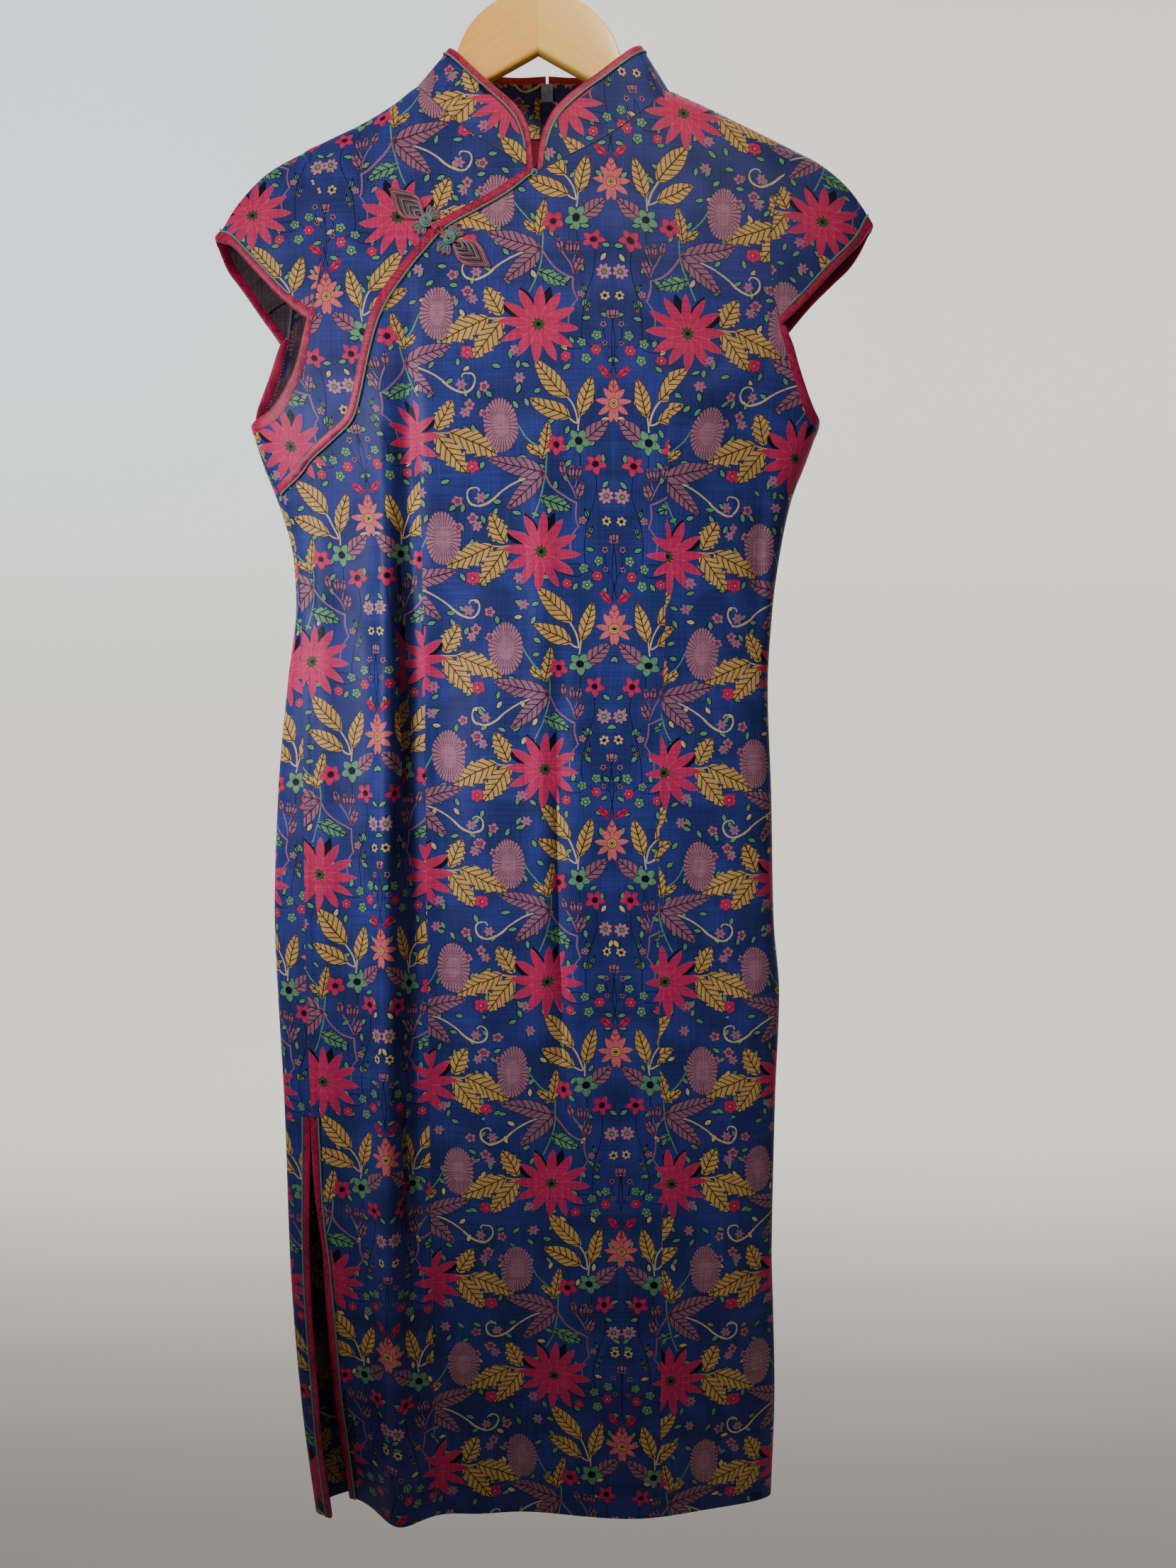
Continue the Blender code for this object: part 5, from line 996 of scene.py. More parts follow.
@dataclass
class Net:
    """Short calls that add nodes to one node tree and join them."""

    tree: bpy.types.NodeTree

    def add(self, kind: str, **settings: object) -> bpy.types.Node:
        """A new node with its settings."""
        node = self.tree.nodes.new(kind)
        for name, value in settings.items():
            setattr(node, name, value)
        return node

    def put(self, socket: Socket, value: Value) -> None:
        """Joins a socket to another, or sets its own value."""
        if isinstance(value, bpy.types.NodeSocket):
            self.tree.links.new(value, socket)
        else:
            socket.default_value = value

    def fill(self, node: bpy.types.Node, values: dict[str | int, Value]) -> bpy.types.Node:
        """Joins or sets a node's inputs, given by name or place; gives the node back."""
        for name, value in values.items():
            self.put(node.inputs[name], value)
        return node

    def calc(self, operation: str, *values: Value) -> Socket:
        """One sum on numbers."""
        node = self.add("ShaderNodeMath", operation=operation)
        return self.fill(node, dict(enumerate(values))).outputs[0]

    def plus(self, one: Value, other: Value) -> Socket:
        """The sum of two numbers."""
        return self.calc("ADD", one, other)

    def minus(self, one: Value, other: Value) -> Socket:
        """The first number less the second."""
        return self.calc("SUBTRACT", one, other)

    def times(self, one: Value, other: Value) -> Socket:
        """The product of two numbers."""
        return self.calc("MULTIPLY", one, other)

    def above(self, one: Value, other: Value) -> Socket:
        """1 where the first number is the larger, otherwise 0."""
        return self.calc("GREATER_THAN", one, other)

    def below(self, one: Value, other: Value) -> Socket:
        """1 where the first number is the smaller, otherwise 0."""
        return self.calc("LESS_THAN", one, other)

    def vector(self, operation: str, *values: Value, scale: Value | None = None) -> Socket:
        """One sum on vectors; a length or dot product comes out as a number."""
        node = self.fill(self.add("ShaderNodeVectorMath", operation=operation), dict(enumerate(values)))
        if scale is not None:
            self.put(node.inputs["Scale"], scale)
        return node.outputs["Value" if operation in ("LENGTH", "DOT_PRODUCT") else "Vector"]

    def parts(self, vector: Value) -> tuple[Socket, Socket, Socket]:
        """The three numbers of a vector."""
        node = self.fill(self.add("ShaderNodeSeparateXYZ"), {0: vector})
        return node.outputs[0], node.outputs[1], node.outputs[2]

    def joined(self, x: Value, y: Value, z: Value = 0.0) -> Socket:
        """A vector from three numbers."""
        return self.fill(self.add("ShaderNodeCombineXYZ"), {0: x, 1: y, 2: z}).outputs[0]

    def mix(self, share: Value, low: Value, high: Value, kind: str = "MIX") -> Socket:
        """A blend of two colours."""
        node = self.add("ShaderNodeMix", data_type="RGBA", blend_type=kind)
        return self.fill(node, {0: share, 6: low, 7: high}).outputs[2]

    def choose(self, share: Value, low: Value, high: Value) -> Socket:
        """A blend of two vectors."""
        node = self.add("ShaderNodeMix", data_type="VECTOR")
        return self.fill(node, {0: share, 4: low, 5: high}).outputs[1]

    def ramp(self, value: Value, low: float, high: float, to_low: float = 0.0,
             to_high: float = 1.0) -> Socket:
        """A smooth step of a value from one range to another."""
        node = self.add("ShaderNodeMapRange", interpolation_type="SMOOTHSTEP")
        return self.fill(node, {0: value, 1: low, 2: high, 3: to_low, 4: to_high}).outputs[0]

    def noise(self, vector: Value, scale: float, detail: float = 2.0, rough: float = 0.5) -> Socket:
        """A cloudy noise."""
        node = self.add("ShaderNodeTexNoise", noise_dimensions="3D")
        self.fill(node, {"Vector": vector, "Scale": scale, "Detail": detail, "Roughness": rough})
        return node.outputs["Fac"]

    def group(self, tree: bpy.types.NodeTree, values: dict[str, Value], output: str) -> Socket:
        """A placed group with its inputs set; one of its outputs."""
        return self.placed(tree, values)[output]

    def placed(self, tree: bpy.types.NodeTree, values: dict[str, Value]) -> dict[str, Socket]:
        """A placed group with its inputs set; all its outputs by name."""
        node = self.fill(self.add("ShaderNodeGroup", node_tree=tree), values)
        return {socket.name: socket for socket in node.outputs}

    def bump(self, height: Value, strength: float, distance: float) -> Socket:
        """A normal from a height."""
        values = {"Strength": strength, "Distance": distance, "Height": height}
        return self.fill(self.add("ShaderNodeBump"), values).outputs["Normal"]

    def map(self) -> Socket:
        """The piece's own map, in metres."""
        return self.add("ShaderNodeUVMap", uv_map=MAP).outputs[0]

    def place(self) -> Socket:
        """The place on the object, in metres."""
        return self.add("ShaderNodeTexCoord").outputs["Object"]


KINDS = {"F": "NodeSocketFloat", "V": "NodeSocketVector", "C": "NodeSocketColor"}


def new_group(name: str, inputs: Sequence[tuple[str, str]], outputs: Sequence[tuple[str, str]],
              ) -> tuple[bpy.types.NodeTree, Net, Callable[[str], Socket], bpy.types.Node]:
    """An empty node group with named sockets.

    Args:
        name: Name of the group.
        inputs: Names and kinds: F a number, V a vector, C a colour.
        outputs: The same for what it puts out.

    Returns:
        The tree, its Net, a call that gives an input by name, and the output node.
    """
    tree = bpy.data.node_groups.new(name, "ShaderNodeTree")
    for label, kind in inputs:
        tree.interface.new_socket(label, in_out="INPUT", socket_type=KINDS[kind])
    for label, kind in outputs:
        tree.interface.new_socket(label, in_out="OUTPUT", socket_type=KINDS[kind])
    net = Net(tree)
    start, end = net.add("NodeGroupInput"), net.add("NodeGroupOutput")
    return tree, net, lambda label: start.outputs[label], end


HALF_REPEAT = 80.0
REPEAT_WIDTH = 100.0
FAR = 1000.0
"""In millimetres of the print: half its height, its width between mirrors, and beyond any motif."""


class Effects:
    """Shared effects, each a node group that is made once."""

    def __init__(self) -> None:
        """Makes every group."""
        self.weave = self.make_weave()
        self.twist = self.make_twist()
        self.wood = self.make_wood()
        self.nearest_bloom = self.make_nearest_bloom()
        self.nearest_blade = self.make_nearest_blade()
        self.flower = self.make_flower()
        self.leaf = self.make_leaf()
        self.stem = self.make_stem()

    @staticmethod
    def make_weave() -> bpy.types.NodeTree:
        """A plain weave.

        Height is the larger of two rounded threads that go over and under each other in
        turn; Slub is a streaky noise along both thread directions.
        """
        tree, net, take, end = new_group("weave", (("Map", "V"), ("Threads", "F"), ("Slant", "F")),
                                         (("Height", "F"), ("Slub", "F")))
        u, v, _ = net.parts(take("Map"))
        across = net.plus(u, net.times(v, take("Slant")))
        up = net.minus(v, net.times(u, take("Slant")))
        a = net.calc("SINE", net.times(net.times(across, take("Threads")), math.pi))
        b = net.calc("SINE", net.times(net.times(up, take("Threads")), math.pi))
        over, swing, level = net.times(a, b), 0.3, 0.7
        warp = net.times(net.calc("ABSOLUTE", a), net.plus(net.times(over, swing), level))
        weft = net.times(net.calc("ABSOLUTE", b), net.minus(level, net.times(over, swing)))
        net.put(end.inputs["Height"], net.calc("MAXIMUM", warp, weft))
        fine, long = 900.0, 26.0
        along = net.noise(net.joined(net.times(across, fine), net.times(up, long)), 1.0, 0.0)
        aside = net.noise(net.joined(net.times(across, long), net.times(up, fine), 7.0), 1.0, 0.0)
        net.put(end.inputs["Slub"], net.times(net.plus(along, aside), 0.5))
        return tree

    @staticmethod
    def make_twist() -> bpy.types.NodeTree:
        """Plies that wind round a cord.

        The phase is the distance along over the pitch, less the turn round; Valley is
        bright between the plies, Fibre a fine noise wound the same way.
        """
        tree, net, take, end = new_group("twist", (("Map", "V"), ("Pitch", "F"), ("Plies", "F")),
                                         (("Valley", "F"), ("Fibre", "F")))
        run, turn, _ = net.parts(take("Map"))
        phase = net.minus(net.calc("DIVIDE", run, take("Pitch")), turn)
        wave = net.calc("COSINE", net.times(net.times(phase, take("Plies")), 2.0 * math.pi))
        net.put(end.inputs["Valley"], net.ramp(wave, -0.2, -0.95))
        fine = net.noise(net.joined(net.times(phase, 14.0), net.times(run, 500.0)), 1.0, 3.0)
        net.put(end.inputs["Fibre"], fine)
        return tree

    @staticmethod
    def make_wood() -> bpy.types.NodeTree:
        """Straight-grained wood: rings of noise drawn out along the grain, with fine pores."""
        tree, net, take, end = new_group("wood grain", (("Place", "V"), ("Along", "V"), ("Aside", "V")),
                                         (("Grain", "F"), ("Pores", "F")))
        run = net.vector("DOT_PRODUCT", take("Place"), take("Along"))
        side = net.vector("DOT_PRODUCT", take("Place"), take("Aside"))
        _, depth, _ = net.parts(take("Place"))
        long = net.joined(net.times(run, 5.0), net.times(side, 60.0), net.times(depth, 60.0))
        bent = net.noise(long, 1.0, 3.0, 0.6)
        rings = net.calc("SINE", net.times(net.plus(bent, net.times(side, 12.0)), 42.0))
        net.put(end.inputs["Grain"], net.ramp(rings, -1.0, 1.0))
        fine = net.joined(net.times(run, 90.0), net.times(side, 2600.0), net.times(depth, 2600.0))
        net.put(end.inputs["Pores"], net.ramp(net.noise(fine, 1.0, 2.0), 0.55, 0.75))
        return tree

    @staticmethod
    def wrapped(net: Net, take: Callable[[str], Socket], start: str) -> Socket:
        """The way from a motif's start to the nearest repeat of a place."""
        away = net.vector("SUBTRACT", take("P"), take(start))
        node = net.add("ShaderNodeVectorMath", operation="WRAP")
        low, high = (-FAR, -HALF_REPEAT, -FAR), (FAR, HALF_REPEAT, FAR)
        return net.fill(node, {0: away, 1: high, 2: low}).outputs[0]

    @staticmethod
    def kept(net: Net, take: Callable[[str], Socket], end: bpy.types.Node, near: Socket,
             found: dict[str, Socket]) -> None:
        """Keeps the nearer of two motifs: each named value is its own or the one so far."""
        closer = net.below(near, take("Near"))
        for name, own in found.items():
            if name in ("Fill", "Line", "Heart"):
                net.put(end.inputs[name], net.mix(closer, take(name), own))
            else:
                net.put(end.inputs[name], net.choose(closer, take(name), own))
        net.put(end.inputs["Near"], net.calc("MINIMUM", near, take("Near")))

    def make_nearest_bloom(self) -> bpy.types.NodeTree:
        """Of the flower so far and this one, the one whose radius holds the place more deeply."""
        state = (("Near", "F"), ("Away", "V"), ("Shape", "V"), ("Fill", "C"), ("Line", "C"),
                 ("Heart", "C"))
        own = (("P", "V"), ("Centre", "V"), ("Size", "V"), ("Form", "V"), ("Own Fill", "C"),
               ("Own Line", "C"), ("Own Heart", "C"))
        tree, net, take, end = new_group("nearest bloom", own + state, state)
        away = self.wrapped(net, take, "Centre")
        away = net.vector("MULTIPLY", away, take("Size"))
        self.kept(net, take, end, net.vector("LENGTH", away), {
            "Away": away, "Shape": take("Form"), "Fill": take("Own Fill"), "Line": take("Own Line"),
            "Heart": take("Own Heart")})
        return tree

    def make_nearest_blade(self) -> bpy.types.NodeTree:
        """Of the leaf so far and this one, the one whose oval holds the place more deeply."""
        state = (("Near", "F"), ("Away", "V"), ("Shape", "V"), ("Fill", "C"), ("Line", "C"))
        own = (("P", "V"), ("Base", "V"), ("Axis", "V"), ("Across", "V"), ("Form", "V"),
               ("Own Fill", "C"), ("Own Line", "C"))
        tree, net, take, end = new_group("nearest blade", own + state, state)
        away = self.wrapped(net, take, "Base")
        local = net.joined(net.vector("DOT_PRODUCT", away, take("Axis")),
                           net.vector("DOT_PRODUCT", away, take("Across")))
        near = net.vector("MULTIPLY_ADD", local, (2.0, 1.0, 1.0), (-1.0, 0.0, 0.0))
        near = net.vector("LENGTH", near)
        self.kept(net, take, end, near, {"Away": local, "Shape": take("Form"), "Fill": take("Own Fill"),
                                         "Line": take("Own Line")})
        return tree

    @staticmethod
    def make_flower() -> bpy.types.NodeTree:
        """A flower seen from above.

        Away is the way from its centre over its radius; Shape holds the number of petals,
        the depth of the notches and the radius in millimetres. The petals end where the
        distance passes a radius that falls from the petal's middle to the notch, as a power of
        the share of the way; lines follow the edge and the seams, and a heart lies in the
        centre. More than 15 petals make a frill, which has lines near its edge and no heart.
        """
        tree, net, take, end = new_group(
            "flower", (("Away", "V"), ("Shape", "V"), ("Ground", "C"), ("Fill", "C"),
                       ("Line", "C"), ("Heart", "C")), (("Color", "C"),))
        x, y, _ = net.parts(take("Away"))
        petals, notch, radius = net.parts(take("Shape"))
        share = net.vector("LENGTH", take("Away"))
        angle = net.plus(net.calc("ARCTAN2", y, x), radius)
        turn = net.times(angle, net.times(petals, 0.159155))
        aside = net.calc("PINGPONG", turn, 0.5)
        bluntness = net.calc("MAXIMUM", net.calc("MULTIPLY_ADD", notch, -5.0, 3.3), 1.2)
        fall = net.calc("POWER", net.times(aside, 2.0), bluntness)
        rim = net.minus(1.0, net.times(notch, fall))
        edge = net.times(net.minus(rim, share), radius)
        frill = net.above(petals, 15.0)
        seam = net.above(aside, net.calc("MULTIPLY_ADD", frill, -0.10, 0.46))
        seam = net.times(seam, net.above(share, net.times(frill, 0.42)))
        heart = net.calc("MINIMUM", 0.28, net.calc("DIVIDE", 4.0, radius))
        heart = net.times(heart, net.minus(1.0, frill))
        heart = net.minus(share, heart)
        petal = net.mix(net.times(seam, 0.75), take("Fill"), take("Line"))
        petal = net.mix(net.below(edge, 0.38), petal, take("Line"))
        petal = net.mix(net.below(heart, 0.0), petal, take("Heart"))
        ring = net.below(net.calc("ABSOLUTE", net.times(heart, radius)), 0.3)
        petal = net.mix(ring, petal, take("Line"))
        net.put(end.inputs["Color"], net.mix(net.above(edge, 0.0), take("Ground"), petal))
        return tree

    @staticmethod
    def make_leaf() -> bpy.types.NodeTree:
        """A leaf or a long petal.

        Away holds the share along it and the way across over its half-width; Shape holds
        its length and half-width in millimetres and the depth of its teeth. Its edge is a
        power of the sine of the share, less a saw-tooth; a midrib runs along it and
        slanting veins leave the midrib.
        """
        tree, net, take, end = new_group(
            "leaf", (("Away", "V"), ("Shape", "V"), ("Ground", "C"), ("Fill", "C"), ("Line", "C")),
            (("Color", "C"),))
        share, side, _ = net.parts(take("Away"))
        length, width, teeth = net.parts(take("Shape"))
        share = net.calc("MINIMUM", net.calc("MAXIMUM", share, 0.0), 1.0)
        swell = net.calc("SINE", net.times(net.calc("POWER", share, 0.8), math.pi))
        swell = net.calc("POWER", swell, 0.75)
        saw = net.times(net.calc("FRACT", net.times(share, 5.0)), teeth)
        side = net.times(net.calc("ABSOLUTE", side), width)
        half = net.times(net.times(swell, net.minus(1.0, saw)), width)
        edge = net.minus(half, side)
        slant = net.calc("SINE", net.times(net.minus(net.times(share, length), side), 1.25))
        veins = net.times(net.above(slant, 0.74), 0.9)
        rib = net.below(net.calc("MINIMUM", side, edge), 0.42)
        fill = net.mix(net.calc("MAXIMUM", veins, rib), take("Fill"), take("Line"))
        net.put(end.inputs["Color"], net.mix(net.above(edge, 0.0), take("Ground"), fill))
        return tree

    def make_stem(self) -> bpy.types.NodeTree:
        """A thin stem, bent into one parabola between its ends; Across is over its half-width."""
        tree, net, take, end = new_group(
            "stem", (("P", "V"), ("Base", "V"), ("Axis", "V"), ("Across", "V"), ("Bend", "F"),
                     ("Ground", "C"), ("Fill", "C")), (("Color", "C"),))
        away = self.wrapped(net, take, "Base")
        share = net.vector("DOT_PRODUCT", away, take("Axis"))
        side = net.vector("DOT_PRODUCT", away, take("Across"))
        square = net.times(net.minus(share, 0.5), net.minus(share, 0.5))
        bow = net.times(net.minus(0.25, square), take("Bend"))
        off = net.calc("ABSOLUTE", net.minus(side, bow))
        end_on = net.calc("ABSOLUTE", net.calc("MULTIPLY_ADD", share, 2.0, -1.0))
        near = net.calc("MAXIMUM", off, end_on)
        net.put(end.inputs["Color"], net.mix(net.below(near, 1.0), take("Ground"), take("Fill")))
        return tree


def new_material(name: str) -> tuple[bpy.types.Material, Net, bpy.types.Node]:
    """A material with its Net and its shader."""
    material = bpy.data.materials.new(name)
    material.use_nodes = True
    net = Net(material.node_tree)
    return material, net, material.node_tree.nodes["Principled BSDF"]


class Ink(Enum):
    """Colours of the print."""

    NAVY = srgb("2b3270")
    DEEP = srgb("212a5a")
    CRIMSON = srgb("a8284e")
    WINE = srgb("6a0f2c")
    ROSE = srgb("bf4c66")
    GOLD = srgb("b08b52")
    BARK = srgb("35260f")
    MAUVE = srgb("7f5668")
    LILAC = srgb("8c5f6e")
    PLUM = srgb("33162c")
    BLUSH = srgb("a26e7a")
    GREEN = srgb("558260")
    MOSS = srgb("3d4a22")
    CORAL = srgb("b45a5c")
    RUST = srgb("7a2430")
    CREAM = srgb("b49c70")
    DARK = srgb("0a0e24")
    SHADE = srgb("0b0e1c")


@dataclass(frozen=True)
class Bloom:
    """A flower of the print: centre across and up from the star, in millimetres."""

    x: float
    v: float
    radius: float
    petals: int
    petal: Ink
    heart: Ink
    line: Ink = Ink.DARK
    notch: float = 0.25
    inner: bool = False
    tall: float = 1.0


@dataclass(frozen=True)
class Blade:
    """A leaf or petal of the print, from its base to its tip, in millimetres."""

    x: float
    v: float
    to_x: float
    to_v: float
    half: float
    fill: Ink
    line: Ink = Ink.DARK
    teeth: float = 0.0


@dataclass(frozen=True)
class Stalk:
    """A stem of the print, from end to end, in millimetres."""

    x: float
    v: float
    to_x: float
    to_v: float
    bend: float = 0.0
    half: float = 0.45
    fill: Ink = Ink.GREEN


STALKS: tuple[Stalk, ...] = (
    Stalk(25.0, -13.0, 33.0, 5.5, 1.5, 0.6, Ink.CREAM),
    Stalk(25.0, -13.0, 31.8, -9.3, -0.8, 0.6, Ink.CREAM),
    Stalk(24.6, -18.0, 23.6, -7.0, 0.0, 0.5, Ink.CREAM),
    Stalk(66.5, -14.2, 48.0, -34.0, 2.5, 0.5, Ink.GREEN),
    Stalk(48.0, -34.0, 57.5, -80.0, -3.5, 0.5, Ink.GREEN),
    Stalk(74.5, 60.4, 87.0, 61.2, -0.6, 0.6, Ink.GOLD),
    Stalk(55.4, -49.2, 82.0, -63.0, 1.8, 0.6, Ink.CREAM),
    Stalk(81.6, -62.7, 95.5, -71.3, -1.3, 0.8, Ink.CREAM),
    Stalk(95.3, -71.3, 103.6, -63.2, -2.5, 0.75, Ink.CREAM),
    Stalk(103.6, -63.4, 98.6, -58.1, -1.6, 0.6, Ink.CREAM),
    Stalk(98.9, -58.1, 95.4, -60.9, -1.0, 0.5, Ink.CREAM),
    Stalk(48.5, -48.0, 26.4, -69.0, 3.5, 0.7, Ink.MAUVE),
    Stalk(26.4, -69.0, 24.4, -85.0, 1.0, 0.6, Ink.MAUVE),
    Stalk(24.4, -85.0, 30.0, -104.0, 2.6, 0.5, Ink.MAUVE),
    Stalk(26.4, -66.0, 35.4, -48.0, 1.0, 0.5, Ink.MAUVE),
    Stalk(27.5, -58.0, 24.4, -48.0, 0.6, 0.4, Ink.MAUVE),
    Stalk(24.2, -31.0, 25.5, -56.0, -1.2, 0.3, Ink.DARK),
    Stalk(13.1, -47.0, 16.0, -75.0, -2.0, 0.3, Ink.DARK),
    Stalk(40.0, 45.0, 22.0, 40.0, 3.0, 0.3, Ink.DARK),
    Stalk(40.0, 45.0, 12.0, 38.0, -6.0, 0.3, Ink.DARK),
    Stalk(1.4, 66.0, 2.0, 22.0, -3.0, 0.3, Ink.DARK), Stalk(6.4, 56.0, 2.0, 40.0, 1.5, 0.3, Ink.DARK),
    Stalk(16.0, -75.0, 21.0, -112.0, 2.0, 0.3, Ink.DARK))
BLADES: tuple[Blade, ...] = (
    Blade(77.2, 62.6, 87.8, 84.6, 8.4, Ink.GOLD, Ink.BARK, 0.34),
    Blade(86.0, 61.2, 120.5, 45.2, 10.0, Ink.GOLD, Ink.BARK, 0.34),
    Blade(77.0, 59.2, 96.8, 32.4, 9.6, Ink.GOLD, Ink.BARK, 0.34),
    Blade(31.6, 4.8, 55.0, 31.4, 7.2, Ink.GOLD, Ink.BARK),
    Blade(31.0, -9.6, 58.0, 4.6, 6.6, Ink.GOLD, Ink.BARK),
    Blade(23.4, -7.8, 15.6, 20.6, 5.6, Ink.GOLD, Ink.BARK),
    Blade(0.0, 1.0, 0.0, 19.4, 4.6, Ink.CORAL, Ink.RUST),
    Blade(20.3, -25.0, 3.4, -10.4, 6.2, Ink.MAUVE, Ink.PLUM),
    Blade(51.8, 56.4, 42.6, 84.0, 5.0, Ink.SHADE, Ink.SHADE),
    Blade(51.8, 56.4, 63.6, 83.6, 5.0, Ink.SHADE, Ink.SHADE),
    Blade(51.8, 56.4, 78.6, 70.6, 5.0, Ink.SHADE, Ink.SHADE),
    Blade(51.0, -39.0, 45.4, -11.4, 5.4, Ink.GOLD, Ink.BARK, 0.34),
    Blade(52.0, -36.0, 62.0, -28.0, 3.2, Ink.GOLD, Ink.BARK),
    Blade(48.5, -48.0, 88.6, -37.2, 6.8, Ink.MAUVE, Ink.PLUM),
    Blade(48.5, -48.0, 75.8, -73.2, 6.2, Ink.MAUVE, Ink.PLUM),
    Blade(34.6, -50.0, 37.4, -38.8, 2.7, Ink.MAUVE, Ink.PLUM),
    Blade(29.0, -52.0, 29.6, -40.0, 2.4, Ink.MAUVE, Ink.PLUM),
    Blade(25.4, -52.0, 23.2, -41.4, 2.4, Ink.MAUVE, Ink.PLUM),
    Blade(26.0, -66.0, 20.4, -52.4, 3.2, Ink.MAUVE, Ink.PLUM),
    Blade(51.4, -65.2, 30.0, -74.0, 6.2, Ink.GREEN, Ink.DARK, 0.26),
    Blade(2.6, 19.6, 11.4, 28.4, 2.9, Ink.CRIMSON, Ink.WINE),
    Blade(1.0, 62.0, 2.0, 69.6, 3.0, Ink.LILAC, Ink.PLUM),
    Blade(20.0, 70.0, 16.0, 66.4, 1.4, Ink.CREAM, Ink.BARK),
    Blade(17.6, -92.0, 14.6, -84.4, 1.6, Ink.GREEN, Ink.DARK),
    Blade(17.0, -80.0, 20.6, -72.0, 1.6, Ink.GREEN, Ink.DARK))
BLOOMS: tuple[Bloom, ...] = (
    Bloom(51.8, 56.4, 28.2, 12, Ink.CRIMSON, Ink.MOSS, Ink.ROSE, 0.52),
    Bloom(78.6, -14.0, 12.6, 32, Ink.LILAC, Ink.LILAC, Ink.PLUM, 0.15, tall=1.58),
    Bloom(51.8, 56.4, 4.6, 9, Ink.MOSS, Ink.DARK, Ink.DARK, 0.30, True),
    Bloom(68.4, 38.0, 4.4, 6, Ink.LILAC, Ink.CRIMSON, Ink.LILAC, 0.50),
    Bloom(65.6, 18.2, 4.2, 6, Ink.LILAC, Ink.CRIMSON, Ink.LILAC, 0.50),
    Bloom(89.4, 13.1, 4.4, 5, Ink.LILAC, Ink.CRIMSON, Ink.PLUM, 0.36),
    Bloom(99.8, 0.4, 4.6, 5, Ink.LILAC, Ink.CRIMSON, Ink.PLUM, 0.36),
    Bloom(89.4, -5.6, 4.0, 5, Ink.LILAC, Ink.CRIMSON, Ink.PLUM, 0.36),
    Bloom(96.8, 75.0, 4.0, 6, Ink.LILAC, Ink.CRIMSON, Ink.LILAC, 0.50),
    Bloom(94.6, -65.6, 4.2, 6, Ink.LILAC, Ink.CRIMSON, Ink.LILAC, 0.50),
    Bloom(101.2, 37.4, 5.2, 5, Ink.CRIMSON, Ink.ROSE, Ink.WINE, 0.24),
    Bloom(0.0, 1.0, 13.2, 8, Ink.CORAL, Ink.GOLD, Ink.RUST, 0.60),
    Bloom(0.0, 1.0, 2.3, 6, Ink.GOLD, Ink.DARK, Ink.DARK, 0.20, True),
    Bloom(24.2, -25.1, 9.2, 5, Ink.GREEN, Ink.DARK, Ink.DARK, 0.44),
    Bloom(40.6, -28.6, 7.8, 5, Ink.CRIMSON, Ink.DARK, Ink.WINE, 0.38),
    Bloom(13.1, -41.6, 8.0, 5, Ink.CRIMSON, Ink.DARK, Ink.WINE, 0.52),
    Bloom(5.7, -64.0, 6.0, 8, Ink.BLUSH, Ink.GREEN, Ink.PLUM, 0.36),
    Bloom(5.0, -81.4, 3.9, 6, Ink.CREAM, Ink.DARK, Ink.BARK, 0.36),
    Bloom(21.4, -80.5, 3.2, 5, Ink.LILAC, Ink.CREAM, Ink.PLUM, 0.34),
    Bloom(11.1, 50.0, 3.9, 5, Ink.GREEN, Ink.CREAM, Ink.DARK, 0.30),
    Bloom(21.7, 44.6, 3.8, 5, Ink.GREEN, Ink.CREAM, Ink.DARK, 0.30),
    Bloom(19.3, 32.7, 4.2, 5, Ink.GREEN, Ink.CREAM, Ink.DARK, 0.30),
    Bloom(11.7, 39.4, 4.1, 6, Ink.CRIMSON, Ink.GOLD, Ink.WINE, 0.22),
    Bloom(33.2, 34.0, 3.8, 6, Ink.CRIMSON, Ink.GOLD, Ink.WINE, 0.22),
    Bloom(6.4, 58.0, 2.8, 5, Ink.LILAC, Ink.PLUM, Ink.PLUM, 0.44),
    Bloom(5.7, 44.3, 2.4, 5, Ink.LILAC, Ink.PLUM, Ink.PLUM, 0.44))


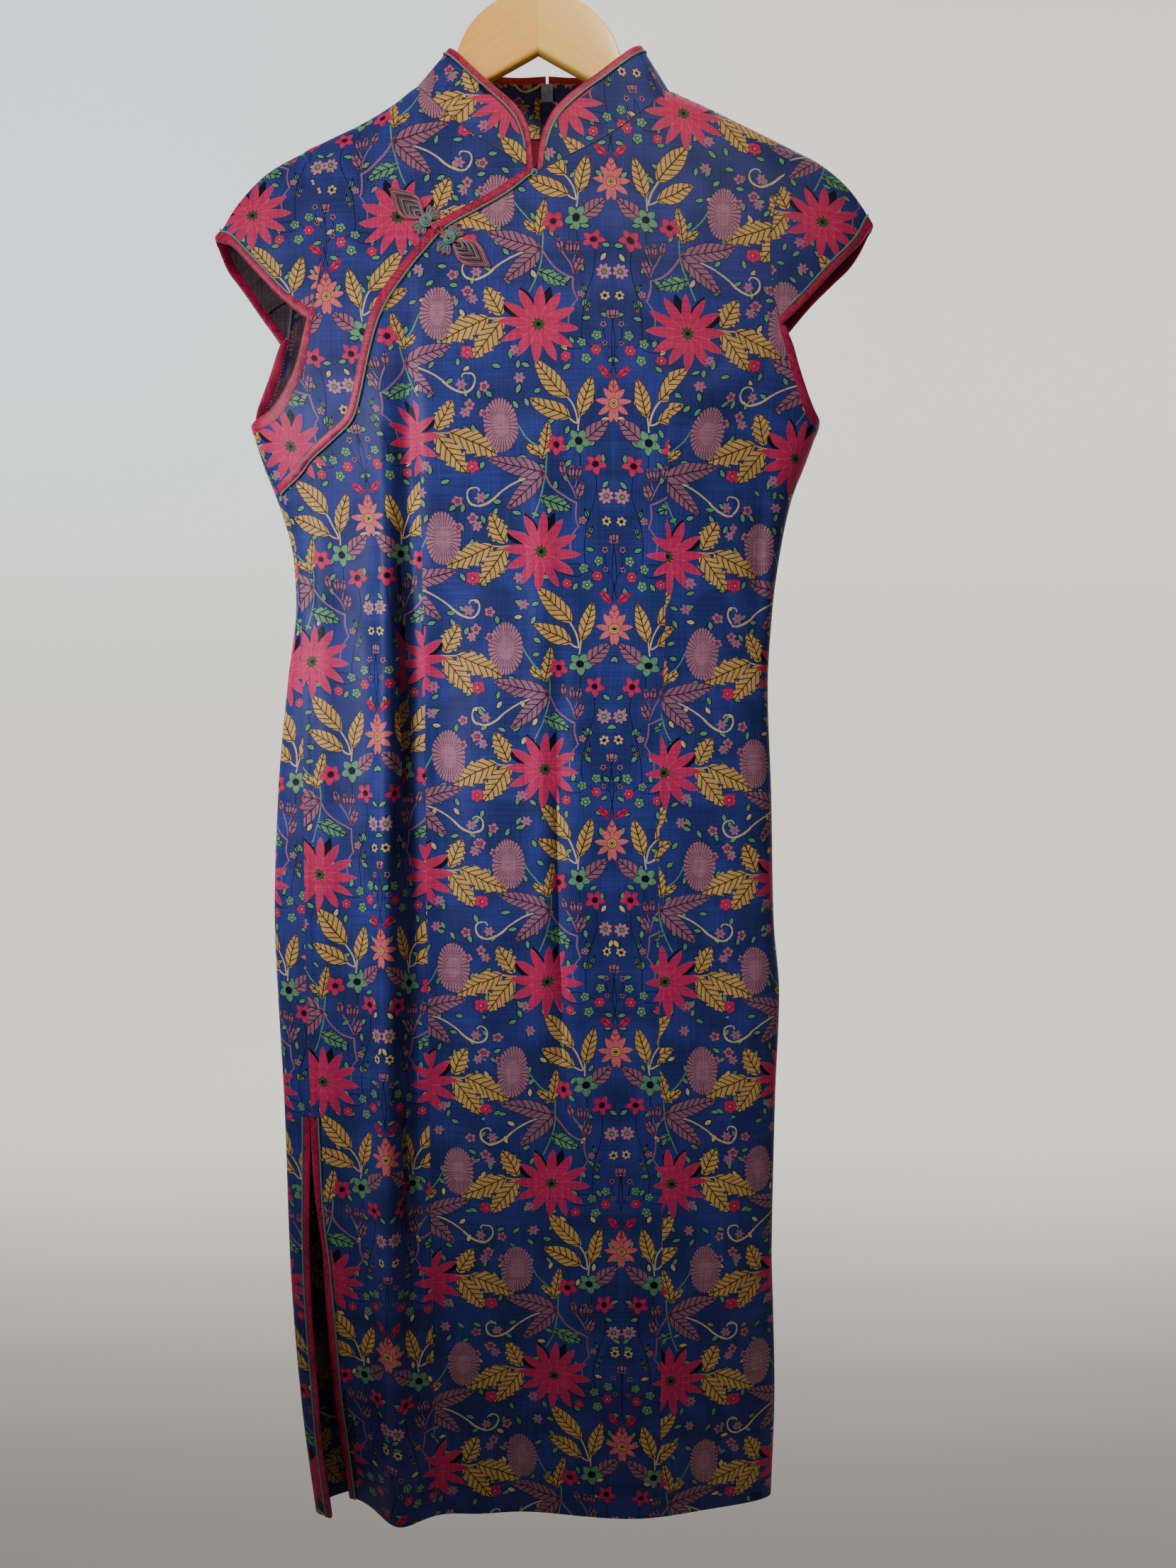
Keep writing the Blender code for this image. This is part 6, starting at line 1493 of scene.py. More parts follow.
@dataclass(frozen=True)
class PrintedCloth:
    """Smooth satin-faced cloth, navy, with a mirrored half-drop garden print."""

    name: str
    effects: Effects
    reverse: bool = False
    repeat: float = 0.1549
    """Height of the repeat in metres."""
    star: float = -0.2138
    """Height of a star's centre in metres."""
    axis_x: float = 0.054
    axis_lean: float = 0.0118
    """Where the mirror line stands at the star, and how far it moves for each metre up."""
    rise_from: float = 0.06
    rise: float = 0.05
    """Distance across from which the print climbs, and its slope there."""
    left_dart: tuple[float, float, float, float] = (-0.080, -0.30, -0.42, -0.020)
    right_dart: tuple[float, float, float, float] = (0.094, -0.32, -0.40, 0.014)
    """Place across of a dart, the heights between which the print steps beyond it, and how far."""

    def material(self) -> bpy.types.Material:
        """The map in metres becomes a place in the repeat; the motifs are laid in order."""
        material, net, shader = new_material(self.name)
        cloth = net.map()
        u, v, _ = net.parts(cloth)
        if not self.reverse:
            x, top, foot, step = self.left_dart
            tuck = net.times(net.below(u, x), net.ramp(v, top, foot, 0.0, step))
            x, top, foot, step = self.right_dart
            other = net.times(net.above(u, x), net.ramp(v, top, foot, 0.0, step))
            u = net.plus(u, net.plus(tuck, other))
        drift = net.noise(cloth, 34.0, 1.0)
        drift = net.joined(net.calc("MULTIPLY_ADD", drift, 5.0, -2.5),
                           net.calc("MULTIPLY_ADD", drift, -4.0, 2.0))
        past = net.calc("MAXIMUM", net.minus(u, self.rise_from), 0.0)
        up = net.minus(net.plus(v, net.times(past, self.rise)), self.star)
        axis = net.minus(self.axis_x, net.times(up, self.axis_lean))
        across = net.times(net.minus(u, axis), 1000.0)
        wide = 2.0 * REPEAT_WIDTH
        across = net.calc("ABSOLUTE", net.calc("WRAP", across, wide, -wide))
        up = net.times(up, 2.0 * HALF_REPEAT / self.repeat)
        far = net.above(across, REPEAT_WIDTH)
        folded = net.plus(net.times(across, net.minus(1.0, net.times(far, 2.0))), net.times(far, wide))
        up = net.plus(up, net.times(far, HALF_REPEAT))
        place = net.vector("ADD", net.joined(folded, up), drift)
        place = net.vector("MULTIPLY", place, (1.0, 1.0, 0.0))
        colour = self.filling(net, place)
        colour = self.stems(net, place, colour)
        colour = self.leaves(net, place, colour)
        colour = self.flowers(net, place, colour)
        weave = {"Map": cloth, "Threads": 2300.0, "Slant": 0.0}
        slub = net.group(self.effects.weave, weave, "Slub")
        shade = net.mix(net.ramp(slub, 0.35, 0.65), (0.82, 0.82, 0.84, 1.0), (1.12, 1.11, 1.10, 1.0))
        colour = net.mix(1.0, colour, shade, "MULTIPLY")
        if self.reverse:
            colour = net.mix(0.60, colour, srgb("1d161d"))
        rough = (0.62, 0.74) if self.reverse else (0.40, 0.52)
        net.fill(shader, {
            "Base Color": colour, "Roughness": net.ramp(slub, 0.3, 0.7, *rough),
            "Specular IOR Level": 0.09,
            "Normal": net.bump(net.group(self.effects.weave, weave, "Height"), 0.14, 0.0002)})
        return material

    @staticmethod
    def twice(x: float, v: float, to_x: float, to_v: float, reach: float = 8.0,
              ) -> list[tuple[float, float, float, float]]:
        """A motif, and its mirrored half-drop copy where it crosses the line between repeats."""
        found = [(x, v, to_x, to_v)]
        if max(x, to_x) + reach > REPEAT_WIDTH:
            wide = 2.0 * REPEAT_WIDTH
            found.append((wide - x, v + HALF_REPEAT, wide - to_x, to_v + HALF_REPEAT))
        if min(x, to_x) - reach < 0.0 and (x, to_x) != (0.0, 0.0):
            found.append((-x, v, -to_x, to_v))
        return found

    @staticmethod
    def laid(x: float, v: float, to_x: float, to_v: float, half: float,
             ) -> tuple[float, dict[str, Value]]:
        """Length of a motif from its base to its tip, and the inputs that lay it there.

        Axis turns the way from the base into a share of the length, and Across into a
        number of half-widths.
        """
        run, rise = to_x - x, to_v - v
        length = math.hypot(run, rise)
        size = length * half
        return length, {"Base": (x, v, 0.0), "Axis": (run / length ** 2, rise / length ** 2, 0.0),
                        "Across": (-rise / size, run / size, 0.0)}

    def stems(self, net: Net, place: Socket, colour: Socket) -> Socket:
        """The stems over the ground."""
        for stalk in STALKS:
            copies = self.twice(stalk.x, stalk.v, stalk.to_x, stalk.to_v)
            for (x, v, to_x, to_v), bend in zip(copies, (stalk.bend, -stalk.bend, -stalk.bend)):
                _, laid = self.laid(x, v, to_x, to_v, stalk.half)
                colour = net.group(self.effects.stem, {
                    "P": place, **laid, "Bend": 4.0 * bend / stalk.half, "Ground": colour,
                    "Fill": stalk.fill.value}, "Color")
        return colour

    def leaves(self, net: Net, place: Socket, colour: Socket) -> Socket:
        """The nearest leaf to each place, drawn over the stems."""
        state: dict[str, Value] = {"Near": 1.35}
        for blade in BLADES:
            for x, v, to_x, to_v in self.twice(blade.x, blade.v, blade.to_x, blade.to_v):
                length, laid = self.laid(x, v, to_x, to_v, blade.half)
                state = net.placed(self.effects.nearest_blade, {
                    "P": place, **laid, "Form": (length, blade.half, blade.teeth),
                    "Own Fill": blade.fill.value, "Own Line": blade.line.value, **state})
        del state["Near"]
        return net.group(self.effects.leaf, {**state, "Ground": colour}, "Color")

    def flowers(self, net: Net, place: Socket, colour: Socket) -> Socket:
        """The nearest flower to each place, then the inner petals of the double ones."""
        for layer in (False, True):
            state: dict[str, Value] = {"Near": 1.0}
            for bloom in BLOOMS:
                if bloom.inner is not layer:
                    continue
                for x, v, _, _ in self.twice(bloom.x, bloom.v, bloom.x, bloom.v, bloom.radius):
                    size = (1.0 / bloom.radius, 1.0 / (bloom.radius * bloom.tall), 0.0)
                    state = net.placed(self.effects.nearest_bloom, {
                        "P": place, "Centre": (x, v, 0.0), "Size": size,
                        "Form": (float(bloom.petals), bloom.notch, bloom.radius),
                        "Own Fill": bloom.petal.value, "Own Line": bloom.line.value,
                        "Own Heart": bloom.heart.value, **state})
            near = state.pop("Near")
            drawn = net.group(self.effects.flower, {**state, "Ground": colour}, "Color")
            colour = net.mix(net.below(near, 0.999), colour, drawn)
        return colour

    @staticmethod
    def filling(net: Net, place: Socket) -> Socket:
        """The ground with small leaves: one turned lens in most cells of a Voronoi net."""
        cells = net.add("ShaderNodeTexVoronoi", voronoi_dimensions="2D", feature="F1")
        spot = net.vector("SCALE", place, scale=0.078)
        net.fill(cells, {"Vector": spot, "Scale": 1.0, "Randomness": 0.8})
        split = net.fill(net.add("ShaderNodeSeparateColor"), {0: cells.outputs["Color"]})
        spun = net.add("ShaderNodeVectorRotate", rotation_type="Z_AXIS")
        net.fill(spun, {"Vector": net.vector("SUBTRACT", spot, cells.outputs["Position"]),
                        "Angle": net.times(split.outputs[0], 6.2832)})
        x, y, _ = net.parts(spun.outputs[0])
        lens = net.plus(net.times(net.times(x, x), 17.0), net.times(net.calc("ABSOLUTE", y), 8.5))
        across, _, _ = net.parts(place)
        some = net.above(split.outputs[2], net.ramp(across, 40.0, 60.0, 0.55, 0.2))
        leaf = net.times(net.below(lens, 1.0), some)
        rim = net.times(net.below(lens, 1.5), some)
        tint = net.mix(net.above(split.outputs[1], 0.86), Ink.GREEN.value, Ink.CREAM.value)
        cloud = net.ramp(net.noise(place, 0.03, 1.0), 0.35, 0.65)
        ground = net.mix(cloud, Ink.DEEP.value, Ink.NAVY.value)
        ground = net.mix(rim, ground, Ink.DARK.value)
        return net.mix(leaf, ground, tint)


@dataclass(frozen=True)
class WovenCloth:
    """Plain or satin cloth of one dye, with slubs, a visible weave and a soft sheen."""

    name: str
    effects: Effects
    colour: str
    deep: str
    threads: float = 1800.0
    slant: float = 0.0
    rough: float = 0.5
    sheen: float = 0.2
    relief: float = 0.3

    def material(self) -> bpy.types.Material:
        """Two tones of the dye follow the slubs and a slow cloud; the deeper tone is also painted as
        shade into the low parts of the weave.
        """
        material, net, shader = new_material(self.name)
        values = {"Map": net.map(), "Threads": self.threads, "Slant": self.slant}
        slub = net.group(self.effects.weave, values, "Slub")
        cloud = net.noise(net.place(), 60.0, 2.0)
        share = net.ramp(net.plus(net.times(slub, 0.6), net.times(cloud, 0.4)), 0.36, 0.62)
        height = net.group(self.effects.weave, values, "Height")
        colour = net.mix(share, srgb(self.deep), srgb(self.colour))
        # Painted shade: the low parts between the threads take the deeper tone.
        colour = net.mix(net.ramp(height, 0.45, 0.05, 0.0, 0.35), colour, srgb(self.deep))
        net.fill(shader, {
            "Base Color": colour,
            "Roughness": net.ramp(slub, 0.3, 0.7, self.rough - 0.05, self.rough + 0.08),
            "Sheen Weight": self.sheen, "Sheen Roughness": 0.35, "Specular IOR Level": 0.22,
            "Normal": net.bump(height, self.relief, 0.00015)})
        return material


@dataclass(frozen=True)
class CordThread:
    """Twisted or wrapped cord: bright plies, valleys darkened as painted shade, fine fibres."""

    name: str
    effects: Effects
    colour: str
    deep: str
    pitch: float = 0.0030
    plies: float = 2.0

    def material(self) -> bpy.types.Material:
        """Colour and height follow the twist along the cord's own map; the colour darkens in the
        valleys as painted shade.
        """
        material, net, shader = new_material(self.name)
        values = {"Map": net.map(), "Pitch": self.pitch, "Plies": self.plies}
        valley = net.group(self.effects.twist, values, "Valley")
        fibre = net.group(self.effects.twist, values, "Fibre")
        colour = net.mix(net.ramp(fibre, 0.35, 0.65, 0.0, 0.45), srgb(self.colour), srgb(self.deep))
        # Painted shade: the valleys between the plies take the deeper colour.
        net.fill(shader, {
            "Base Color": net.mix(net.times(valley, 0.75), colour, srgb(self.deep)),
            "Roughness": net.ramp(fibre, 0.3, 0.7, 0.42, 0.62), "Sheen Weight": 0.25,
            "Normal": net.bump(net.minus(net.times(fibre, 0.5), valley), 0.5, 0.00025)})
        return material


@dataclass(frozen=True)
class VarnishedWood:
    """Pale varnished wood with straight grain along one direction."""

    name: str
    effects: Effects
    light: str
    dark: str
    along: tuple[float, float, float]

    def material(self) -> bpy.types.Material:
        """Grain and pores set the colour, the gloss and a shallow relief."""
        material, net, shader = new_material(self.name)
        x, _, z = self.along
        values = {"Place": net.place(), "Along": self.along, "Aside": (-z, 0.0, x)}
        grain = net.group(self.effects.wood, values, "Grain")
        pores = net.group(self.effects.wood, values, "Pores")
        cloud = net.noise(net.place(), 22.0, 2.0)
        colour = net.mix(net.times(grain, 0.30), srgb(self.light), srgb(self.dark))
        colour = net.mix(net.ramp(cloud, 0.4, 0.7, 0.0, 0.12), colour, srgb("f3d79a"))
        colour = net.mix(net.times(pores, 0.25), colour, srgb("8f6a34"))
        net.fill(shader, {
            "Base Color": colour, "Roughness": net.ramp(grain, 0.0, 1.0, 0.30, 0.40),
            "Coat Weight": 0.15, "Coat Roughness": 0.18,
            "Normal": net.bump(net.minus(net.times(grain, 0.3), pores), 0.16, 0.0002)})
        return material


@dataclass(frozen=True)
class Metalwork:
    """Plated wire or enamelled metal, with fine scratches and a little dullness."""

    name: str
    colour: str
    dull: str
    metallic: float
    rough: float
    coat: float = 0.0

    def material(self) -> bpy.types.Material:
        """A slow cloud dulls it; a fine stretched noise scratches it."""
        material, net, shader = new_material(self.name)
        place = net.place()
        cloud = net.noise(place, 180.0, 3.0, 0.6)
        fine = net.noise(net.vector("MULTIPLY", place, (4000.0, 4000.0, 900.0)), 1.0, 2.0)
        colour = net.mix(net.ramp(cloud, 0.45, 0.75), srgb(self.colour), srgb(self.dull))
        wear = net.plus(net.times(cloud, 0.6), net.times(fine, 0.4))
        net.fill(shader, {
            "Base Color": colour,
            "Roughness": net.ramp(wear, 0.3, 0.7, self.rough - 0.05, self.rough + 0.10),
            "Metallic": self.metallic, "Coat Weight": self.coat,
            "Normal": net.bump(fine, 0.06, 0.0001)})
        return material


@dataclass(frozen=True)
class Plaster:
    """Pale matt paint with painted light: cool and light above as if lit, warm and deeper low down and
    to one side as painted shade, and far parts that give off a painted light.
    """

    name: str
    cool: str
    warm: str
    deep: str
    painted_glow: float

    def material(self) -> bpy.types.Material:
        """Three close tones by height and side, in faint clouds, paint the light and shade; the part
        behind gives off a little painted light.
        """
        material, net, shader = new_material(self.name)
        place = net.place()
        x, y, z = net.parts(place)
        cloud = net.calc("MULTIPLY_ADD", net.noise(place, 0.7, 3.0), 0.5, -0.25)
        # Painted light: a cool lit tint to the left and a warm painted shade to the right.
        tone = net.mix(net.ramp(net.plus(x, cloud), -3.4, 3.0), srgb(self.cool), srgb(self.warm))
        # Painted shade: darker towards the bottom.
        tone = net.mix(net.ramp(z, 2.0, -1.7), tone, srgb(self.deep))
        # Painted light: the far parts of the sweep give off light though they are no lamp.
        painted_glow = net.calc("MAXIMUM", net.ramp(y, 0.4, 2.0), net.ramp(y, -3.5, -6.0))
        net.fill(shader, {"Base Color": tone, "Emission Color": tone,
                          "Emission Strength": net.times(painted_glow, self.painted_glow), "Roughness": 0.9})
        return material


class Wardrobe:
    """Every finish of the object, made once."""

    def __init__(self) -> None:
        """Makes the materials."""
        effects = Effects()
        self.print = PrintedCloth("printed satin", effects).material()
        self.reverse = PrintedCloth("printed satin reverse", effects, True).material()
        self.lining = WovenCloth("taupe lining", effects, "4a3b40", "2a2126", 2000.0, 0.0, 0.55,
                                 0.25).material()
        self.binding = WovenCloth("crimson satin binding", effects, "a31a42", "640826", 1700.0, 1.0,
                                  0.36, 0.0).material()
        self.piping = CordThread("sage twisted piping", effects, "5d8a7e", "173638").material()
        self.frog_cord = CordThread("teal frog cord", effects, "5f9588", "173a3c", 0.0016).material()
        self.frog_red = CordThread("crimson frog cord", effects, "a8183e", "560a22", 0.0014).material()
        self.thread = CordThread("crimson sewing thread", effects, "d85a78", "8a1a3c",
                                 0.0010).material()
        # Navy thread for the hem stitches and the zip coil, also laid as painted shade along seams and
        # under the frog's leaves.
        self.navy_thread_and_shade = CordThread("navy sewing thread and painted seam shade", effects, "151c3c", "080b1a",
                                      0.0010).material()
        self.tape = WovenCloth("navy zip tape", effects, "2a3668", "161d40", 1100.0, 0.5, 0.7, 0.1,
                               0.6).material()
        self.enamel = Metalwork("blue enamel", "6f7fb8", "56659c", 0.1, 0.34, 0.5).material()
        along, up = 0.86, 0.51
        self.wood_left = VarnishedWood("wood of the left half", effects, "f4b44a", "dd9f3c",
                                       (along, 0.0, up)).material()
        self.wood_right = VarnishedWood("wood of the right half", effects, "fac45e", "eab04e",
                                        (along, 0.0, -up)).material()
        self.chrome = Metalwork("plated hook wire", "d6d6da", "a9aab0", 1.0, 0.22).material()


# ---------------------------------------------------------------- sub-assemblies
@dataclass
class Maker:
    """What every sub-assembly needs: the cut, the finishes, and how a piece is handed over."""

    cut: Cut
    shop: Wardrobe

    def give(self, piece: bpy.types.Object, looks: Sequence[bpy.types.Material], slot: str,
             replaces: Sequence[str] = ()) -> bpy.types.Object:
        """Dresses a piece and puts it on the dress's body.

        Args:
            piece: The new piece.
            looks: Its materials.
            slot: The record's material slot; not used.
            replaces: CAD nodes that it stands for.

        Returns:
            The piece.
        """
        for look in looks:
            piece.data.materials.append(look)
        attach(piece, "dress")
        if replaces:
            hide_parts(*replaces)
        LOG.info("%s: %d faces", piece.name, len(piece.data.polygons))
        return piece

    def on_front(self, centre: Sequence[float], axis: Sequence[float], along: Array, across: Array,
                 out: Array | float) -> Array:
        """Points on the front at distances along and across an axis from a centre."""
        axis = np.asarray(axis, float) / math.hypot(*axis)
        along, across, out = np.broadcast_arrays(along, across, out)
        x = centre[0] + along * axis[0] - across * axis[1]
        z = centre[1] + along * axis[1] + across * axis[0]
        place = self.cut.tube.on_side(np.stack((x.ravel(), z.ravel()), 1))[:, 0].reshape(x.shape)
        return self.cut.tube.at(place, z, out)


def node_of(piece: bpy.types.Object) -> str:
    """Name of the CAD node that a piece is named after."""
    return piece.name.removeprefix("fine_")


def rounded(rows: int, half: float, root: float) -> Array:
    """Half-thickness of a binding over an edge: swollen, then a quarter circle to nothing."""
    share = np.linspace(0.0, 1.0, rows)
    turn = np.clip((share - 0.72) / 0.28, 0.0, 1.0)
    swell = root + (half - root) * np.sin(math.pi * np.minimum(share, 0.5))
    return (swell * np.sqrt(1.0 - turn ** 2))[:, None]


def lengthened(band: Array, steps: float) -> Array:
    """A band whose columns run a little past both ends."""
    first = band[:, :1] - steps * (band[:, 1:2] - band[:, :1])
    last = band[:, -1:] + steps * (band[:, -1:] - band[:, -2:-1])
    return np.concatenate((first, band, last), axis=1)


def ribbon(name: str, place: Callable[[Array], Array], under: Array, over: Array) -> bpy.types.Object:
    """A band of cloth between two distances from a surface.

    Args:
        name: Name of the piece.
        place: Gives the band's points for a column of distances from the surface.
        under: Distance of the lower face, one for each row across.
        over: Distance of the upper face.

    Returns:
        The piece, with a map of metres along and across.
    """
    low, high = place(under), place(over)
    uv = np.stack((lengths_along(low, 1), lengths_along(low, 0)), -1)
    return shell(name, low, high, uv)


COLLAR_HALF = 0.0008
"""Half the collar's thickness."""


@dataclass
class Panels(Maker):
    """The printed pattern pieces, with the sizes they are cut to."""

    up: int = 5
    across: int = 5
    tuck: float = 0.0015
    sunk: tuple[float, float] = (0.0005, 0.0002)
    """How far a sleeve runs in past its seam, and how far its first two rows lie below the cloth."""
    sleeve_stretch: float = 1.1
    sleeve_shift: float = 0.03
    """Cloth for each length of drop on a sleeve, and how far the print steps behind its crest."""
    sheets: ClassVar[dict[str, tuple[float, float, float]]] = {
        "front_main": (0.405, 1.090, 0.365), "front_underlap": (0.205, 0.290, 0.0212),
        "back_left": (0.240, 1.088, 0.2260), "back_right": (0.204, 1.084, 0.1805),
        "sleeve_left": (0.257, 0.082, 0.0103), "sleeve_right": (0.254, 0.070, 0.0103),
        "collar_left": (0.211, 0.036, 0.0067), "collar_right": (0.215, 0.036, 0.0071)}

    def panel(self, name: str, grid: Array, back: int, curl: bool = False,
              lined: bool = False) -> bpy.types.Object:
        """A printed panel on the tube; lined gives its inner face the print's reverse."""
        fine = finer(grid, self.up, self.across)
        place, z = fine[..., 0], fine[..., 1]
        half = self.cut.cloth / 2
        under, over = (self.cut.tube.at(place, z, out, curl) for out in (-half, half))
        piece = shell(name, under, over, self.cut.tube.grain(place, z, back))
        looks = [self.shop.print, self.shop.reverse] if lined else [self.shop.print]
        if lined:
            self.turn_inside(piece)
        return self.give(piece, looks, "print", (name,))

    @staticmethod
    def turn_inside(piece: bpy.types.Object) -> None:
        """Gives the second material to faces that look in towards the tube's middle."""
        count = len(piece.data.polygons)
        normals, middles = np.empty(count * 3), np.empty(count * 3)
        piece.data.polygons.foreach_get("normal", normals)
        piece.data.polygons.foreach_get("center", middles)
        normal, middle = normals.reshape(-1, 3), middles.reshape(-1, 3)
        away = middle - np.stack((0.85 * middle[:, 0], 0.0 * middle[:, 0] - 0.01, middle[:, 2]), 1)
        inward = (normal * away).sum(1) < 0.0
        piece.data.polygons.foreach_set("material_index", inward.astype(np.int32))

    def build(self) -> dict[str, bpy.types.Object]:
        """Front, underlap, two backs, two sleeves and two halves of the collar."""
        cut = self.cut
        made = {"front_main": self.panel("front_main", cut.front(), 0, True, True),
                "front_underlap": self.panel("front_underlap", cut.underlap(), 0)}
        for side, name in SIDES:
            made[f"back_{name}"] = self.panel(f"back_{name}", cut.back(side), side, False, True)
            seam, hem, _ = cut.sleeve_lines(side)
            path = finer(between(seam, hem, cut.sleeve_shares), self.up, self.across)
            path = np.concatenate((path[:1] - self.tuck * unit(path[1:2] - path[:1]), path))
            x, drop = path[..., 0], np.abs(path[..., 1])
            uv = np.stack((x, cut.tube.ridge(x) - drop * self.sleeve_stretch), -1)
            uv[..., 1] += np.where(path[..., 1] > 0, self.sleeve_shift, 0.0) * smooth(drop / 0.02)
            half, sunk = cut.cloth / 2, np.zeros((len(path), 1))
            sunk[:2, 0] = self.sunk
            under, over = (cut.sleeve_at(path, out - sunk) for out in (-half, half))
            piece = shell(f"sleeve_{name}", under, over, uv)
            self.turn_inside(piece)
            looks = [self.shop.print, self.shop.lining]
            made[node_of(piece)] = self.give(piece, looks, "print", (node_of(piece),))
            points, normal = cut.collar_band(side, None, cut.binding + cut.seam, 14)
            uv = np.stack((points[..., 0] + side * points[..., 1], points[..., 2]), -1)
            under, over = (points + out * normal for out in (-COLLAR_HALF, COLLAR_HALF))
            piece = shell(f"collar_{name}", under, over, uv)
            made[node_of(piece)] = self.give(piece, [self.shop.print], "print", (node_of(piece),))
        return made

    def declare(self, made: dict[str, bpy.types.Object],
                trims: dict[str, list[bpy.types.Object]]) -> None:
        """Goes over the size that each piece of cloth was cut to and what is sewn on it, and keeps
        nothing.
        """
        for name, (width, length, area) in self.sheets.items():
            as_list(trims.get(name, []))


@dataclass
class Linings(Maker):
    """Plain lining that shows through the armholes and inside the sleeves."""

    thick: float = 0.0010
    sheets: ClassVar[dict[str, tuple[float, float, float]]] = {
        "back_left": (0.207, 0.282, 0.0445), "back_right": (0.194, 0.233, 0.0337),
        "sleeve_left": (0.240, 0.078, 0.0091), "sleeve_right": (0.238, 0.068, 0.0092)}

    def build(self) -> None:
        """A shell just inside each back half and each sleeve."""
        cut = self.cut
        near = cut.cloth / 2 + cut.seam
        far = near + self.thick
        for side, name in SIDES:
            grid = finer(cut.back(side)[cut.slit_rows + cut.side_rows:-1, 1:-1], 4, 4)
            place, z = grid[..., 0], grid[..., 1]
            uv = cut.tube.grain(place, z, side)
            under, over = (cut.tube.at(place, z, -depth) for depth in (far, near))
            self.hand(shell(f"lining_back_{name}", under, over, uv), self.sheets[f"back_{name}"])
            seam, hem, _ = cut.sleeve_lines(side)
            inner = between(seam, hem, cut.sleeve_shares)[:, 1:-1]
            inner[0] = inner[0] + 0.05 * (inner[1] - inner[0])
            inner[-1] = inner[-1] + 0.06 * (inner[-2] - inner[-1])
            path = finer(inner, 4, 4)
            under, over = (cut.sleeve_at(path, -depth) for depth in (far, near))
            self.hand(shell(f"lining_sleeve_{name}", under, over, path), self.sheets[f"sleeve_{name}"])

    def hand(self, piece: bpy.types.Object, size: tuple[float, float, float]) -> None:
        """Dresses a lining."""
        self.give(piece, [self.shop.lining], "lining", (node_of(piece),))


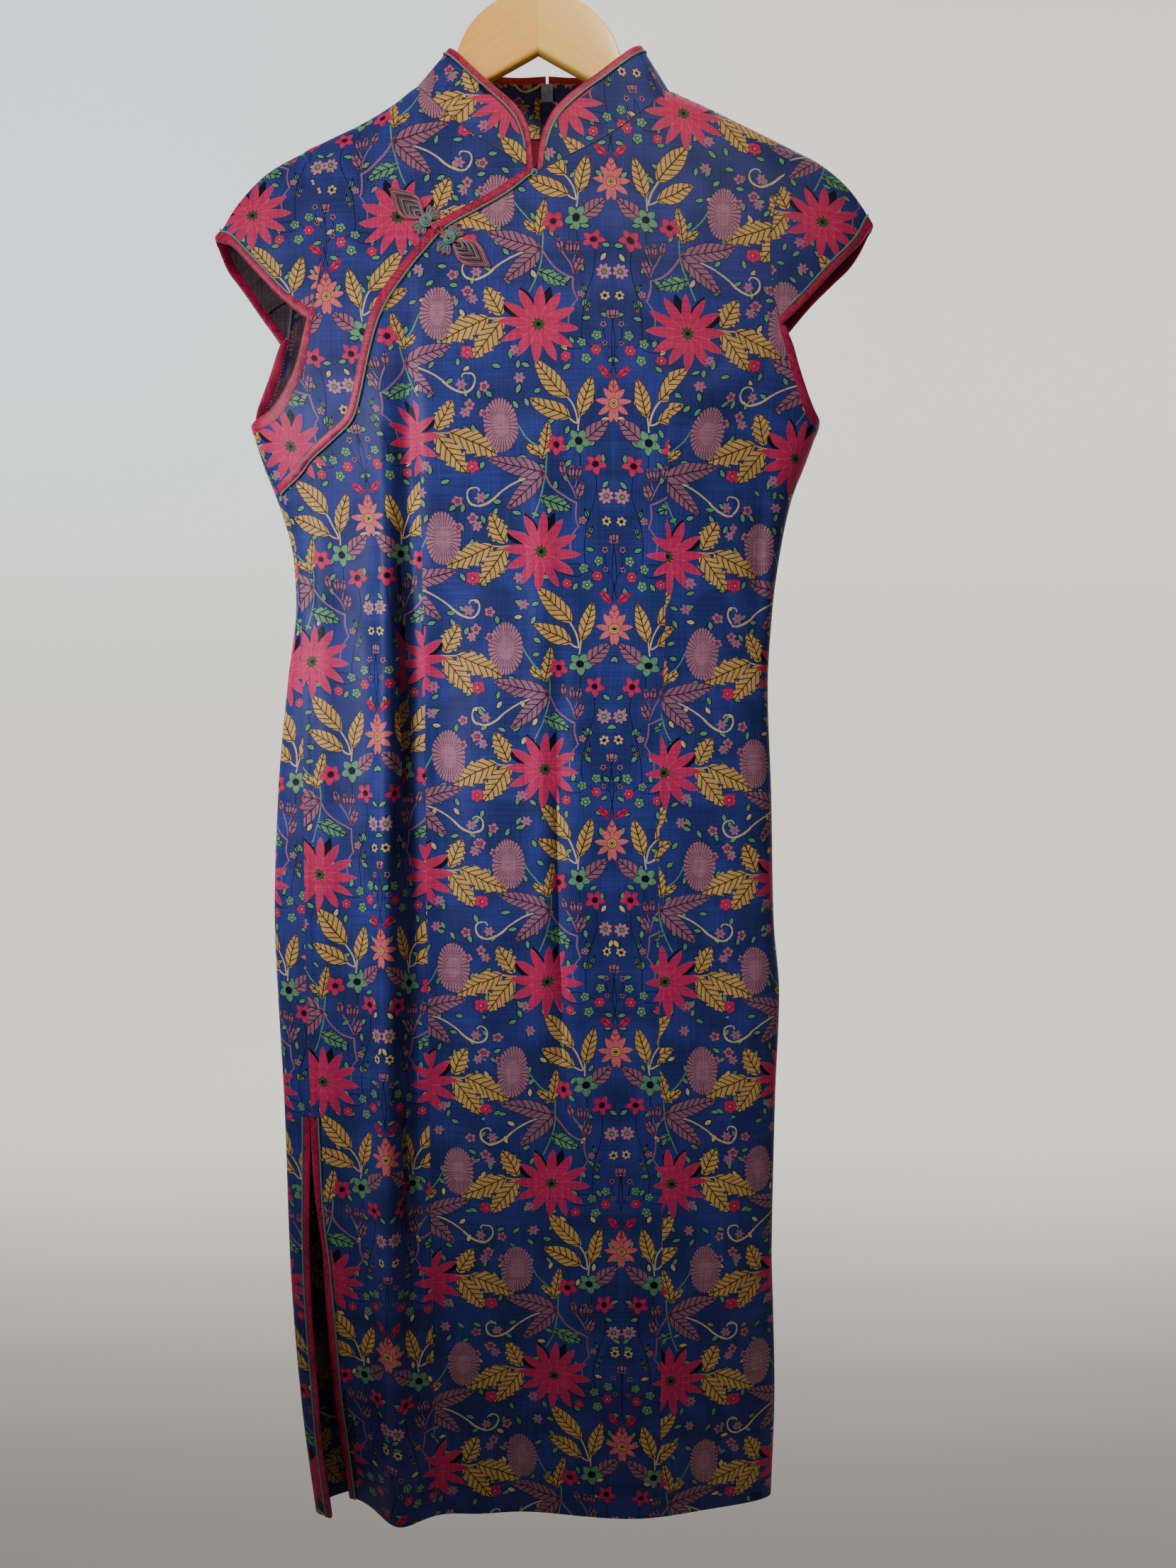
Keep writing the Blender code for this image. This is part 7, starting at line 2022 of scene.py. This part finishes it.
@dataclass
class Trims(Maker):
    """Crimson bindings, twisted pipings beside them, and the rows of stitches."""

    rows: int = 9
    edge_half: float = 0.0012
    flat: float = 0.0012
    clear: float = 0.00015
    fold_clear: float = 0.0001
    pitch: float = 0.0030
    ply_step: float = 0.00055
    stitch: float = 0.0026
    thread: float = 0.00022
    thread_shares: tuple[float, ...] = (0.0, 0.22, 0.5, 0.78, 1.0)
    thread_sizes: tuple[float, ...] = (0.05, 0.8, 1.0, 0.8, 0.05)
    """Thickness of a stitch at shares of its length, over the thread's own radius."""
    root: float = 0.0008
    collar_root: float = 0.0009
    """Half-thickness at the seam of a binding that wraps an edge."""
    smoothing: int = 40
    hem_stitches: float = 0.010
    sewn: dict[str, list[bpy.types.Object]] = field(default_factory=dict)

    def keep(self, piece: bpy.types.Object, host: str) -> None:
        """Notes that a piece is sewn to a panel."""
        self.sewn.setdefault(host, []).append(piece)

    def bind(self, name: str, place: Callable[[Array], Array], under: Array, over: Array,
             host: str) -> None:
        """A satin binding that replaces its CAD node."""
        piece = ribbon(name, place, under, over)
        self.keep(self.give(piece, [self.shop.binding], "binding", (name,)), host)

    def pipe(self, name: str, path: Array, host: str) -> None:
        """A two-ply twisted cord along a path."""
        run = np.linalg.norm(np.diff(path, axis=0), axis=1).sum()
        path = spread(path, max(8, int(run / self.ply_step)))
        for _ in range(self.smoothing):
            path[1:-1] = (path[:-2] + 2.0 * path[1:-1] + path[2:]) / 4.0
        piece = tube_along(name, path, self.cut.piping, 10, False, self.pitch, 2, 0.34)
        self.keep(self.give(piece, [self.shop.piping], "piping", (name,)), host)

    def line(self, name: str, path: Array, host: str) -> None:
        """A dark line along a seam: a thin dark cord that paints the shade of the sunk seam."""
        # Painted shade: a thin dark cord laid in the seam.
        piece = tube_along(name, path, 0.0003, 6, False, 0.002, 2, 0.1)
        self.keep(self.give(piece, [self.shop.navy_thread_and_shade], "print"), host)

    def sew(self, name: str, path: Array, host: str, look: bpy.types.Material, slot: str) -> None:
        """A row of stitches: short six-sided threads with sunk ends, one for each step of a path."""
        run = np.linalg.norm(np.diff(path, axis=0), axis=1).sum()
        count = int(run / self.stitch)
        fine = spread(path, count * 4 + 1)
        share = np.array(self.thread_shares)
        start, end = fine[0:-4:4][:count], fine[3::4][:count]
        middle = start[:, None] + (end - start)[:, None] * (0.1 + 0.8 * share[None, :, None])
        along = unit(end - start)[:, None]
        side = unit(np.cross(along, (0.0, -1.0, 0.0)))
        up = np.cross(side, along)
        around = 6
        turn = np.arange(around) * math.pi / 3.0
        size = np.array(self.thread_sizes) * self.thread
        way = np.cos(turn)[:, None] * side[:, :, None] + np.sin(turn)[:, None] * up[:, :, None]
        points = (middle[:, :, None] + size[None, :, None, None] * way).reshape(-1, 3)
        face, each = quads(len(share), around, 0, True), len(share) * around
        faces = (face[None] + each * np.arange(count)[:, None, None]).reshape(-1, 4)
        uv = np.stack(np.meshgrid(share * self.stitch, turn / 6.2832, indexing="ij"), -1)
        uv = np.tile(uv.reshape(-1, 2), (count, 1))
        piece = make_mesh(name, points, faces, uv, 2e-6, ROUND)
        self.keep(self.give(piece, [look], slot), host)

    def build(self) -> None:
        """Bindings and cords of the collar, sleeves, armholes, placket and slits, then stitches."""
        for side, name in SIDES:
            self.collar(side, name)
            self.sleeve(side, name)
            self.armhole(side, name)
        self.placket()
        self.slits()
        self.hems()

    def collar(self, side: int, name: str) -> None:
        """Binding over the collar's top edge and the cord below it."""
        cut = self.cut
        points, normal = cut.collar_band(side, cut.binding + 0.0003, 0.0, self.rows - 1)
        half = rounded(self.rows, self.edge_half, self.collar_root)
        self.bind(f"collar_binding_{name}", lambda out: points + out[..., None] * normal, -half, half,
                  f"collar_{name}")
        # Painted shade: a dark cord along the neck seam.
        seam, out = cut.collar_band(side, None, cut.binding, 4)
        self.line(f"neck_seam_{name}", seam[0] + COLLAR_HALF * out[0], f"collar_{name}")
        line, out = cut.binding + cut.piping + 2 * cut.seam, COLLAR_HALF + self.fold_clear + cut.piping
        path, way = cut.collar_band(side, line, line - 1e-4, 1)
        self.pipe(f"collar_piping_{name}", (path + way * out)[0][6:], f"collar_{name}")

    def sleeve(self, side: int, name: str) -> None:
        """Binding over the sleeve's edge and the cord above it."""
        cut = self.cut
        seam, hem, finished = cut.sleeve_lines(side)
        band = lengthened(finer(between(hem, finished, np.linspace(-0.14, 1.0, self.rows)), 1, 5), 0.7)
        half = rounded(self.rows, self.edge_half, self.root)
        self.bind(f"sleeve_binding_{name}", lambda out: cut.sleeve_at(band, out), -half, half,
                  f"sleeve_{name}")
        # Painted shade: a dark cord along the sleeve seam.
        sunk = cut.sleeve_at(finer(np.stack((seam, seam)), 1, 5)[0], cut.cloth / 2)
        self.line(f"sleeve_seam_{name}", sunk, f"sleeve_{name}")
        inner = finer(between(seam, hem, cut.sleeve_shares), 1, 5)
        out = cut.cloth / 2 + self.fold_clear + cut.piping
        low, high = cut.sleeve_at(inner[-1], out), cut.sleeve_at(inner[-2], out)
        path = low + unit(high - low) * (cut.piping + 2 * cut.seam)
        self.pipe(f"sleeve_piping_{name}", path[4:-4], f"sleeve_{name}")

    def armhole(self, side: int, name: str) -> None:
        """Binding round the lower armhole."""
        cut = self.cut
        front, back = cut.hole(side, 0), cut.hole(side, side)
        inner = np.concatenate((front[0][::-1], back[0][1:]))
        outer = np.concatenate((front[1][::-1], back[1][1:]))
        band = lengthened(finer(between(inner, outer, np.linspace(-0.24, 1.0, self.rows)), 1, 8), 1.5)
        half = rounded(self.rows, self.edge_half, self.root)
        self.bind(f"armhole_binding_{name}", lambda out: cut.tube.at(band[..., 0], band[..., 1], out),
                  -half, half, f"back_{name}")
        row = cut.tube.at(band[0, :, 0], band[0, :, 1], -0.00105)
        away = unit(row - cut.tube.at(band[2, :, 0], band[2, :, 1]))
        self.sew(f"armhole_stitches_{name}", row + 0.0006 * away, f"back_{name}", self.shop.thread,
                 "binding")

    def laid(self, name: str, edge: Callable[[float], Callable[[Array], Array]], start: float,
             host: str) -> None:
        """A flat binding that lies on a panel, crowned between its folded edges."""
        base = self.cut.cloth / 2 + self.clear
        share = np.linspace(0.0, 1.0, self.rows)
        crown = base + 0.0003 + (self.flat - 0.0003) * np.sin(math.pi * (0.06 + 0.88 * share)) ** 0.55

        def place(out: Array) -> Array:
            """Rows from the band's start to its end, each at its own distance out."""
            return np.stack([edge(start + (1.0 - start) * at)(value) for at, value in zip(share, out)])

        self.bind(name, place, np.full(self.rows, base), crown, host)

    def placket(self) -> None:
        """Binding along the curved opening, with its cord on the outer side."""
        cut = self.cut
        grid = finer(cut.underlap()[:2], 1, 6)

        def edge(share: float) -> Callable[[Array], Array]:
            """A line across the underlap's first row."""
            def line(out: Array) -> Array:
                """The line at a distance out."""
                low = cut.tube.at(grid[0, :, 0], grid[0, :, 1], out)
                high = cut.tube.at(grid[1, :, 0], grid[1, :, 1], out)
                return low * (1.0 - share) + high * share
            return line

        start = (cut.piping + cut.seam) / (cut.piping + cut.seam + cut.binding)
        self.laid("placket_binding", edge, start, "front_underlap")
        out = cut.cloth / 2 + self.clear + cut.piping
        self.pipe("placket_piping", edge(0.0)(out), "front_underlap")
        foot = cut.tube.at(*cut.tube.on_side(((0.0008, -0.2098),))[0], 0.0022)
        turn = np.linspace(0.0, 2.0 * math.pi, 28, endpoint=False)[:, None]
        ring = foot + 0.0017 * (np.cos(turn) * (1.0, 0.0, 0.0) + np.sin(turn) * (0.0, 0.18, 1.25))
        piece = tube_along("neck_loop", ring, 0.00062, 8, True)
        self.keep(self.give(piece, [self.shop.piping], "piping"), "front_underlap")

    def slits(self) -> None:
        """Bindings and cords beside both slits, front and back."""
        cut = self.cut
        front = cut.front()
        for side, name in SIDES:
            last = (-1, -2, -3)
            for part, grid, columns, curl in (("front", front, (0, 1, 2) if side < 0 else last, True),
                                              ("back", cut.back(side), last, False)):
                lines = [finer(grid[:cut.slit_rows + 1, place], 10) for place in columns]

                def edge(share: float, lines: list[Array] = lines,
                         curl: bool = curl) -> Callable[[Array], Array]:
                    """A line beside the slit."""
                    def line(out: Array) -> Array:
                        """The line at a distance out."""
                        low, high = (cut.tube.at(at[:, 0], at[:, 1], out, curl) for at in lines[:2])
                        return low * (1.0 - share) + high * share
                    return line

                host = "front_main" if part == "front" else f"back_{name}"
                self.laid(f"slit_binding_{part}_{name}", edge, 0.0, host)
                out = cut.cloth / 2 + self.clear + cut.piping
                low = edge(1.0)(out)
                high = cut.tube.at(lines[2][:, 0], lines[2][:, 1], out, curl)
                path = low + unit(high - low) * (cut.piping + cut.seam)
                self.pipe(f"slit_piping_{part}_{name}", path, host)

    def hems(self) -> None:
        """Stitches ten millimetres above the hem of the front and both backs."""
        cut = self.cut
        for name, grid, curl in (("front_main", cut.front(), True), ("back_left", cut.back(-1), False),
                                 ("back_right", cut.back(1), False)):
            low, high = grid[0], grid[1]
            row = low + (high - low) * (self.hem_stitches / (high[:, 1:] - low[:, 1:]))
            row = finer(row[1:-1], 8)
            path = cut.tube.at(row[:, 0], row[:, 1], cut.cloth / 2 + 0.00006, curl)
            self.sew(f"hem_stitches_{name}", path, name, self.shop.navy_thread_and_shade, "print")


@dataclass(frozen=True)
class FrogHalf:
    """One side of the frog: its coil's place and the way its leaf points."""

    name: str
    x: float
    z: float
    to_x: float
    to_z: float
    clear: float

    @property
    def centre(self) -> tuple[float, float]:
        """Middle of the coil."""
        return self.x, self.z

    @property
    def axis(self) -> tuple[float, float]:
        """The way from the coil to the leaf's tip."""
        return self.to_x - self.x, self.to_z - self.z


@dataclass
class Frog(Maker):
    """Looped frog fastening: coils, fans of loops, leaves of nested cords, and the knot."""

    halves: tuple[FrogHalf, ...] = (FrogHalf("upper", -0.0738, -0.2423, -0.0986, -0.2206, 0.0045),
                                    FrogHalf("lower", -0.0582, -0.2552, -0.0318, -0.2732, 0.0042))
    knot: tuple[float, float] = (-0.0662, -0.2474)
    coil: float = 0.0046
    coil_start: float = 0.0010
    coil_turns: float = 2.55
    loop: float = 0.0112
    loop_angles: tuple[int, ...] = (-118, -98, -78, -58, 58, 78, 98, 118)
    shortest_loop: float = 0.0018
    leaf_start: float = 0.0030
    leaf_length: float = 0.0315
    leaf_half: float = 0.0082
    leaf_sizes: tuple[float, ...] = (1.0, 0.92, 0.85, 0.72, 0.65, 0.52, 0.45, 0.31, 0.25, 0.13)
    teal_rows: tuple[int, ...] = (1, 4, 6, 8)
    """Sizes of a leaf's nested cords, and which of them are teal."""
    leaf_cords: tuple[float, float] = (0.00062, 0.00046)
    coil_cord: float = 0.00075
    loop_cord: float = 0.00045
    knot_cord: float = 0.00092
    link_cord: float = 0.0007
    knot_size: float = 0.00085
    """Radii of the cords, and the size of the knot's curve."""
    bead: float = 0.0013
    heart: float = 0.0023
    bead_rise: float = 0.0022
    """Radii of a coil's bead and of the knot's heart, and the height of both."""
    knot_lift: float = 0.0019
    bead_lift: float = 0.0018
    coil_lift: float = 0.0022
    coil_crown: float = 0.0009
    loop_lift: float = 0.0006
    loop_step: float = 0.0003
    loop_under: float = 0.0010
    leaf_lift: float = 0.0008
    backing_lift: float = 0.0003
    """Heights above the cloth, and how far the loops start in under the coil."""

    def build(self) -> None:
        """Both halves, then the knot between them."""
        base = self.cut.cloth / 2 + 0.0001
        for half in self.halves:
            self.half(half, base)
        turn = np.linspace(0.0, 2.0 * math.pi, 120, endpoint=False)
        lift = self.knot_lift + base + 2.0 * self.cut.piping
        along = self.knot_size * (np.sin(turn) + 2.0 * np.sin(2.0 * turn))
        across = self.knot_size * (np.cos(turn) - 2.0 * np.cos(2.0 * turn))
        path = self.on_front(self.knot, (0.7, -0.72), along, across, lift - 0.0007 * np.sin(3.0 * turn))
        self.cordwork("frog_knot", path, self.knot_cord, self.shop.frog_red, "binding", ("frog_knot",),
                      True)
        bead = self.dome("frog_knot_heart", self.knot, self.heart, lift - 0.0006, self.bead_rise)
        self.give(bead, [self.shop.binding], "binding")
        share = np.linspace(0.0, 1.0, 40)
        for number, side in enumerate((-1.0, 1.0)):
            low, high = self.halves[1], self.halves[0]
            x = low.x + (high.x - low.x) * share
            z = low.z + (high.z - low.z) * share
            flat = np.stack((x, z), 1) + side * 0.0011 * np.sin(math.pi * share)[:, None] * (0.64, 0.77)
            place = self.cut.tube.on_side(flat)
            out = base + 0.0009 + 0.0022 * np.sin(math.pi * share) ** 0.5
            path = self.cut.tube.at(place[:, 0], place[:, 1], out)
            self.cordwork(f"frog_link_{number}", path, self.link_cord, self.shop.frog_red, "binding")

    def cordwork(self, name: str, path: Array, radius: float, look: bpy.types.Material, slot: str,
                 replaces: Sequence[str] = (), closed: bool = False) -> None:
        """A twisted cord of the frog."""
        piece = tube_along(name, path, radius, 8, closed, 0.0018, 2, 0.22)
        self.give(piece, [look], slot, replaces)

    def dome(self, name: str, centre: Sequence[float], reach: float, base: float,
             rise: float) -> bpy.types.Object:
        """A low round form whose height is a quarter circle of its radius."""
        turn = np.linspace(0.0, 2.0 * math.pi, 20, endpoint=False)[None, :]
        share = np.array((1.0, 0.98, 0.9, 0.74, 0.5, 0.24, 0.05))[:, None]
        out = base + rise * np.sqrt(1.0 - share ** 2) + 0.0 * turn
        rings = self.on_front(centre, (1.0, 0.0), reach * share * np.cos(turn),
                              reach * share * np.sin(turn), out)
        uv = np.stack(np.broadcast_arrays(reach * share, reach * turn), -1)
        return loft_rings(name, rings, uv)

    def half(self, half: FrogHalf, base: float) -> None:
        """Coil, bead, fans and leaf of one side."""
        self.coiled(half, base)
        self.fan(half, base)
        self.leaf(half, base)

    def coiled(self, half: FrogHalf, base: float) -> None:
        """A flat spiral of cord round a bead."""
        turn = np.linspace(0.0, self.coil_turns * 2.0 * math.pi, 130)
        radius = self.coil_start + (self.coil - self.coil_start) * turn / turn[-1]
        path = self.on_front(half.centre, half.axis, radius * np.cos(turn), radius * np.sin(turn),
                             base + self.coil_lift + self.coil_crown * (1 - turn / turn[-1]))
        self.cordwork(f"frog_coil_{half.name}", path, self.coil_cord, self.shop.frog_cord, "piping",
                      (f"frog_coil_{half.name}",))
        bead = self.dome(f"frog_bead_{half.name}", half.centre, self.bead, base + self.bead_lift,
                         self.bead_rise)
        self.give(bead, [self.shop.binding], "binding")

    def fan(self, half: FrogHalf, base: float) -> None:
        """Loops round the coil, each an outer and an inner drop that widens outward."""
        around = np.linspace(0.0, 2.0 * math.pi, 36, endpoint=False)
        for number, degrees in enumerate(self.loop_angles):
            way = math.radians(degrees)
            far = min(self.loop, half.clear / max(-math.cos(way), 1e-3))
            near = self.coil - self.loop_under
            if far - near < self.shortest_loop:
                continue
            length = 0.5 * (far - near)
            run = near + length * (1.0 - np.cos(around))
            side = np.sin(around) * (0.45 + 0.55 * (1.0 - np.cos(around)) / 2.0)
            for row, (wide, share, look) in enumerate(((0.0017, 1.0, self.shop.frog_red),
                                                       (0.0009, 0.86, self.shop.frog_cord))):
                reach, width = near + share * (run - near), wide * side
                along = reach * math.cos(way) - width * math.sin(way)
                across = reach * math.sin(way) + width * math.cos(way)
                out = base + self.loop_lift + self.loop_step * row
                path = self.on_front(half.centre, half.axis, along, across, out)
                self.cordwork(f"frog_loop_{half.name}_{number}_{row}", path, self.loop_cord, look,
                              "piping" if row else "binding", (), True)

    def leaf(self, half: FrogHalf, base: float) -> None:
        """Nested cords in the outline of a leaf, over a backing made dark navy as painted shade in the
        gaps between the cords.
        """
        around = np.linspace(0.0, 2.0 * math.pi, 120, endpoint=False)
        share = 0.5 * (1.0 - np.cos(around))
        swell = np.sin(math.pi * share ** 0.86) ** 1.3
        for number, size in enumerate(self.leaf_sizes):
            run = (self.leaf_start + (1.0 - size) * self.leaf_length * 0.04
                   + self.leaf_length * size * share)
            side = np.sign(np.sin(around)) * (self.leaf_half * size * swell + 0.0003)
            rise = base + self.leaf_lift + self.leaf_lift * (1.0 - size) * np.sin(math.pi * share)
            look = self.shop.frog_cord if number in self.teal_rows else self.shop.frog_red
            path = self.on_front(half.centre, half.axis, run, side, rise)
            self.cordwork(f"frog_leaf_{half.name}_{number}", path, self.leaf_cords[number > 0], look,
                          "binding", () if number else (f"frog_leaf_{half.name}",), True)
        # Painted shade: a dark backing under the cords, so the gaps between them read as shade.
        size = np.array((1.0, 0.5, 0.02))[:, None]
        run = self.leaf_start + self.leaf_length * (0.45 + size * (share - 0.45))
        side = np.sign(np.sin(around)) * self.leaf_half * size * swell
        rings = self.on_front(half.centre, half.axis, run, side, base + self.backing_lift)
        backing = loft_rings(f"frog_backing_{half.name}", rings, np.stack((run, side), -1))
        self.give(backing, [self.shop.navy_thread_and_shade], "print")


@dataclass
class Zip(Maker):
    """Coil of the zip on its tape; the tape, the slider and its pull are the CAD's own."""

    top: float = -0.1372
    foot: float = -0.596
    half: float = 0.0027
    depth: float = 0.0010
    pitch: float = 0.0013
    gap: float = 0.0009
    wire: float = 0.00034
    tape: float = 0.0006
    coil: float = 0.0013
    """Half-thickness of the tape, and how far the coil's middle lies behind it."""
    collar_foot: float = -0.1580
    back_top: float = -0.172
    """Heights between which the coil passes from the collar to the back."""
    steps: int = 10

    def build(self) -> None:
        """An oval helix along the middle of the tape, and finishes for the CAD nodes."""
        cut = self.cut
        base, top = cut.collar_lines(-1)
        heights = np.linspace(self.top, self.collar_foot, 8)
        share = ((heights - base[-1, 2]) / (top[-1, 2] - base[-1, 2]))[:, None]
        behind = -COLLAR_HALF - self.tape - self.coil
        upper = base[-1] + (top[-1] - base[-1]) * share + (self.gap, behind, 0.0)
        upper[:, 2] = heights
        low = cut.middle_back(np.linspace(self.back_top, self.foot, 40), 1, 0.0)
        lower = cut.tube.at(low[:, 0], low[:, 1], -(cut.cloth / 2 + self.tape + self.coil))
        path = np.concatenate((upper, lower))
        turns = int((self.top - self.foot) / self.pitch)
        path = spread(path, turns * self.steps)
        angle = np.arange(len(path)) * (2.0 * math.pi / self.steps)
        helix = path + np.stack((self.half * np.cos(angle), self.depth * np.sin(angle), 0.0 * angle), 1)
        piece = tube_along("zip_coil", helix, self.wire, 5)
        self.give(piece, [self.shop.navy_thread_and_shade], "tape")
        for node, look in (("zip_tape", self.shop.tape), ("zip_slider", self.shop.enamel),
                           ("zip_pull", self.shop.enamel)):
            paint(node, look)


def paint(node: str, look: bpy.types.Material) -> None:
    """Gives a CAD node that stays a better finish."""
    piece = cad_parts[node]
    if not piece.data.materials:
        piece.data.materials.append(look)
    for slot in piece.material_slots:
        slot.material = look


@dataclass
class Hanger(Maker):
    """Two wooden halves lofted through rounded sections, and the wire hook."""

    humps: Table = (
        (0.0000, -0.0767, -0.1195), (0.0120, -0.0779, -0.1260), (0.0240, -0.0817, -0.1323),
        (0.0340, -0.0873, -0.1376), (0.0420, -0.0939, -0.1418), (0.0480, -0.1007, -0.1449),
        (0.0530, -0.1086, -0.1475), (0.0570, -0.1180, -0.1495), (0.0610, -0.1300, -0.1516),
        (0.0650, -0.1390, -0.1536), (0.0710, -0.1450, -0.1568), (0.0800, -0.1495, -0.1620))
    """Distance from the middle, top and foot of the wooden hump."""
    middle: float = 0.0030
    drop: float = 0.0048
    arm: float = 0.0150
    reach: float = 0.1700
    tip: float = 0.004
    corner: float = 0.0038
    half: float = 0.0052
    wire: float = 0.0017
    bend: float = 0.0237

    def sections(self, side: int) -> Array:
        """Rounded upright sections from the middle out, thin at the tip."""
        rows = np.array(self.humps)
        tip = 1.0 - np.sin(np.linspace(0.15, 1.0, 8) * math.pi / 2)
        along = np.linspace(0.083, self.reach - self.tip, 30)
        away = np.concatenate((np.linspace(0.0, 0.08, 41), along, self.reach - self.tip * tip))
        x = self.middle + side * np.maximum(away, self.cut.seam / 2)
        arm_top = self.cut.tube.ridge(x) - self.drop - 0.003 * smooth((away - 0.11) / 0.05)
        mix = smooth((away - 0.060) / 0.020)
        top = through(rows[:, 0], rows[:, 1], away) * (1 - mix) + arm_top * mix
        low = through(rows[:, 0], rows[:, 2], away) * (1 - mix) + (arm_top - self.arm) * mix
        tuck = np.maximum(0.0, away - self.reach + self.tip) / self.tip
        narrow = 0.5 * (1.0 - np.sqrt(np.maximum(0.0, 1.0 - tuck * tuck * 0.75))) * self.arm
        top, low = top - narrow, low + narrow
        corner = np.minimum(self.corner, 0.5 * (top - low) - 0.0004)[:, None]
        quarters = [np.linspace(start, start + 90.0, 9) for start in (0, 90, 180, 270)]
        turn = np.radians(np.concatenate(quarters))
        side_y = np.repeat((1.0, -1.0, -1.0, 1.0), 9)
        side_z = np.repeat((1.0, 1.0, -1.0, -1.0), 9)
        y = side_y * (self.half - corner) + corner * np.cos(turn)
        z = np.where(side_z > 0, top[:, None] - corner, low[:, None] + corner) + corner * np.sin(turn)
        return np.stack((x[:, None] + 0.0 * y, y, z), -1)

    def build(self) -> None:
        """Both halves and the hook: an arc and a stem as one round wire."""
        for (side, name), look in zip(SIDES, (self.shop.wood_left, self.shop.wood_right)):
            piece = loft_rings(f"hanger_{name}", self.sections(side))
            self.give(piece, [look], "wood", (node_of(piece),))
        turns = np.radians(np.linspace(208.0, -48.0, 60))
        arc = np.stack((self.bend * np.cos(turns), 0.0 * turns,
                        self.wire - self.bend + self.bend * np.sin(turns)), 1)
        stem = ((0.0090, 0.0, -0.0463), (0.0047, 0.0, -0.0520), (0.0033, 0.0, -0.0590),
                (0.0030, 0.0, -0.0670), (0.0030, 0.0, -0.0764))
        path = spread(np.concatenate((arc, stem)), 150)
        piece = tube_along("hanger_hook", path, self.wire, 20)
        self.give(piece, [self.shop.chrome], "steel", (node_of(piece),))


@dataclass(frozen=True)
class Lamp:
    """A soft rectangular lamp."""

    name: str
    at: tuple[float, float, float]
    toward: tuple[float, float, float]
    size: float
    watts: float
    colour: str
    spread: float = 180.0


@dataclass
class Studio:
    """Pale sweep, soft lamps and the camera."""

    floor_z: float = -1.62
    wall_y: float = 7.0
    bend: float = 2.0
    lens: float = 27.05
    camera: tuple[float, float, float] = (0.038, -0.874, -0.560)
    camera_pitch: float = 85.0
    room_light: float = 0.20
    lamps: tuple[Lamp, ...] = (
        Lamp("key", (-1.1, -1.0, -0.16), (0.0, 0.0, -0.55), 0.45, 2.0, "f6f6ff", 35.0),
        Lamp("top", (0.4, -1.1, 0.75), (0.0, 0.0, -0.04), 0.4, 0.62, "fff4e6", 20.0),
        Lamp("fill", (2.3, -2.2, 0.4), (0.0, 0.0, -0.5), 2.0, 5.0, "ffe9d6"),
        Lamp("crown", (0.2, 0.8, 1.6), (0.0, 0.0, -0.4), 1.6, 22.0, "ffffff"))

    def build(self) -> None:
        """Makes the sweep: level floor, a round turn and an upright wall far behind."""
        run = np.linspace(0.0, 1.0, 25)
        bend = self.bend
        floor_y = np.linspace(-9.0, self.wall_y - bend, 8)
        turn = run * math.pi / 2
        y = np.concatenate((floor_y, self.wall_y - bend + bend * np.sin(turn), np.full(4, self.wall_y)))
        z = np.concatenate((np.zeros(8), bend - bend * np.cos(turn), (3.0, 4.0, 5.0, 6.0)))
        z += self.floor_z
        x = np.linspace(-11.0, 11.0, 12)
        points = np.stack(np.broadcast_arrays(x[None, :], y[:, None], z[:, None]), -1)
        sweep = make_mesh("floor_sweep", points.reshape(-1, 3), quads(len(y), len(x)), sharp=ROUND)
        sweep.data.flip_normals()
        # The plaster paints light, shade and an emitted light onto the sweep.
        plaster = Plaster("pale plaster with painted light", "d6e2e4", "dcd6ce", "cfcac1", 1.42)
        sweep.data.materials.append(plaster.material())
        for lamp in self.lamps:
            data = bpy.data.lights.new(lamp.name, "AREA")
            data.size, data.energy, data.color = lamp.size, lamp.watts, srgb(lamp.colour)[:3]
            data.spread = math.radians(lamp.spread)
            piece = bpy.data.objects.new(lamp.name, data)
            way = np.array(lamp.toward) - np.array(lamp.at)
            piece.location = lamp.at
            piece.rotation_euler = (math.acos(-way[2] / np.linalg.norm(way)), 0.0,
                                    math.atan2(-way[0], way[1]))
            bpy.context.scene.collection.objects.link(piece)
        world = bpy.data.worlds.new("pale room")
        bpy.context.scene.world = world
        world.use_nodes = True
        shade = world.node_tree.nodes["Background"]
        shade.inputs["Color"].default_value = srgb("e8e9ec")
        shade.inputs["Strength"].default_value = self.room_light
        data = bpy.data.cameras.new("camera")
        data.lens, data.sensor_width = self.lens, 36.0
        camera = bpy.data.objects.new("camera", data)
        camera.location = self.camera
        camera.rotation_euler = (math.radians(self.camera_pitch), 0.0, 0.0)
        bpy.context.scene.collection.objects.link(camera)
        bpy.context.scene.camera = camera


def main() -> None:
    """Builds the dress, its trims, the frog, the zip, the hanger and the studio."""
    logging.basicConfig(level=logging.INFO, format="%(message)s")
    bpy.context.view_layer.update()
    cut, shop = Cut(), Wardrobe()
    panels, trims = Panels(cut, shop), Trims(cut, shop)
    made = panels.build()
    Linings(cut, shop).build()
    trims.build()
    panels.declare(made, trims.sewn)
    Frog(cut, shop).build()
    Zip(cut, shop).build()
    Hanger(cut, shop).build()
    Studio().build()


if __name__ == "__main__":
    main()
